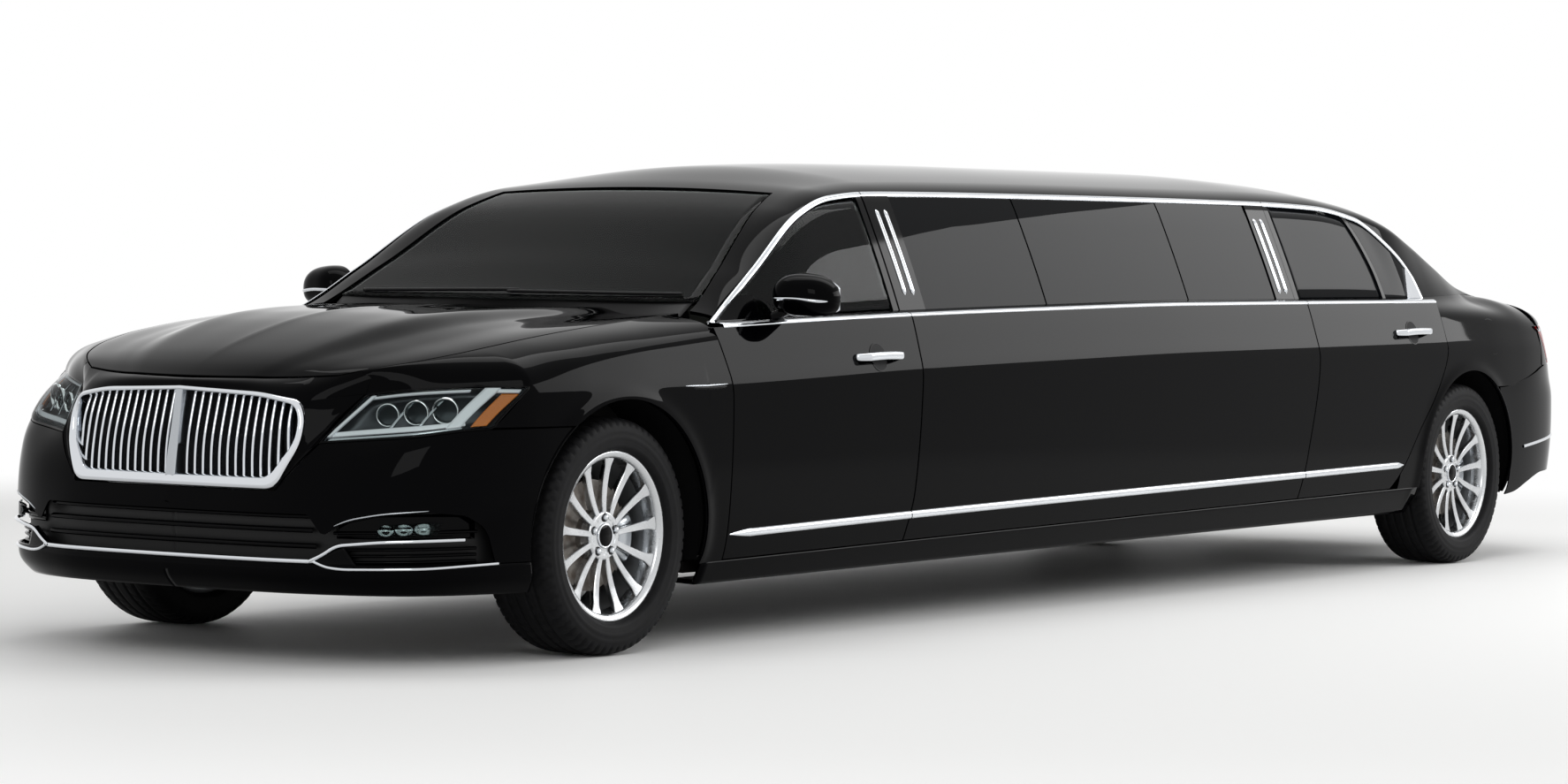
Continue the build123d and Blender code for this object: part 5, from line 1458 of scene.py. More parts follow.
# %% Headlamp
def coons(low, high, start, stop):
    """Patch between four edges: the sheet ruled one way plus the sheet ruled the other way,
    less the flat sheet of the four corners."""
    u = np.linspace(0, 1, len(low))[None, :, None]
    v = np.linspace(0, 1, len(start))[:, None, None]
    a = low[None] * (1 - v) + high[None] * v
    b = start[:, None] * (1 - u) + stop[:, None] * u
    c = (low[0] * (1 - u) + low[-1] * u) * (1 - v) + (high[0] * (1 - u) + high[-1] * u) * v
    return a + b - c


lamp_run = np.linspace(run_lamp_in, run_lamp_out, 44)
lamp_low = nose(lamp_run, lamp_low_z(lamp_run) + GAP / 2)
lamp_out_t = np.linspace(0, 1, 24)
lamp_out_y = LAMP_OUT_LOW + (LAMP_END - LAMP_OUT_LOW) * lamp_out_t**1.15
lamp_out_z = 0.684 + (0.800 - 0.684) * lamp_out_t
lamp_out = side(lamp_out_y, lamp_out_z)
lamp_top = along(
    np.vstack([LAMP_TOP[:-1], (float(side_x(LAMP_END, 0.80)), LAMP_END, 0.80)]), 44
) + (0, FRONT_AXLE, -0.002)
lamp_in = ruled(lamp_low[0], lamp_top[0], 24)
lamp_out[0], lamp_out[-1] = lamp_low[-1], lamp_top[-1]
lens_grid = coons(lamp_low, lamp_top, lamp_in, lamp_out)
lens_u, lens_v = np.meshgrid(np.linspace(0, 1, 44), np.linspace(0, 1, 24))
belly = (np.sin(pi * lens_u) * np.sin(pi * lens_v))[..., None] * np.array((0.006, -0.012, 0.004))
lens_grid = lens_grid + belly


def in_lamp(u, v, deep):
    """Point behind the lens: the lens surface at (u, v) moved straight into the wing."""
    col, row = np.asarray(u) * 43, np.asarray(v) * 23
    c, r = np.clip(col.astype(int), 0, 42), np.clip(row.astype(int), 0, 22)
    fc, fr = (col - c)[..., None], (row - r)[..., None]
    flat = (lens_grid[r, c] * (1 - fc) * (1 - fr) + lens_grid[r, c + 1] * fc * (1 - fr)
            + lens_grid[r + 1, c] * (1 - fc) * fr + lens_grid[r + 1, c + 1] * fc * fr)
    return flat + np.asarray(deep)[..., None] * np.array((-0.55, 0.80, -0.12))


def lamp_patch(u, v, deep, rows=10, cols=30):
    """Grid between two lines given as functions of t in lamp coordinates."""
    t = np.linspace(0, 1, cols)
    uu, vv = ruled(u[0](t), u[1](t), rows), ruled(v[0](t), v[1](t), rows)
    return in_lamp(uu, vv, np.full(uu.shape, deep))


def barrel(centre_u, centre_v, radius, deep):
    """Projector: a chromed cup with a ring and a domed lens, turned about the lamp's own axis."""
    seat = in_lamp(np.array(centre_u), np.array(centre_v), np.array(deep))
    axis = np.array((0.42, -0.90, -0.02)) / np.linalg.norm((0.42, -0.90, -0.02))
    u = np.cross((0, 0, 1), axis)
    u /= np.linalg.norm(u)
    w = np.cross(axis, u)
    a = np.linspace(0, 2 * pi, 32, endpoint=False)[:, None]
    circle = np.cos(a) * u + np.sin(a) * w

    def turned(profile):
        """Profile of (radius, height) carried round the axis."""
        return np.stack([seat + circle * r * radius + axis * h * radius for r, h in profile])

    t = np.linspace(0, 1, 9)
    cup = turned([(1.30, 0.10), (1.28, 0.32), (1.18, 0.40), (1.10, 0.36), (1.02, 0.10), (0.98, -0.10)])
    dome = turned([(0.98 * cos(k * pi / 2), 0.55 * sin(k * pi / 2) - 0.10) for k in t])
    return cup, dome


pair("headlamp_lens", [lens_grid], lens, slot="lamp", middle=HEADLAMP_INSIDE)
bowl_u, bowl_v = np.meshgrid(np.linspace(0, 1, 44), np.linspace(0, 1, 20))
bowl_deep = 0.004 + 0.085 * (1 - (2 * bowl_u - 1) ** 8) * (1 - (2 * bowl_v - 1) ** 6)
pair("headlamp_bowl", [in_lamp(bowl_u, bowl_v, bowl_deep)], smoked, middle=HEADLAMP_INSIDE)
cups, domes = [], []
for centre, size in ((0.27, 0.027), (0.445, 0.029), (0.62, 0.031)):
    cup, dome = barrel(centre, 0.50, size, 0.045)
    cups.append(cup)
    domes.append(dome)
for hand, sign in (("left", 1), ("right", -1)):
    piece(
        f"headlamp_barrels_{hand}", [c * (sign, 1, 1) for c in cups], bowl, around=True,
        outward=(0, -1, 0)
    )
    piece(
        f"headlamp_projectors_{hand}", [d * (sign, 1, 1) for d in domes], lens, around=True,
        outward=(0, -1, 0)
    )


def level(value):
    """A line in lamp coordinates that stays at one value."""
    return lambda t: value + 0 * t


guide_low = lamp_patch(
    (lambda t: 0.02 + 0.80 * t, lambda t: 0.035 + 0.765 * t), (level(0.12), level(0.21)), 0.014, 5, 40
)
guide_up = lamp_patch(
    (lambda t: 0.715 + 0.030 * t, lambda t: 0.800 + 0.040 * t), (lambda t: 0.08 + 0.86 * t,) * 2, 0.014,
    5, 30
)
guide_top = lamp_patch((lambda t: 0.74 + 0.225 * t,) * 2, (level(0.875), level(0.94)), 0.013, 4, 24)
guide_in = lamp_patch(
    (lambda t: 0.012 + 0.045 * t, lambda t: 0.034 + 0.050 * t), (lambda t: 0.10 + 0.84 * t,) * 2, 0.012,
    4, 24
)
guide_over = lamp_patch((lambda t: 0.06 + 0.60 * t,) * 2, (level(0.905), level(0.94)), 0.012, 4, 40)
pair(
    "headlamp_light_guide", [guide_low, guide_up, guide_top, guide_in, guide_over], light_guide,
    thickness=0.006, middle=HEADLAMP_INSIDE
)
amber_patch = lamp_patch(
    (lambda t: 0.858 + 0.012 * t, lambda t: 0.950 + 0.022 * t), (lambda t: 0.07 + 0.76 * t,) * 2, 0.013,
    10, 24
)
pair("headlamp_amber", [amber_patch], amber, thickness=0.006, middle=HEADLAMP_INSIDE)
frame_low = lamp_patch((lambda t: 0.02 + 0.80 * t,) * 2, (level(0.03), level(0.09)), 0.012, 4, 40)
pair("headlamp_frame", [frame_low], satin_chrome, thickness=0.004, middle=HEADLAMP_INSIDE)
plates = [
    lamp_patch((level(d - 0.012), level(d + 0.012)), (lambda t: 0.22 + 0.60 * t,) * 2, 0.040, 4, 16)
    for d in (0.355, 0.535)
]
pair("headlamp_dividers", plates, satin_chrome, thickness=0.004, middle=HEADLAMP_INSIDE)
edge_line = np.concatenate([lamp_low, lamp_out[1:], lamp_top[::-1][1:], lamp_in[::-1][1:-1]])
edge_line = along(edge_line[::2], 150, closed=True)
pair(
    "headlamp_bezel",
    [moulding(np.vstack([edge_line, edge_line[:2]]), (0.45, -0.88, 0.15), 0.007, 0.003, sink=0.002)],
    gloss_black, middle=HEADLAMP_INSIDE
)
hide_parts("headlamps")
print("headlamp lens", lens_grid.shape)

# %% Fog lamps
def fog_lamp():
    """Three small bowls side by side behind one clear cover in the bumper pocket."""
    t = np.linspace(0, 1, 24)
    low, high = 0.376 + 0.003 * t, 0.408 + 0.009 * t
    x = 0.690 + 0.125 * t
    cover = nose(run_at_x(ruled(x - 0.004, x + 0.006, 8)), ruled(low, high, 8), out=-0.004)
    bowls = []
    for middle_x in (0.709, 0.750, 0.790):
        r, a = np.meshgrid(
            np.linspace(0.0, 1.0, 8), np.linspace(0, 2 * pi, 24, endpoint=False), indexing="ij"
        )
        bx = middle_x + 0.0185 * r * np.cos(a)
        bz = 0.3935 + 0.006 * (middle_x - 0.70) / 0.1 + 0.0155 * r * np.sin(a)
        bowls.append(nose(run_at_x(bx), bz, out=-0.006 - 0.022 * (1 - r**2)))
    return cover, bowls


fog_cover, fog_bowls = fog_lamp()
pair("fog_lamp_cover", [fog_cover], lens, thickness=0.002, middle=(0.2, FRONT_AXLE - 0.3, 0.37))
for hand, sign in (("left", 1), ("right", -1)):
    piece(
        f"fog_lamp_bowls_{hand}", [b * (sign, 1, 1) for b in fog_bowls], bowl, around=True,
        outward=(0, -1, 0)
    )
fog_house = nose(run_at_x(np.linspace(0.575, 0.87, 40)), level_rows(0.368, 0.440, 40, 8), out=-0.035)
pair("fog_lamp_housing", [fog_house], gloss_black, thickness=0.003, middle=(0.2, FRONT_AXLE - 0.3, 0.37))
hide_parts("front_bumper")
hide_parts("bonnet")

# %% [markdown]
# ## Side glass
# The side windows lie on the glasshouse surface, a few millimetres behind the pillars. The
# front doors have clearer glass; everything behind them is privacy glass. Behind each gap
# between two panes stands a black strip, which also hides the edge of the headlining.

# %% Window panes
def on_house(y, z, out=0.0):
    """Point of the leaning side at height z."""
    return house(y, house_g(y, z), out)


def pane(y_low, y_high, out=-0.004, low=0.011, top=-0.004, rows=8, cols=24):
    """Pane between two edges given as y against height, from the belt to the window's top."""
    y, z = field(y_low, y_high, shifted(belt_z, low), shifted(window_top, top), rows, cols)
    return on_house(y, z, out)


DOOR_FRAME_Y, PILLAR_Y, FIRST_PANE = 1.560, 1.592, 1.752
CENTRE_END, REAR_FRAME_Y, REAR_PANE = 4.118, 4.2665, 4.296
front_pane = pane(plumb(0.575), plumb(DOOR_FRAME_Y), cols=56)
pair("door_front_glass", [front_pane], door_glass, "door_front_{}", slot="clear_glass", thickness=0.004)
CENTRE_PANES = ((FIRST_PANE, 2.507), (2.515, 3.477), (3.485, CENTRE_END))
for number, (a, b) in enumerate(CENTRE_PANES, 1):
    pair(f"centre_pane_{number}", [pane(plumb(a), plumb(b))], privacy_glass, slot="dark_glass",
         thickness=0.004, edge=0.0008)
divider_y = curve((1.02, 4.975), (1.12, 4.965), (1.22, 4.935), (1.30, 4.895), (1.36, 4.85))
pair(
    "door_rear_pane", [pane(plumb(REAR_PANE), shifted(divider_y, -0.010))], privacy_glass, "door_rear_{}",
    slot="dark_glass", thickness=0.004
)
corner_t = np.linspace(0, 1, 40)
corner_y = 4.87 + (5.288 - 4.87) * corner_t
corner_low = on_house(
    divider_y(1.03) + 0.012 + (5.288 - divider_y(1.03) - 0.012) * corner_t, belt_z(5.1) + 0.011
)
corner_high = on_house(corner_y, window_top(corner_y) - 0.004)
side_t = np.linspace(0, 1, 16)
front_edge_z = float(belt_z(5.0)) + 0.011 + (
    float(window_top(4.87)) - 0.004 - float(belt_z(5.0)) - 0.011
) * side_t
corner_start = on_house(divider_y(front_edge_z) + 0.012, front_edge_z)
corner_stop = ruled(corner_low[-1], corner_high[-1], 16)
corner_start[0], corner_start[-1] = corner_low[0], corner_high[0]
pair(
    "door_rear_corner_pane", [coons(corner_low, corner_high, corner_start, corner_stop) - (0.004, 0, 0)],
    privacy_glass, "door_rear_{}", slot="dark_glass", thickness=0.004
)
print("panes:", 2 * (3 + len(CENTRE_PANES)))

# %% Window frames and black strips
def upright(y_a, y_b, out, cols=6, rows=20, top=0.010, low=-0.002):
    """Upright strip of a window frame."""
    return pane(plumb(y_a), plumb(y_b), out, low, top, rows, cols)


def top_band(y_a, y_b, out, drop=0.030, cols=60):
    """Strip of a window frame along the roof's edge."""
    y = np.linspace(y_a, y_b, cols)
    return on_house(y, ruled(np.maximum(window_top(y) - drop, belt_z(y)), window_top(y) + 0.010, 5), out)


pair(
    "door_front_frame",
    [top_band(0.575, PILLAR_Y - 0.006, -0.016), upright(DOOR_FRAME_Y - 0.004, PILLAR_Y - 0.0045, -0.002)],
    gloss_black, "door_front_{}", thickness=0.022, edge=0.001
)
pair(
    "pillar_cover_front", [upright(PILLAR_Y, FIRST_PANE - 0.006, 0.0, 10)], gloss_black, thickness=0.012,
    edge=0.001
)
pair(
    "pillar_cover_rear", [upright(CENTRE_END + 0.006, REAR_FRAME_Y - 0.005, 0.0, 10)], gloss_black,
    thickness=0.012, edge=0.001
)
backs = [upright(b - 0.02, a + 0.02, -0.014) for b, a in ((2.507, 2.515), (3.477, 3.485))]
pair("pane_joints", backs, seal, thickness=0.006)
pair(
    "centre_window_frame", [top_band(PILLAR_Y, REAR_FRAME_Y - 0.005, -0.016)], gloss_black,
    thickness=0.018
)
divider_z = np.linspace(float(belt_z(4.9)), float(window_top(4.87)) + 0.004, 20)
divider_at = divider_y(divider_z)
divider = np.stack(
    [on_house(divider_at + f, divider_z, -0.001) for f in np.linspace(-0.012, 0.013, 4)], 1
)
pair(
    "door_rear_frame",
    [
        top_band(REAR_FRAME_Y, 5.302, -0.016, 0.034, 90),
        upright(REAR_FRAME_Y, REAR_PANE + 0.004, -0.002), divider,
    ], gloss_black, "door_rear_{}", thickness=0.020, edge=0.001
)
print("frames made")

# %% [markdown]
# ## Bright trim
# One bright line runs round all the side windows. Along the belt it is a moulding that bridges
# the step from the door skin up to the glass. Each door carries its own length of it, so both
# mouldings are cut at the shut lines.

# %% Belt moulding and window surround
def belt_strip(y_a, y_b, cols):
    """Bridge from the top edge of the body side to the glass: a curve that swells outwards."""
    y = np.linspace(y_a, y_b, cols)
    low, high = side(y, belt_z(y) - 0.004, 0.0015), on_house(y, belt_z(y) + 0.014, 0.001)
    grid = bend_over(low, ways(0.1, 0, 1, y), high, ways(-1, 0, 0.25, y), 10)
    ends = grid[0] * (1, 1, 1) - (0.010, 0, 0.002)
    return np.concatenate([ends[None], grid])


def surround(y_a, y_b, cols):
    """Moulding along the top edge of the windows, with points closer where it bends."""
    y = np.linspace(y_a, y_b, cols)
    z = window_top(y) + 0.003
    path = on_house(y, z, -0.001)
    path = along(path, cols)
    return moulding(path, (1, 0, 0.55), 0.019, 0.0055, power=0.5)


for name, body, a, b, n in (
    ("door_front", "door_front_{}", 0.552, PILLAR_Y - 0.0045, 60),
    ("centre", "chassis", PILLAR_Y, REAR_FRAME_Y - 0.0045, 90),
    ("door_rear", "door_rear_{}", REAR_FRAME_Y, 5.306, 60)
):
    pair(
        f"{name}_belt_moulding", [belt_strip(a, b, n)], chrome, body, slot="chrome",
        middle=(0.7, FRONT_AXLE + (a + b) / 2, 0.95)
    )
    pair(
        f"{name}_window_surround", [surround(a, b if b < 5.3 else 5.300, n + 40)], chrome, body,
        slot="chrome", middle=(0.5, FRONT_AXLE + (a + b) / 2, 1.1)
    )
tri_t = np.linspace(0, 1, 12)
tri_a = on_house(5.16 + 0.135 * tri_t, belt_z(5.2) + 0.014, 0.002)
tri_y = 5.225 + 0.075 * tri_t
tri_b = on_house(tri_y, np.maximum(window_top(tri_y) - 0.004, belt_z(5.3) + 0.014), 0.002)
pair(
    "door_rear_bright_corner", [np.stack([tri_a * (1 - t) + tri_b * t for t in np.linspace(0, 1, 8)])],
    chrome, "door_rear_{}", slot="chrome", thickness=0.006, edge=0.001
)
bar_z = np.linspace(1.055, 1.335, 26)


def bright_bars(places, lean):
    """Upright bright bars between the middle windows."""
    grids = []
    for y in places:
        path = on_house(y + lean * (bar_z - 1.05), bar_z, 0.0)
        grids.append(moulding(path, (1, 0, 0.4), 0.017, 0.007, taper=0.05, power=0.6))
    return grids


pair(
    "pillar_bars_front", bright_bars((1.650, 1.700), -0.02), chrome, slot="chrome",
    middle=(0.4, FRONT_AXLE + 1.68, 1.1)
)
pair(
    "pillar_bars_rear", bright_bars((4.165, 4.215), -0.02), chrome, slot="chrome",
    middle=(0.4, FRONT_AXLE + 4.2, 1.1)
)

# %% Sill moulding and wing ornament
def side_strip(points, count, width, proud, out=0.0, **how):
    """Moulding on the body side along (y, z) points."""
    at = evenly(np.array(points, float), count)
    return moulding(side(at[:, 0], at[:, 1], out), (1, 0, 0.05), width, proud, **how)


sill_z = curve((0.52, 0.336), (1.53, 0.355), (4.2, 0.394), (4.97, 0.405))
gap_a, gap_b = 1.5285, 4.1655
for name, body, a, b in (
    ("door_front", "door_front_{}", 0.530, gap_a - 0.0025),
    ("centre", "chassis", gap_a + 0.0025, gap_b - 0.0025),
    ("door_rear", "door_rear_{}", gap_b + 0.0025, 4.955)
):
    y = np.linspace(a, b, 70)
    point = np.ones(70)
    if name == "door_front":
        point = np.clip((y - a) / 0.10, 0.05, 1) ** 0.7
    if name == "door_rear":
        point = np.clip((b - y) / 0.05, 0.08, 1) ** 0.7
    path = side(y, sill_z(y), -0.001)
    strip = moulding(path, (1, 0, 0.12), 0.026, 0.010, power=0.55)
    strip = path[:, None] + (strip - path[:, None]) * (1, 1, 1) * point[:, None, None]
    pair(
        f"{name}_sill_moulding", [strip], chrome, body, slot="chrome",
        middle=(0.7, FRONT_AXLE + (a + b) / 2, 0.36)
    )
fin = side_strip(((0.286, 0.790), (0.40, 0.7895), (0.509, 0.793)), 50, 0.0065, 0.006, taper=0.35)
vent = side_strip(((0.32, 0.7825), (0.44, 0.7825), (0.50, 0.7855)), 40, 0.010, 0.004, taper=0.3)
pair("wing_ornament", [fin], satin_chrome, slot="chrome", middle=(0.5, FRONT_AXLE + 0.4, 0.79))
pair("wing_ornament_vent", [vent], gloss_black, middle=(0.5, FRONT_AXLE + 0.4, 0.79))

# %% [markdown]
# ## Handles, mirrors and fuel flap
# A handle is a bright bar that stands off the door over a round dish for the fingers. The dish is not
# sunk into the door: a flat dark matte rubber disc lies on the skin there, its darkness painted shade of
# the recess, inside a thin ring of body paint. The mirror is a rounded shell, cut flat at the back for
# its glass, on a short foot.

# %% Tubes
def tube(path, widths, heights, up=(0, 0, 1), sides=16, power=1.0):
    """Closed section carried along a path: a superellipse with its own width and height at each
    point, upright along up, and drawn together at both ends."""
    path = np.asarray(path, float)
    way = frame_along(path)
    sideways = np.cross(np.broadcast_to(np.asarray(up, float), path.shape), way)
    sideways /= np.linalg.norm(sideways, axis=1, keepdims=True)
    up_way = np.cross(way, sideways)
    a = np.linspace(0, 2 * pi, sides, endpoint=False)[None, :, None]
    c, s = bent(np.cos(a), power), bent(np.sin(a), power)
    w, h = (np.broadcast_to(v, len(path)).astype(float)[:, None, None] / 2 for v in (widths, heights))
    rings = path[:, None] + sideways[:, None] * c * w + up_way[:, None] * s * h
    return np.concatenate([path[:1, None].repeat(sides, 1), rings, path[-1:, None].repeat(sides, 1)])


def disc(centre, normal, radius, rings=6, sides=40, dish=0.0, inner=0.0):
    """Round sheet whose depth follows dish (1 - r^2)."""
    n = np.asarray(normal, float) / np.linalg.norm(normal)
    u = np.cross(n, (0, 0, 1) if abs(n[2]) < 0.9 else (1, 0, 0))
    u /= np.linalg.norm(u)
    w = np.cross(n, u)
    r = np.linspace(inner, 1, rings)[:, None, None]
    a = np.linspace(0, 2 * pi, sides, endpoint=False)[None, :, None]
    return np.asarray(centre) + radius * r * (u * np.cos(a) + w * np.sin(a)) - n * dish * (1 - r**2)


# %% Door handles
def handle(y_a, y_b, z):
    """Bar that leaves the door in a quarter sine, runs level 30 mm out, and returns."""
    t = np.linspace(0, 1, 40)
    y = y_a + (y_b - y_a) * t
    off = 0.034 * np.clip(np.sin(pi * t) * 2.2, 0, 1) ** 0.7
    zz = z + 0.0125 * (y - y_a) + 0.004 * np.sin(pi * t)
    path = side(y, zz) + np.stack([off - 0.003, 0 * t, 0 * t], -1)
    return tube(
        path, 0.013 + 0.006 * np.sin(pi * t), 0.027 - 0.006 * (2 * t - 1) ** 4, power=0.75
    ), side(np.array((y_a + y_b) / 2), np.array(z))


for name, a, b, z in (("door_front", 1.215, 1.470, 0.862), ("door_rear", 4.900, 5.172, 0.908)):
    bar, seat = handle(a, b, z)
    pair(
        f"{name}_handle", [bar], chrome, name + "_{}", slot="chrome", around=True,
        middle=seat + (0.02, 0, 0)
    )
    n = np.array((1, 0, 0.30))
    edge_ring = disc(seat + n * 0.0012, n, 0.047, inner=0.93, rings=3)
    # Dark matte disc laid on the skin round the handle's seat: painted shade of the finger recess, which
    # is not cut in.
    dish = disc(seat + n * 0.0010, n, 0.044, dish=-0.0003)
    pair(f"{name}_handle_dish", [dish], seal, name + "_{}", around=True, outward=n)
    pair(f"{name}_handle_rim", [edge_ring], paint, name + "_{}", around=True, outward=n)
egg = np.linspace(0, 2 * pi, 80, endpoint=False)
egg_y = 5.725 + (0.075 + 0.006 * np.sin(egg)) * np.cos(egg)
egg_z = 0.888 + 0.068 * np.sin(egg)
egg_path = side(egg_y, egg_z, 0.0002)
flap_line = moulding(np.vstack([egg_path, egg_path[:2]]), (1, 0, 0.3), 0.0042, 0.0006)
piece("fuel_flap_line", [flap_line], seal, middle=(0.5, FRONT_AXLE + 5.7, 0.88))
print("handles made")

# %% Mirrors
def mirror_shell():
    """Housing as a row of closed sections from the foot outwards. Each is a superellipse, its
    front half deep and its rear half shallow, since the glass lies there."""
    t = np.linspace(0, 1, 36)[:, None]
    swell = np.sqrt(np.clip(1 - np.abs(2 * t - 1) ** 3.2, 0, 1))
    x = 0.864 + 0.206 * t
    z = 1.056 + 0.010 * np.sin(pi * t) - 0.010 * t
    high = 0.071 * swell * (1 - 0.14 * t)
    deep_front, deep_rear = 0.115 * swell * (1 - 0.34 * t), 0.024 * swell
    a = turn_of(40)[None]
    c, s = bent(np.cos(a), 0.85), bent(np.sin(a), 0.75)
    y = 0.905 + 0.02 * t + np.where(s < 0, s * deep_front, s * deep_rear)
    return xyz(x + 0 * a, y, z + c * high)


shell = mirror_shell()
pair(
    "mirror_shell", [shell], paint, "door_front_{}", slot="black_paint", around=True,
    middle=(0.965, FRONT_AXLE + 0.9, 1.055)
)
glass_t = np.linspace(0.07, 0.93, 24)[:, None]
glass_h = np.linspace(-1, 1, 14)[None, :]
glass_half = 0.058 * np.sqrt(np.clip(1 - np.abs(2 * glass_t - 1) ** 4, 0.02, 1)) * (1 - 0.14 * glass_t)
mirror_glass = xyz(
    0.868 + 0.200 * glass_t + 0 * glass_h, 0.9305 + 0.02 * glass_t + 0 * glass_h,
    1.056 + 0.010 * np.sin(pi * glass_t) - 0.010 * glass_t + glass_h * glass_half
)
pair(
    "mirror_glass", [mirror_glass], chrome, "door_front_{}", slot="chrome", outward=(0, 1, 0),
    thickness=0.003
)
t = np.linspace(0, 1, 30)
foot_path = xyz(0.862 + 0.07 * t, 0.865 + 0.03 * t, 0.990 + 0.035 * t)
arm = tube(foot_path, 0.075 - 0.02 * t, 0.030 - 0.004 * t, up=(0, 0, 1), power=0.7)
pair(
    "mirror_foot", [arm], gloss_black, "door_front_{}", around=True, middle=(0.9, FRONT_AXLE + 0.88, 1.0)
)
strip_path = shell[3:-2, 29]
signal = moulding(strip_path, (0.25, -0.75, -0.6), 0.011, 0.004, taper=0.15)
pair(
    "mirror_signal_strip", [signal], chrome, "door_front_{}", slot="chrome",
    middle=(0.96, FRONT_AXLE + 0.95, 1.1)
)
sail_y = np.linspace(0.578, 0.80, 16)
sail = on_house(
    sail_y,
    ruled(belt_z(sail_y) + 0.010, np.minimum(window_top(sail_y) - 0.004, belt_z(sail_y) + 0.085), 8),
    0.002
)
pair("mirror_sail", [sail], gloss_black, "door_front_{}", thickness=0.012, edge=0.001)
for hand in ("left", "right"):
    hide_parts(f"mirror_{hand}")
    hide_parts(f"glass_front_{hand}")
    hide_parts(f"glass_rear_{hand}")
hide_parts("side_windows")

# %% [markdown]
# ## Windscreen and rear window
# Both are bent sheets that carry on the roof's own surface. Round the edge of each is a black
# ceramic print that hides the glue, and the windscreen has a lobe of it behind the mirror.

# %% Windscreen and rear window
screen_u, screen_v = np.meshgrid(np.linspace(-1, 1, 41), np.linspace(0, 1, 24))


def screen_at(u, v, out=-0.003):
    """u across, v up: foot y = 0.585 + 0.075 u^2 and top y = SCREEN_TOP."""
    y = (0.585 + 0.075 * u**2) * (1 - v) + (SCREEN_TOP - 0.003) * v
    x = np.abs(u) * screen_half(y)
    p = house(y, g_of_x(y, x), out)
    p[..., 0] *= np.where(u < 0, -1, 1)
    return p


def back_at(u, v, out=-0.003):
    """Point of the rear window, u across and v up."""
    y = (BACK_TOP + 0.004) * v + (BACK_FOOT - 0.05 * u**2) * (1 - v)
    x = np.abs(u) * back_half(y)
    p = house(y, g_of_x(y, x), out)
    p[..., 0] *= np.where(u < 0, -1, 1)
    return p


def edge_bands(at, side_w, top_w, foot_w, out):
    """The four bands of a print along the edges of a window."""
    n = 40
    u, v = np.linspace(-1, 1, n), np.linspace(0, 1, n)
    return [
        at(*np.meshgrid(u, np.linspace(1 - top_w, 1, 5)), out),
        at(*np.meshgrid(u, np.linspace(0, foot_w, 5)), out),
        at(*np.meshgrid(np.linspace(-1, -1 + side_w, 5), v), out),
        at(*np.meshgrid(np.linspace(1 - side_w, 1, 5), v), out),
    ]


piece(
    "windscreen_glass", [screen_at(screen_u, screen_v)], screen_glass, slot="clear_glass",
    outward=(0, -1, 1), thickness=0.004
)
tab_u, tab_v = np.meshgrid(np.linspace(-0.11, 0.11, 16), np.linspace(0.83, 0.95, 8))
piece(
    "windscreen_print",
    [*edge_bands(screen_at, 0.035, 0.045, 0.05, -0.0085), screen_at(tab_u, tab_v, -0.0085)], gloss_black,
    outward=(0, -1, 1), thickness=0.001
)
piece(
    "rear_window_glass", [back_at(screen_u, screen_v)], privacy_glass, slot="dark_glass",
    outward=(0, 1, 1), thickness=0.004
)
piece(
    "rear_window_print", edge_bands(back_at, 0.04, 0.05, 0.06, -0.0085), gloss_black, outward=(0, 1, 1),
    thickness=0.001
)
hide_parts("windscreen")
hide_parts("rear_window")
cowl_u = np.linspace(-1, 1, 60)
cowl_front = bonnet_point(cowl_u * 0.985, np.full(60, 0.995), 0.022)
cowl_back = screen_at(cowl_u * 0.985, np.zeros(60), -0.006)
piece(
    "cowl_cover", [ruled(cowl_front, cowl_back + (0, 0.012, 0.004), 8)], moulded, outward=(0, -0.3, 1),
    thickness=0.006
)


def wiper(x_a, x_b, v_a, v_b):
    """Arm and blade that lie along the foot of the windscreen."""
    t = np.linspace(0, 1, 30)
    u = (x_a + (x_b - x_a) * t) / 0.71
    return tube(screen_at(u, v_a + (v_b - v_a) * t, 0.010), 0.010, 0.012, up=(0, -0.6, 0.8), sides=8)


piece(
    "wipers", [wiper(-0.60, 0.06, 0.030, 0.045), wiper(0.02, 0.64, 0.030, 0.045)], moulded, around=True,
    middle=(0, FRONT_AXLE + 0.9, 0.6)
)
print("screens made")

# %% [markdown]
# ## Wheels
# Each wheel is a cast alloy one with thirteen flat spokes, turned bright on its face, in a low
# tyre. A tyre is one closed profile spun round the axle, so it could be a Screw modifier, but
# its tread blocks need the depth to change with the angle, which a formula gives directly.

# %% Four wheels from one drawing
CORNERS = [
    (end, hand, sign, axle) for end, axle in (("front", 0.0), ("rear", WHEELBASE))
    for hand, sign in (("left", 1), ("right", -1))
]


def four(name, grids, finish, body="wheel_{}_{}", slot=None, **how):
    """The same piece on all four corners. Local points are (out, y, z) from the wheel's middle,
    with out towards the outside of the car."""
    for end, hand, sign, axle in CORNERS:
        place = np.array((sign * WHEEL_X, FRONT_AXLE + axle, AXLE_HEIGHT))
        moved = [np.asarray(g) * (sign, 1, 1) + place for g in grids]
        spec = dict(how)
        if spec.get("outward") is not None:
            spec["outward"] = np.array(spec["outward"]) * (sign, 1, 1)
        if spec.get("middle") is not None:
            spec["middle"] = np.array(spec["middle"]) * (sign, 1, 1) + place
        piece(f"{name}_{end}_{hand}", moved, finish, body.format(end, hand), slot, **spec)


def spun(out, radius, steps, closed=True):
    """Profile of (out, radius), each an array or an array against angle, round the axle."""
    a = turn_of(steps)
    out, radius = np.broadcast_arrays(np.asarray(out)[..., None] if np.ndim(out) == 1 else out,
                                      np.asarray(radius)[..., None] if np.ndim(radius) == 1 else radius)
    out, radius = (np.broadcast_to(v, (len(v), steps)) for v in (out, radius))
    grid = np.stack([out, radius * np.cos(a), radius * np.sin(a)], -1)
    return np.concatenate([grid, grid[:1]]) if closed else grid


# %% Tyre
TYRE_HALF, TYRE_STEPS = TYRE_WIDTH / 2, 320
CROSS_GROOVES = 64
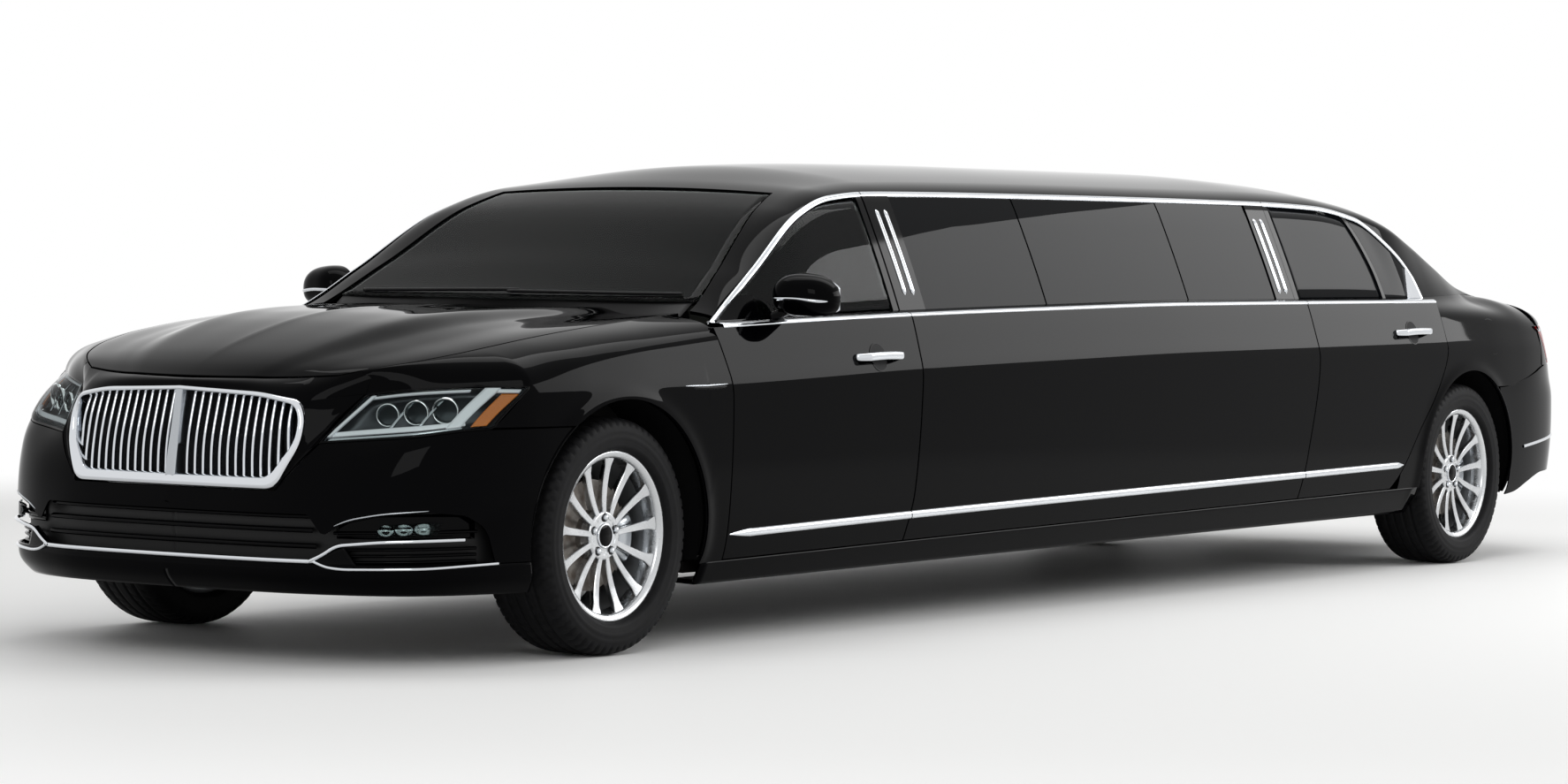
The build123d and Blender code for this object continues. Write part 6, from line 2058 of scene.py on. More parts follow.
# Out from the middle as a share of half the width, radius below the crown in metres.
TYRE_LINE = (
    (0.0, 0.0), (0.45, 0.0008), (0.74, 0.0035), (0.86, 0.0085), (0.93, 0.0160), (0.968, 0.027),
    (0.99, 0.041), (1.0, 0.056), (0.990, 0.074), (0.955, 0.0885), (0.900, 0.0955), (0.850, 0.0975),
    (0.815, 0.1010), (0.79, 0.1100),
)


def tyre():
    """Half profile and its mirror image as one closed ring. The tread is lowered by four
    grooves round it, and towards each shoulder by short cross grooves, 64 to the turn."""
    line_half = along(np.array(TYRE_LINE) * (TYRE_HALF, 1), 46)
    out = np.r_[line_half[::-1, 0], -line_half[1:, 0]]
    drop = np.r_[line_half[::-1, 1], line_half[1:, 1]]
    a = turn_of(TYRE_STEPS)[None]
    o, d = out[:, None], drop[:, None]
    share = np.abs(o) / TYRE_HALF
    ring = sum(np.clip(1.6 - np.abs(np.abs(o) - at) / 0.0032, 0, 1) for at in (0.020, 0.056)) * 0.0065
    phase = (a * CROSS_GROOVES / (2 * pi) + np.sign(o) * 0.25 + o * 9) % 1
    blocks = np.clip(
        (0.13 - np.abs(phase - 0.5)) / 0.05, 0, 1
    ) * smooth(0.62, 0.68, share) * (1 - smooth(0.95, 0.975, share))
    phase_in = (a * CROSS_GROOVES / (2 * pi) + o * 16) % 1
    sipes = np.clip(
        (0.06 - np.abs(phase_in - 0.5)) / 0.03, 0, 1
    ) * (1 - smooth(0.40, 0.44, share)) * smooth(0.20, 0.24, share)
    depth = np.maximum(ring, np.maximum(blocks * 0.0055, sipes * 0.003)) * (d < 0.045)
    rib = 0.0016 * sum(np.exp(-(((d - at) / 0.0022) ** 2)) for at in (0.040, 0.062, 0.086))
    narrow = 1 - depth * 0.9 * smooth(0.86, 0.95, share) / TYRE_HALF
    return spun(
        (o + np.sign(o) * rib) * narrow, TYRE_RADIUS - d - depth * (1 - 0.8 * smooth(0.90, 0.97, share)),
        TYRE_STEPS
    )


four("tyre", [tyre()], rubber, slot="rubber", around=True, middle=(0, 0, 0.295))
rim_profile = along(
    (
        (0.040, 0.2225), (0.086, 0.2290), (0.0965, 0.2345), (0.1005, 0.2440), (0.1020, 0.2500),
        (0.1000, 0.2526), (0.0950, 0.2522)
    ), 18
)
four(
    "rim_lip", [spun(*rim_profile.T, 128, closed=False)], alloy, around=True, outward=(1, 0, 0),
    slot="alloy"
)
barrel_profile = np.array(
    (
        (0.045, 0.2225), (0.0, 0.216), (-0.060, 0.214), (-0.095, 0.222), (-0.103, 0.2515),
        (-0.098, 0.2522), (-0.090, 0.228), (-0.06, 0.222), (0.0, 0.223), (0.06, 0.232), (0.094, 0.2520)
    )
)
four(
    "rim_barrel", [spun(*barrel_profile.T, 96, closed=False)], cast_alloy, around=True,
    middle=(0, 0, 0.218), slot="alloy"
)


# %% Spokes and hub
SPOKES = 13


def spoke(angle):
    """Flat-faced bar from hub to rim. Its half width goes from 11 to 22 mm with the radius, and
    its section is a shallow trapezium with broken edges."""
    r = np.r_[np.linspace(0.052, 0.205, 18), np.linspace(0.212, 0.2365, 8)][:, None]
    t = (r - 0.052) / 0.184
    half = 0.0085 + 0.0055 * t + 0.0085 * smooth(0.80, 1.0, t)
    face = 0.071 - 0.006 * np.sin(pi * np.clip(t, 0, 1)) + 0.018 * t**1.6
    deep = 0.030 - 0.012 * t
    side_at = np.array((-1.0, -0.86, -0.30, 0.30, 0.86, 1.0, 0.95, 0.60, -0.60, -0.95))[None]
    down_at = np.array((0.10, 0.0, -0.012, -0.012, 0.0, 0.10, 0.45, 1.0, 1.0, 0.45))[None]
    across_way, out = side_at * half, face - down_at * deep
    y = r * cos(angle) - across_way * sin(angle)
    z = r * sin(angle) + across_way * cos(angle)
    grid = np.stack([out, y, z], -1)
    return np.concatenate(
        [
            grid[:1].mean(1, keepdims=True).repeat(10, 1), grid,
            grid[-1:].mean(1, keepdims=True).repeat(10, 1)
        ]
    )


def ring_at(radius, count):
    """Points evenly round a circle, from the top, as (y, z)."""
    a = pi / 2 + turn_of(count)
    return np.stack([np.cos(a) * radius, np.sin(a) * radius], -1)


spokes = [spoke(pi / 2 + k * 2 * pi / SPOKES) for k in range(SPOKES)]
four("wheel_spokes", spokes, alloy, around=True, middle=(-0.2, 0, 0), slot="alloy", sharp=28)
hub_profile = along(
    (
        (0.030, 0.074), (0.060, 0.0735), (0.0685, 0.071), (0.0705, 0.066), (0.0690, 0.050),
        (0.0700, 0.0375)
    ), 26
)
four(
    "wheel_hub", [spun(*hub_profile.T, 96, closed=False)], alloy, around=True, outward=(1, 0, 0),
    slot="alloy"
)
cap_profile = along(((0.0700, 0.0375), (0.0745, 0.0360), (0.0755, 0.0335), (0.0745, 0.0315)), 12)
four(
    "cap_ring", [spun(*cap_profile.T, 64, closed=False)], chrome, around=True, outward=(1, 0, 0),
    slot="chrome"
)
r = np.linspace(0.0318, 0.0, 9)
four(
    "wheel_cap", [spun(0.0728 + 0.0045 * (1 - (r / 0.0318) ** 2), r, 64, closed=False)], gloss_black,
    around=True, outward=(1, 0, 0)
)


def nut(y, z):
    """Hexagon with a domed end: the radius swings between flats and corners six times a turn."""
    a = turn_of(36)
    hexa = 0.0086 / np.cos((a + pi / 6) % (pi / 3) - pi / 6)
    rows = ((0.060, 1.0), (0.0755, 1.0), (0.0775, 0.88), (0.0800, 0.60), (0.0808, 0.0))
    return np.stack(
        [
            np.stack([np.full(36, o), y + hexa * f * np.cos(a), z + hexa * f * np.sin(a)], -1)
            for o, f in rows
        ]
    )


nuts = [nut(y, z) for y, z in ring_at(0.0545, 5)]
# The wells that the nuts sit in are not bored into the hub: a flat black disc round each nut, just proud
# of the hub's face, is painted shade of its well.
well_shade_discs = [
    spun(np.array((0.0712, 0.0705)), np.array((0.0135, 0.0)), 32, closed=False) + (0, y, z)
    for y, z in ring_at(0.0545, 5)
]
four("wheel_nuts", nuts, chrome, around=True, outward=(1, 0, 0), slot="chrome", sharp=40)
four("wheel_nut_seats", well_shade_discs, moulded, around=True, outward=(1, 0, 0))
for end, hand, _, _ in CORNERS:
    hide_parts(f"tyre_{end}_{hand}")
    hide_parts(f"wheel_{end}_{hand}")


# %% Brakes and wheel-arch liners
disc_profile = np.array(
    (
        (0.052, 0.0), (0.052, 0.070), (0.020, 0.078), (0.016, 0.088), (0.014, 0.165), (-0.012, 0.165),
        (-0.014, 0.088), (-0.010, 0.0)
    )
)
four(
    "brake_disc", [spun(*disc_profile.T, 96, closed=False)], iron, around=True, middle=(0, 0, 0.0),
    slot="iron", sharp=30
)


def caliper():
    """Block that bridges the disc's edge over 50 degrees, its section a rounded box."""
    a = np.radians(np.linspace(158, 212, 22))[:, None]
    b = turn_of(20)[None]
    fade = np.sqrt(np.clip(1 - np.abs(np.linspace(-1, 1, 22))[:, None] ** 8, 0.0, 1))
    r = 0.150 + 0.040 * bent(np.cos(b), 0.4) * fade
    out = 0.003 + 0.034 * bent(np.sin(b), 0.4) * fade
    return np.stack([out + 0 * a, r * np.cos(a), r * np.sin(a)], -1)


for end, hand, sign, axle in CORNERS:
    place = np.array((sign * WHEEL_X, FRONT_AXLE + axle, AXLE_HEIGHT))
    carrier = f"knuckle_front_{hand}" if end == "front" else "chassis"
    piece(
        f"brake_caliper_{end}_{hand}", [caliper() * (sign, -1, 1) + place], satin_chrome, carrier,
        around=True, middle=place + (0, 0.15, 0), slot="iron"
    )
LINER_RADIUS, WELL_X = TYRE_RADIUS + 0.088, 0.500
for end, axle in (("front", 0.0), ("rear", WHEELBASE)):
    a = np.linspace(radians(-12), radians(192), 90)
    edge_y, edge_z = axle - ARCH_RADIUS * np.cos(a), AXLE_HEIGHT + ARCH_RADIUS * np.sin(a)
    lip_edge = side(edge_y, edge_z, -0.002)
    inner_y, inner_z = axle - LINER_RADIUS * np.cos(a), AXLE_HEIGHT + LINER_RADIUS * np.sin(a)
    lip_in = np.stack([lip_edge[:, 0] - 0.030, inner_y + FRONT_AXLE, inner_z], -1)
    roll = np.stack([lip_edge[:, 0] - 0.018, edge_y + FRONT_AXLE, edge_z], -1)
    back = np.stack([np.full(90, WELL_X), inner_y + FRONT_AXLE, inner_z], -1)
    centre = np.stack(
        [np.full(90, WELL_X), np.full(90, axle + FRONT_AXLE), np.full(90, AXLE_HEIGHT + 0.14)], -1
    )
    pair(
        f"arch_return_{end}", [np.stack([lip_edge, roll])], paint, middle=(0.9, FRONT_AXLE + axle, 2.0),
        thickness=0.002
    )
    ribs = ruled(lip_in, back, 14)
    ribs[..., 2] += 0.002 * np.sin(np.arange(14) * 2.6)[:, None]
    pair(
        f"arch_liner_{end}", [np.concatenate([np.stack([roll]), ribs]), ruled(back, centre, 6)], felt,
        middle=(0.7, FRONT_AXLE + axle, 5.0)
    )

# %% [markdown]
# ## Tail
# The tail is drawn like the nose: a plan curve round the back, and an inset that changes with
# the height. The boot lid is cut out of it, with its own crowned deck, and the lamps wrap
# round its corners.

# %% Tail surface
TAIL_PLAN = (
    (0, 6.700), (0.20, 6.6965), (0.40, 6.685), (0.60, 6.650), (0.75, 6.580), (0.85, 6.450),
    (0.909, 6.250), (0.936, 6.000), (0.9435, 5.850), (0.947, 5.780),
)
TAIL_HEIGHTS = (0.22, 0.26, 0.32, 0.42, 0.52, 0.60, 0.66, 0.70, 0.78, 0.86, 0.93, 1.00)
TAIL_INSETS = (
    (0.000, 0.070, 0.040, 0.022, 0.008, 0.000, 0.002, 0.012, 0.030, 0.052, 0.068, 0.080, 0.098),
    (0.400, 0.070, 0.040, 0.022, 0.008, 0.000, 0.002, 0.012, 0.030, 0.052, 0.068, 0.082, 0.104),
    (0.640, 0.070, 0.040, 0.020, 0.006, 0.000, 0.001, 0.010, 0.026, 0.050, 0.074, 0.100, 0.130),
    (0.770, 0.066, 0.036, 0.018, 0.005, 0.000, 0.000, 0.006, 0.016, 0.032, 0.056, 0.086, 0.120),
    (0.860, 0.058, 0.032, 0.016, 0.005, 0.000, 0.000, 0.003, 0.010, 0.021, 0.041, 0.064, 0.095),
    (0.909, 0.050, 0.028, 0.015, 0.006, 0.001, 0.000, 0.000, 0.001, 0.002, 0.012, 0.033, 0.060),
    (0.944, 0.050, 0.028, 0.015, 0.006, 0.001, 0.000, 0.000, 0.001, 0.003, 0.013, 0.034, 0.062),
)
tail, tail_at_x, tail_at_y = body_end(TAIL_PLAN, TAIL_HEIGHTS, TAIL_INSETS, -1)
LID_X, LID_FOOT = 0.642, 0.662
LAMP_FOOT, LAMP_HEAD = 0.770, 0.926
TAIL_INSIDE, TAIL_LAMP_INSIDE = (0.2, FRONT_AXLE + 6.0, 0.5), (0.3, FRONT_AXLE + 6.0, 0.85)
run_lid, run_seam = float(tail_at_x(LID_X)), float(tail_at_y(5.875))
print("tail at the middle", np.round(tail(0.0, 0.52), 3))

# %% Rear bumper
def tail_to_arch(run, z):
    """Draws the places near the wheel together, so that the last one lies on the arch."""
    split = tail_at_y(6.15)
    last = tail_at_y(WHEELBASE + np.sqrt(ARCH_RADIUS**2 - (np.asarray(z) - AXLE_HEIGHT) ** 2))
    return np.where(run > split, split + (run - split) * (last - split) / (run_seam - split), run)


rear_run = np.unique(
    np.r_[
        np.linspace(0, run_lid, 20), np.linspace(run_lid, run_lid + 0.004, 3),
        np.linspace(run_lid, run_seam, 60)
    ]
)
seam_y = tail(rear_run, 0.72)[:, 1] - FRONT_AXLE
rear_top = np.where(
    rear_run <= run_lid + 0.0005, LID_FOOT - GAP,
    np.where(seam_y > 6.25, LAMP_FOOT - GAP / 2, bumper_seam(seam_y) - GAP / 2)
)
foot_y = tail(rear_run, 0.30)[:, 1] - FRONT_AXLE
rear_foot = steady(
    ((5.80, 0.250), (5.95, 0.262), (6.10, 0.300), (6.28, 0.334), (6.50, 0.337), (6.80, 0.330)), foot_y
)
rear_z = ruled(rear_foot, rear_top, 24)
pair(
    "rear_bumper_cover", [tail(tail_to_arch(rear_run, rear_z), rear_z)], paint, slot="black_paint",
    thickness=0.005, edge=0.0015, middle=TAIL_INSIDE
)
valance_x = np.linspace(-0.60, 0.60, 60)
valance_run = tail_at_x(np.abs(valance_x))
valance = on_its_side(tail(valance_run, level_rows(0.245, 0.350, 60, 8), -0.030), valance_x)
piece("rear_valance", [valance], moulded, outward=(0, 1, 0), thickness=0.006)


def tail_strip(points, count, width, proud, out=0.0, **how):
    """Moulding on the tail along (run, z) points."""
    at = evenly(rounded(points, 0.02), count)
    return moulding(
        tail(at[:, 0], at[:, 1], out), outwards_of(tail, at[:, 0], at[:, 1]), width, proud, **how
    )


rear_line = tail_strip(
    ((0, 0.492), (run_lid, 0.490), (float(tail_at_y(6.42)), 0.477), (float(tail_at_y(6.03)), 0.444)), 160,
    0.013, 0.006
)
pair("rear_bumper_bright_line", [rear_line], chrome, slot="chrome", middle=TAIL_INSIDE)
reflector = tail_strip(
    ((float(tail_at_x(0.62)), 0.400), (float(tail_at_x(0.80)), 0.408)), 50, 0.026, 0.003, taper=0.08
)
pair("rear_reflector", [reflector], red_lens, slot="red_lamp", middle=(0.2, FRONT_AXLE + 6.0, 0.4))
plate_x = np.linspace(0, 0.165, 12)
pad = tail(tail_at_x(plate_x), level_rows(0.455, 0.620, 12, 10), 0.002)
pair("rear_plate_pad", [pad], moulded, thickness=0.003, edge=0.001, middle=(0, FRONT_AXLE + 6.0, 0.5))
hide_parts("rear_bumper")

# %% Boot lid
LID_SIDE = (
    (0.675, 6.105, 1.038), (0.668, 6.222, 1.024), (0.660, 6.350, 1.006), (0.652, 6.470, 0.986),
    (0.645, 6.560, 0.964)
)
LID_MID = (
    (0.0, 6.105, 1.108), (0.0, 6.222, 1.101), (0.0, 6.350, 1.087), (0.0, 6.470, 1.064),
    (0.0, 6.585, 1.030)
)
lid_side, lid_mid = along(LID_SIDE, 50), along(LID_MID, 50)
lid_u = np.linspace(-1, 1, 81)[None, :, None]
w = np.abs(lid_u)
deck = lid_side[:, None] * w**2.6 + lid_mid[:, None] * (1 - w**2.6)
deck[..., 0] = (lid_side[:, None, 0] * lid_u[..., 0]) * (1 - GAP / 0.66)
deck = deck + (0, FRONT_AXLE, 0)
face_top = 0.972 - 0.036 * np.abs(lid_u[0, :, 0]) ** 2.6
face_run = tail_at_x(np.abs(lid_u[0, :, 0]) * LID_X * (1 - GAP / 0.66))
face = on_its_side(tail(face_run, ruled(face_top, np.full(81, LID_FOOT), 30)), lid_u[0, :, 0])
lip = bend_over(deck[-1], deck[-1] - deck[-3], face[0], face[1] - face[0], 12)
piece(
    "boot_lid_skin", [deck, lip, face], paint, "boot_lid", "black_paint",
    middle=(0, FRONT_AXLE + 6.0, 0.8), thickness=0.012, edge=0.002
)
under_u, under_t = np.meshgrid(np.linspace(3, 77, 50).astype(int), np.linspace(2, 47, 30).astype(int))
under = deck[under_t, under_u] - (0, 0, 0.022)
piece("boot_lid_lining", [under], felt, "boot_lid", outward=(0, 0, -1), thickness=0.005)
lid_lamp_run = np.linspace(float(tail_at_x(0.40)), float(tail_at_x(0.632)), 24)
lid_lamp_low = np.interp(lid_lamp_run, lid_lamp_run[[0, -1]], (0.805, 0.776))
lid_lamp = tail(
    lid_lamp_run, ruled(lid_lamp_low, np.interp(lid_lamp_run, lid_lamp_run[[0, -1]], (0.875, 0.905)), 10),
    0.003
)
pair(
    "lid_lamp_lens", [lid_lamp], red_lens, "boot_lid", slot="red_lamp", thickness=0.008, edge=0.002,
    middle=(0.1, FRONT_AXLE + 6.0, 0.8)
)
t = np.linspace(-1, 1, 90)
bar_run = tail_at_x(np.abs(t) * 0.385)
bar_path = on_its_side(tail(bar_run, 0.842 - 0.003 * np.abs(t), 0.001), t)
bar_out = ways(0, 1, 0.25, t)
piece(
    "boot_lid_bright_line", [moulding(bar_path, bar_out, 0.020, 0.006, taper=0.03)], chrome, "boot_lid",
    "chrome", outward=(0, 1, 0)
)
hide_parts("boot_lid")

# %% Tail lamps and rear corners
lamp_s = np.linspace(0, 1, 50)


def lamp_run_at(z, s=lamp_s):
    """Places along the lamp at height z. Its front end slants back from the top to the foot."""
    z = np.asarray(z, float)
    slant = tail_at_y(6.205 + 0.135 * np.clip((LAMP_HEAD - z) / (LAMP_HEAD - LAMP_FOOT), 0, 1))
    return run_lid + 0.004 + (slant - run_lid - 0.004) * s


def lamp_grid(z_low, z_high, rows, out):
    """Part of the lamp's surface between two heights."""
    z = level_rows(z_low, z_high, 50, rows)
    return tail(lamp_run_at(z), z, out)


pair(
    "tail_lamp_lens", [lamp_grid(LAMP_FOOT + GAP / 2, LAMP_HEAD - GAP / 2, 18, 0.001)], red_lens,
    slot="red_lamp", thickness=0.008, edge=0.002, middle=TAIL_LAMP_INSIDE
)
pair(
    "tail_lamp_bright_edge", [lamp_grid(0.902, 0.914, 4, 0.0024), lamp_grid(0.787, 0.792, 4, 0.0024)],
    satin_chrome, thickness=0.002, middle=TAIL_LAMP_INSIDE
)
pair(
    "tail_lamp_housing", [lamp_grid(LAMP_FOOT, LAMP_HEAD, 6, -0.040)], gloss_black, thickness=0.003,
    middle=TAIL_LAMP_INSIDE
)
fill_z = level_rows(LAMP_FOOT - GAP / 2, LAMP_HEAD + GAP / 2, 12, 18)
fill_near = float(tail_at_y(QUARTER_END)) + 0 * fill_z
fill_run = fill_near + (lamp_run_at(fill_z, 1.0) - 0.0012 - fill_near) * np.linspace(0, 1, 12)
pair(
    "tail_lamp_cheek", [tail(fill_run, fill_z)], paint, slot="black_paint", thickness=0.006, edge=0.001,
    middle=TAIL_LAMP_INSIDE
)
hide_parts("tail_lamps")
corner_run = np.linspace(float(tail_at_y(QUARTER_END)), run_lid + 0.004, 50)
corner_low = tail(corner_run, np.full(50, LAMP_HEAD + GAP / 2))
corner_low[0] = side(np.array(QUARTER_END), np.array(LAMP_HEAD + GAP / 2))
corner_edge = along(np.array(LID_SIDE)[1:], 50) + (GAP, FRONT_AXLE, 0)
corner_edge[-1] = tail(run_lid + 0.004, 0.962)
up_way = tail(corner_run, LAMP_HEAD + 0.012) - tail(corner_run, LAMP_HEAD)
corner = bend_over(corner_low, up_way, corner_edge, ways(-1, 0, 0.16, corner_run), 16)
pair(
    "rear_corner", [corner], paint, slot="black_paint", thickness=0.006,
    middle=(0.3, FRONT_AXLE + 6.2, 0.8)
)
gutter_low = back_at(np.linspace(-1, 1, 61), np.zeros(61), -0.010)
gutter_high = deck[0, np.linspace(0, 80, 61).astype(int)] - (0, 0.003, 0.010)
piece(
    "rear_window_cowl", [ruled(gutter_low, gutter_high, 8)], paint, outward=(0, 0.2, 1), thickness=0.004
)
EXHAUST_X, EXHAUST_Z = 0.45, 0.182


def exhaust_tube(y, size, half_wide, half_high):
    """Flattened tube: a superellipse scaled by size at each y, so it can turn back into itself."""
    size, y = np.array(size)[:, None], np.array(y)[:, None]
    a = turn_of(40)[None]
    px = EXHAUST_X + size * half_wide * bent(np.cos(a), 0.6)
    pz = EXHAUST_Z + size * half_high * bent(np.sin(a), 0.6)
    return xyz(px, y + 0 * px, pz)


silencer = exhaust_tube(
    (6.075, 6.075, 6.10, 6.36, 6.40, 6.40), (0.0, 0.85, 1.0, 1.0, 0.85, 0.0), 0.105, 0.036
)
tip = exhaust_tube((6.38, 6.486, 6.492, 6.488, 6.40), (0.97, 1.0, 0.98, 0.93, 0.90), 0.058, 0.030)
pair(
    "exhaust_silencer", [silencer], stainless, slot="steel", around=True,
    middle=(EXHAUST_X, FRONT_AXLE + 6.25, EXHAUST_Z)
)
pair(
    "exhaust_tip", [tip], stainless, slot="steel", around=True,
    middle=(EXHAUST_X, FRONT_AXLE + 6.44, EXHAUST_Z)
)
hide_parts("exhaust")

# %% [markdown]
# ## Cabin
# The driver's part has a padded dash, a wheel with three spokes and two bucket seats. Behind
# the partition a long couch runs down the right side, and a bench closes the rear.

# %% Dash and console
def swept(profile, x, sweep=0.0):
    """Profile of (y, z) points carried across the car. Its ends lie sweep further ahead."""
    p = along(profile, 40)[:, None]
    across = np.asarray(x)[None, :, None]
    bow = sweep * (across[..., 0] / np.abs(x).max()) ** 2
    return xyz(across[..., 0] + 0 * p[..., 0], p[..., 0] - bow, p[..., 1] + 0 * bow)


def box_round(low, high, rows=9, power=4.0):
    """Closed box with soft edges: a superellipsoid whose exponent is set by power."""
    low, high = np.array(low, float), np.array(high, float)
    lat, lon = np.meshgrid(np.linspace(-pi / 2, pi / 2, 4 * rows + 1), turn_of(8 * rows), indexing="ij")
    up, out, across, along_y = (
        bent(v, 2 / power) for v in (np.sin(lat), np.cos(lat), np.cos(lon), np.sin(lon))
    )
    ball = np.stack([out * across, out * along_y, up], -1)
    return (low + high) / 2 + ball * (high - low) / 2 + (0, FRONT_AXLE, 0)


DASH = (
    (0.640, 0.930), (0.700, 0.952), (0.840, 0.958), (0.930, 0.950), (0.985, 0.925), (1.000, 0.880),
    (0.980, 0.820), (0.945, 0.740), (0.920, 0.660), (0.905, 0.600)
)
dash_x = np.linspace(-0.765, 0.765, 64)
dash = swept(DASH, dash_x, 0.045)
hood = np.exp(-(((dash[..., 0] - 0.36) / 0.16) ** 4)) * smooth(
    FRONT_AXLE + 0.80, FRONT_AXLE + 0.93, dash[..., 1]
) * smooth(0.84, 0.93, dash[..., 2])
dash[..., 2] += 0.034 * hood
dash[..., 1] += 0.030 * hood
piece("dash_cover", [dash], dash_skin, slot="trim", outward=(0, 1, 1), thickness=0.010, edge=0.002)
t = np.linspace(-0.74, 0.74, 60)
inlay_path = xyz(t, 0.988 - 0.045 * (t / 0.765) ** 2, 0.846 + 0 * t)
piece(
    "dash_veneer", [moulding(inlay_path, (0, 1, -0.25), 0.036, 0.006, power=0.7)], veneer,
    outward=(0, 1, 0)
)
piece(
    "dash_bright_line", [moulding(inlay_path + (0, 0.003, 0.024), (0, 1, -0.25), 0.004, 0.004)],
    satin_chrome, outward=(0, 1, 0)
)
piece(
    "centre_screen", [box_round((-0.120, 0.975, 0.862), (0.120, 1.006, 0.945))], gloss_black, around=True,
    middle=(0, FRONT_AXLE + 0.99, 0.903)
)
piece(
    "instrument_panel", [box_round((0.235, 0.985, 0.870), (0.485, 1.012, 0.952))], gloss_black,
    around=True, middle=(0.36, FRONT_AXLE + 1.0, 0.91)
)
vents = [box_round((x - 0.055, 0.955, 0.885), (x + 0.055, 0.992, 0.925), 5) for x in (-0.60, -0.22, 0.62)]
for number, grid in enumerate(vents, 1):
    piece(f"air_vent_{number}", [grid], satin_chrome, around=True, middle=grid.reshape(-1, 3).mean(0))
console = box_round((-0.120, 0.900, 0.250), (0.120, 1.660, 0.545), 12, 7.0)
console[..., 2] += 0.10 * smooth(
    1.25, 0.90, console[..., 1] - FRONT_AXLE
) * smooth(0.3, 0.545, console[..., 2])
piece("centre_console", [console], dash_skin, slot="trim", around=True, middle=(0, FRONT_AXLE + 1.3, 0.4))
piece(
    "console_veneer", [box_round((-0.085, 1.10, 0.535), (0.085, 1.36, 0.556))], veneer, around=True,
    middle=(0, FRONT_AXLE + 1.23, 0.545)
)
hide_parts("dashboard")
rearview = box_round((-0.125, 1.085, 1.215), (0.125, 1.110, 1.280), 8, 3.0)
piece("rear_view_mirror", [rearview], gloss_black, around=True, middle=(0, FRONT_AXLE + 1.097, 1.247))
piece(
    "rear_view_mirror_stem",
    [tube(xyz(np.zeros(8), np.linspace(1.055, 1.10, 8), np.linspace(1.275, 1.25, 8)), 0.012, 0.012)],
    moulded, around=True, middle=(0, FRONT_AXLE + 1.08, 1.262)
)

# %% Steering wheel
RAKE = radians(24)
wheel_axis = np.array((0, cos(RAKE), sin(RAKE)))
wheel_up = np.array((0, -sin(RAKE), cos(RAKE)))
wheel_mid = np.array((0.36, 1.120 + FRONT_AXLE, 0.905)) - 0.019 * wheel_axis


def wheel_place(across, up, out):
    """Point of the wheel's plane, out along the column."""
    across, up, out = (np.asarray(v)[..., None] for v in (across, up, out))
    return wheel_mid + across * (1, 0, 0) + up * wheel_up + out * wheel_axis


a, b = np.meshgrid(np.linspace(0, 2 * pi, 73), turn_of(16), indexing="ij")
ring = 0.182 + 0.0155 * np.cos(b)
rim_grid = wheel_place(ring * np.cos(a), ring * np.sin(a), 0.0155 * np.sin(b))
piece("steering_wheel_rim", [rim_grid], leather, "steering_wheel", "trim", around=True, middle=wheel_mid)
spokes = []
for angle in (radians(-8), radians(188), radians(270)):
    s = np.linspace(0.045, 0.180, 14)
    spokes.append(
        tube(
            wheel_place(s * cos(angle), s * sin(angle), -0.012 + 0.010 * (s / 0.18)),
            0.034 - 0.06 * (s - 0.045), 0.013, up=wheel_axis, sides=12
        )
    )
piece("steering_wheel_spokes", spokes, satin_chrome, "steering_wheel", around=True, middle=wheel_mid)
lat, lon = np.meshgrid(np.linspace(-pi / 2, pi / 2, 17), turn_of(40), indexing="ij")
hub = wheel_place(
    0.074 * np.cos(lat) * np.cos(lon), 0.066 * np.cos(lat) * np.sin(lon), 0.022 * np.sin(lat) - 0.006
)
piece("steering_wheel_hub", [hub], dash_skin, "steering_wheel", "trim", around=True, middle=wheel_mid)
shroud = tube(
    wheel_place(np.zeros(12), np.zeros(12), np.linspace(-0.22, -0.035, 12)), 0.085, 0.085, up=(0, 0, 1),
    sides=24
)
piece("steering_column_shroud", [shroud], moulded, around=True, middle=wheel_mid - 0.13 * wheel_axis)
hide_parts("steering_wheel")

# %% [markdown]
# ## Upholstery
# A seat is foam under leather. Each pad starts as a closed box with rounded corners, a little
# smaller than it ends. Cloth with air pressure inside swells it, so that the faces crown and
# the sides pull in, and sewn channels are pressed in afterwards.

# %% Pads
def swell(obj, cap, voxel, pressure=4.0):
    """Remeshes the pad evenly and lets Cloth with air pressure blow it up for 20 frames. No
    point moves further than cap."""
    bpy.context.view_layer.objects.active = obj
    remesh = obj.modifiers.new("even mesh", "REMESH")
    remesh.mode, remesh.voxel_size = "VOXEL", voxel
    bpy.ops.object.modifier_apply(modifier=remesh.name)
    before = np.empty(len(obj.data.vertices) * 3)
    obj.data.vertices.foreach_get("co", before)
    cloth = obj.modifiers.new("air", "CLOTH")
    cloth.settings.use_pressure, cloth.settings.uniform_pressure_force = True, pressure
    cloth.settings.effector_weights.gravity = 0
    cloth.settings.quality = 4
    cloth.point_cache.frame_start, cloth.point_cache.frame_end = 1, 20
    for frame_number in range(1, 21):
        bpy.context.scene.frame_set(frame_number)
    bpy.ops.object.modifier_apply(modifier=cloth.name)
    after = np.empty_like(before)
    obj.data.vertices.foreach_get("co", after)
    moved = (after - before).reshape(-1, 3)
    far = np.linalg.norm(moved, axis=1, keepdims=True)
    kept = before.reshape(-1, 3) + moved * np.minimum(1, cap / np.maximum(far, 1e-9))
    obj.data.vertices.foreach_set("co", kept.ravel())
    bpy.context.scene.frame_set(1)
    print(obj.name, "swollen,", len(obj.data.vertices), "points")


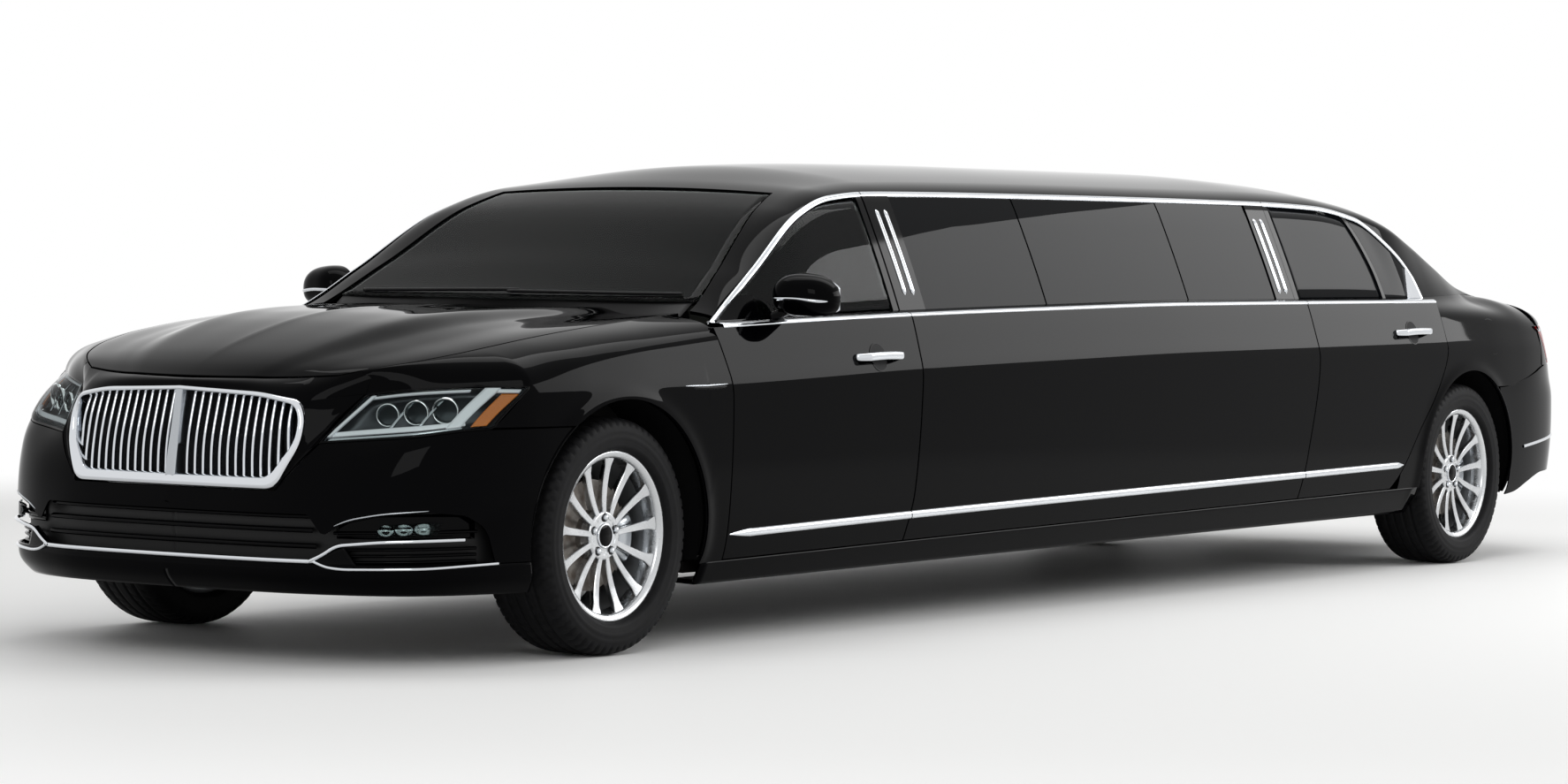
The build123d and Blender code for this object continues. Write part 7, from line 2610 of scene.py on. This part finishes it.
def channel(obj, axis, places, start, depth=0.007, width=0.006):
    """Presses sewn lines into the pad: each point near a line, in the pad's own axis, moves
    inwards along its normal by depth times a bell curve of its distance."""
    count = len(obj.data.vertices)
    points, normals = np.empty(count * 3), np.empty(count * 3)
    obj.data.vertices.foreach_get("co", points)
    obj.data.vertex_normals.foreach_get("vector", normals)
    points, normals = points.reshape(-1, 3), normals.reshape(-1, 3)
    own = (points - start) @ axis
    dent = sum(np.exp(-(((own - p) / width) ** 2)) for p in places)
    obj.data.vertices.foreach_set("co", (points - normals * depth * np.minimum(dent, 1)[:, None]).ravel())
    obj.data.update()


def seat_pad(name, size, middle, tip=0.0, turn=0.0, channels=(), cap=0.022):
    """Cushion of a given size (across, along, thick), tipped back about X and turned about Z."""
    rotate = np.array(Matrix.Rotation(turn, 3, "Z") @ Matrix.Rotation(tip, 3, "X"))
    place = np.array(middle, float) + (0, FRONT_AXLE, 0)
    half = (np.array(size) - (0.016, 0.016, 0.030)) / 2
    grid = (box_round(-half, half, 10, 6.0) - (0, FRONT_AXLE, 0)) @ rotate.T + place
    obj = piece(name, [grid], leather, slot="leather", around=True, middle=place)
    swell(obj, cap=cap, voxel=0.010 if max(size) < 0.8 else 0.015)
    if channels:
        channel(obj, rotate[:, 1], channels, place)
    obj.data.polygons.foreach_set("use_smooth", np.full(len(obj.data.polygons), True))


for hand, pad_name, x in (("left", "driver_{}_left", 0.365), ("right", "passenger_{}", -0.365)):
    seat_pad(
        pad_name.format("cushion"), (0.50, 0.50, 0.15), (x, 1.430, 0.505), radians(5),
        channels=(-0.10, 0.0, 0.10)
    )
    seat_pad(
        pad_name.format("backrest"), (0.50, 0.58, 0.13), (x, 1.745, 0.770), radians(76),
        channels=(-0.12, 0.0, 0.12)
    )
    seat_pad(pad_name.format("headrest"), (0.27, 0.17, 0.10), (x, 1.835, 1.125), radians(80), cap=0.016)
    posts = [
        tube(
            xyz(np.full(6, x + d), np.linspace(1.815, 1.830, 6), np.linspace(0.99, 1.08, 6)), 0.010,
            0.010, up=(1, 0, 0), sides=10
        ) for d in (-0.06, 0.06)
    ]
    piece(f"headrest_posts_{hand}", posts, satin_chrome, around=True, middle=(x, FRONT_AXLE + 1.82, 1.03))
    base = box_round((x - 0.22, 1.20, 0.262), (x + 0.22, 1.66, 0.440), 8, 7.0)
    piece(f"seat_base_{hand}", [base], moulded, around=True, middle=(x, FRONT_AXLE + 1.43, 0.35))
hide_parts("front_seats")
COUCH_FRONT, COUCH_REAR = 2.52, 4.02
couch_len, couch_mid = COUCH_REAR - COUCH_FRONT, (COUCH_REAR + COUCH_FRONT) / 2
seat_pad("couch_cushion", (couch_len, 0.44, 0.15), (-0.43, couch_mid, 0.505), 0.0, -pi / 2)
seat_pad(
    "couch_backrest", (couch_len, 0.38, 0.11), (-0.690, couch_mid, 0.730), radians(82), -pi / 2
)
couch_base = box_round((-0.76, COUCH_FRONT, 0.260), (-0.22, COUCH_REAR, 0.440), 10, 9.0)
piece("couch_base", [couch_base], dash_skin, around=True, middle=(-0.5, FRONT_AXLE + 3.2, 0.35))
seat_pad(
    "bench_cushion", (1.10, 0.50, 0.16), (0.0, 4.980, 0.505), radians(5), channels=(-0.10, 0.04),
)
seat_pad(
    "bench_backrest", (1.10, 0.56, 0.14), (0.0, 5.315, 0.745), radians(76), channels=(-0.14, 0.0, 0.14),
)
bench_base = box_round((-0.54, 4.76, 0.260), (0.54, 5.24, 0.440), 10, 9.0)
piece("bench_base", [bench_base], dash_skin, around=True, middle=(0, FRONT_AXLE + 5.0, 0.35))
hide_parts("cabin_seats")

# %% [markdown]
# ## Linings
# Carpet, headlining, side trim and door cards close the cabin. A door's frame is a band from
# the folded edge of its skin to the edge of its card, painted as the body is.

# %% Carpet and headlining
floor_y, floor_x = np.meshgrid(np.linspace(0.70, 5.34, 40), np.linspace(-0.825, 0.825, 12), indexing="ij")
piece("carpet", [xyz(floor_x, floor_y, 0.258)], carpet, outward=(0, 0, 1), thickness=0.004)
lining_y = np.linspace(1.34, 5.02, 44)
lining_x = np.linspace(-1, 1, 31)[:, None] * 0.93
lining = on_its_side(house(lining_y, np.abs(lining_x), -0.034), lining_x)
piece("headlining_cloth", [lining], headlining, outward=(0, 0, -1), thickness=0.006)
window_glass = xyz(
    *np.broadcast_arrays(np.linspace(-0.41, 0.41, 12)[None], 1.990, np.linspace(1.005, 1.325, 6)[:, None])
)
piece("partition_glass", [window_glass], privacy_glass, outward=(0, -1, 0), thickness=0.006)


def side_trim(y_a, y_b, cols):
    """Lining of the side from the floor up to the belt."""
    y = np.linspace(y_a, y_b, cols)
    return side(y, ruled(np.full(cols, 0.300), belt_z(y) + 0.004, 20), -0.096)


pair("cabin_side_trim", [side_trim(1.70, 4.10, 60)], leather, thickness=0.006, edge=0.001)
pair("front_side_trim", [side_trim(0.46, 0.56, 6)], dash_skin, thickness=0.006)


def edge_loop(grid):
    """Points round the edge of a grid, once."""
    return np.concatenate([grid[0], grid[1:, -1], grid[-1, -2::-1], grid[-2:0:-1, 0]])


def opening(front_edge, rear_edge, shrink, out):
    """Grid of a door at a depth, its edges moved inwards by shrink."""
    y, z = field(
        shifted(front_edge, shrink), shifted(rear_edge, -shrink), shifted(door_foot, shrink),
        shifted(belt_z, -0.002), 24, 40
    )
    return side(y, z, out)


def band(edges, *places):
    """Closed band round a door through loops at (shrink, out)."""
    return np.stack([edge_loop(opening(*edges, *place)) for place in places])


for name, front_edge, rear_edge in (
    ("door_front", door_front_line, door_rear_line),
    ("door_rear", rear_door_front_line, rear_door_rear_line)
):
    card = opening(front_edge, rear_edge, 0.036, -0.080)
    edges, body = (front_edge, rear_edge), name + "_{}"
    rim = band(edges, (0.008, -0.011), (0.010, -0.034), (0.030, -0.040), (0.034, -0.078))
    pair(f"{name}_frame_band", [rim], paint, body, slot="black_paint", around=True, thickness=0.002)
    pair(f"{name}_card", [card], dash_skin, body, slot="trim", thickness=0.004)
    jamb = band(edges, (-0.0015, -0.013), (-0.0015, -0.060), (0.020, -0.100))
    pair(f"{name}_jamb", [jamb], paint, slot="black_paint", around=True, thickness=0.002)
    pair(
        f"{name}_jamb_seal", [band(edges, (0.018, -0.094), (0.024, -0.094))], seal, around=True,
        thickness=0.010
    )
    y_mid = float(front_edge(0.7)) + 0.26
    rest = side(np.linspace(y_mid, y_mid + 0.42, 24), np.linspace(0.705, 0.735, 24), -0.115)
    pair(
        f"{name}_armrest", [tube(rest, 0.062, 0.050, sides=16)], leather, body, around=True,
        middle=rest.mean(0)
    )

# %% Boot and engine bay
boot_y, boot_x = np.meshgrid(np.linspace(5.62, 6.56, 20), np.linspace(-0.60, 0.60, 20), indexing="ij")
piece("boot_carpet", [xyz(boot_x, boot_y, 0.300)], carpet, outward=(0, 0, 1), thickness=0.004)
wall_y = np.linspace(5.62, 6.56, 24)
pair(
    "boot_side_lining",
    [xyz(0.60 - 0.03 * smooth(6.3, 6.6, wall_y), wall_y, level_rows(0.300, 0.930, 24, 10))], felt,
    outward=(-1, 0, 0), thickness=0.006
)
tail_wall = xyz(
    *np.broadcast_arrays(np.linspace(-0.60, 0.60, 20)[None], 6.575, np.linspace(0.300, 0.665, 8)[:, None])
)
piece("boot_tail_lining", [tail_wall], moulded, outward=(0, -1, 0), thickness=0.006)
apron_y = np.linspace(-0.60, 0.52, 50)
apron_x, apron_z = bonnet_edge(apron_y)
apron_top = xyz(apron_x - 0.004, apron_y, apron_z - 0.016)
apron_step = xyz(apron_x - 0.050, apron_y, apron_z - 0.030)
apron_foot = xyz(apron_x - 0.060, apron_y, np.full(50, 0.560))
pair(
    "engine_bay_side",
    [np.concatenate([ruled(apron_top, apron_step, 4), ruled(apron_step, apron_foot, 8)[1:]])], underseal,
    outward=(-1, 0, 0.3), thickness=0.004
)
cover = box_round((-0.26, -0.30, 0.790), (0.26, 0.30, 0.858), 12, 6.0)
cover[..., 2] += 0.004 * np.cos(cover[..., 0] * 2 * pi / 0.052) * smooth(0.82, 0.85, cover[..., 2])
piece("engine_cover", [cover], moulded, around=True, middle=(0, FRONT_AXLE, 0.82))
slam_x = np.linspace(-0.60, 0.60, 30)
slam = xyz(slam_x, -0.700 + 0.12 * (slam_x / 0.6) ** 2, level_rows(0.770, 0.560, 30, 6))
piece("radiator_panel", [slam], moulded, outward=(0, 1, 0.2), thickness=0.010)

# %% [markdown]
# ## Finish
# The panels replace the plain CAD ones. What stays of the CAD, under the car and behind the
# trim, gets its own finish.

# %% Replaced and kept CAD parts
for node, thing in (
    ("front_wings", "front_wing_skin_left"), ("centre_panels", "centre_skin_left"),
    ("rear_quarters", "rear_quarter_skin_left"), ("roof", "roof_skin"), ("sills", "sill_cover_left"),
    ("door_front_left", "door_front_skin_left"), ("door_rear_left", "door_rear_skin_left"),
    ("door_front_right", "door_front_skin_right"), ("door_rear_right", "door_rear_skin_right"),
):
    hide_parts(node)
for finish_of, nodes in (
    (underseal, ("floor_pan", "cowl")), (iron, ("front_subframe", "rear_axle")), (casting, ("engine",)),
    (headlining, ("partition",)), (cast_alloy, ("knuckle_front_left", "knuckle_front_right")),
):
    for node in nodes:
        mesh = bpy.data.objects[node].data
        mesh.materials.clear()
        mesh.materials.append(finish_of)
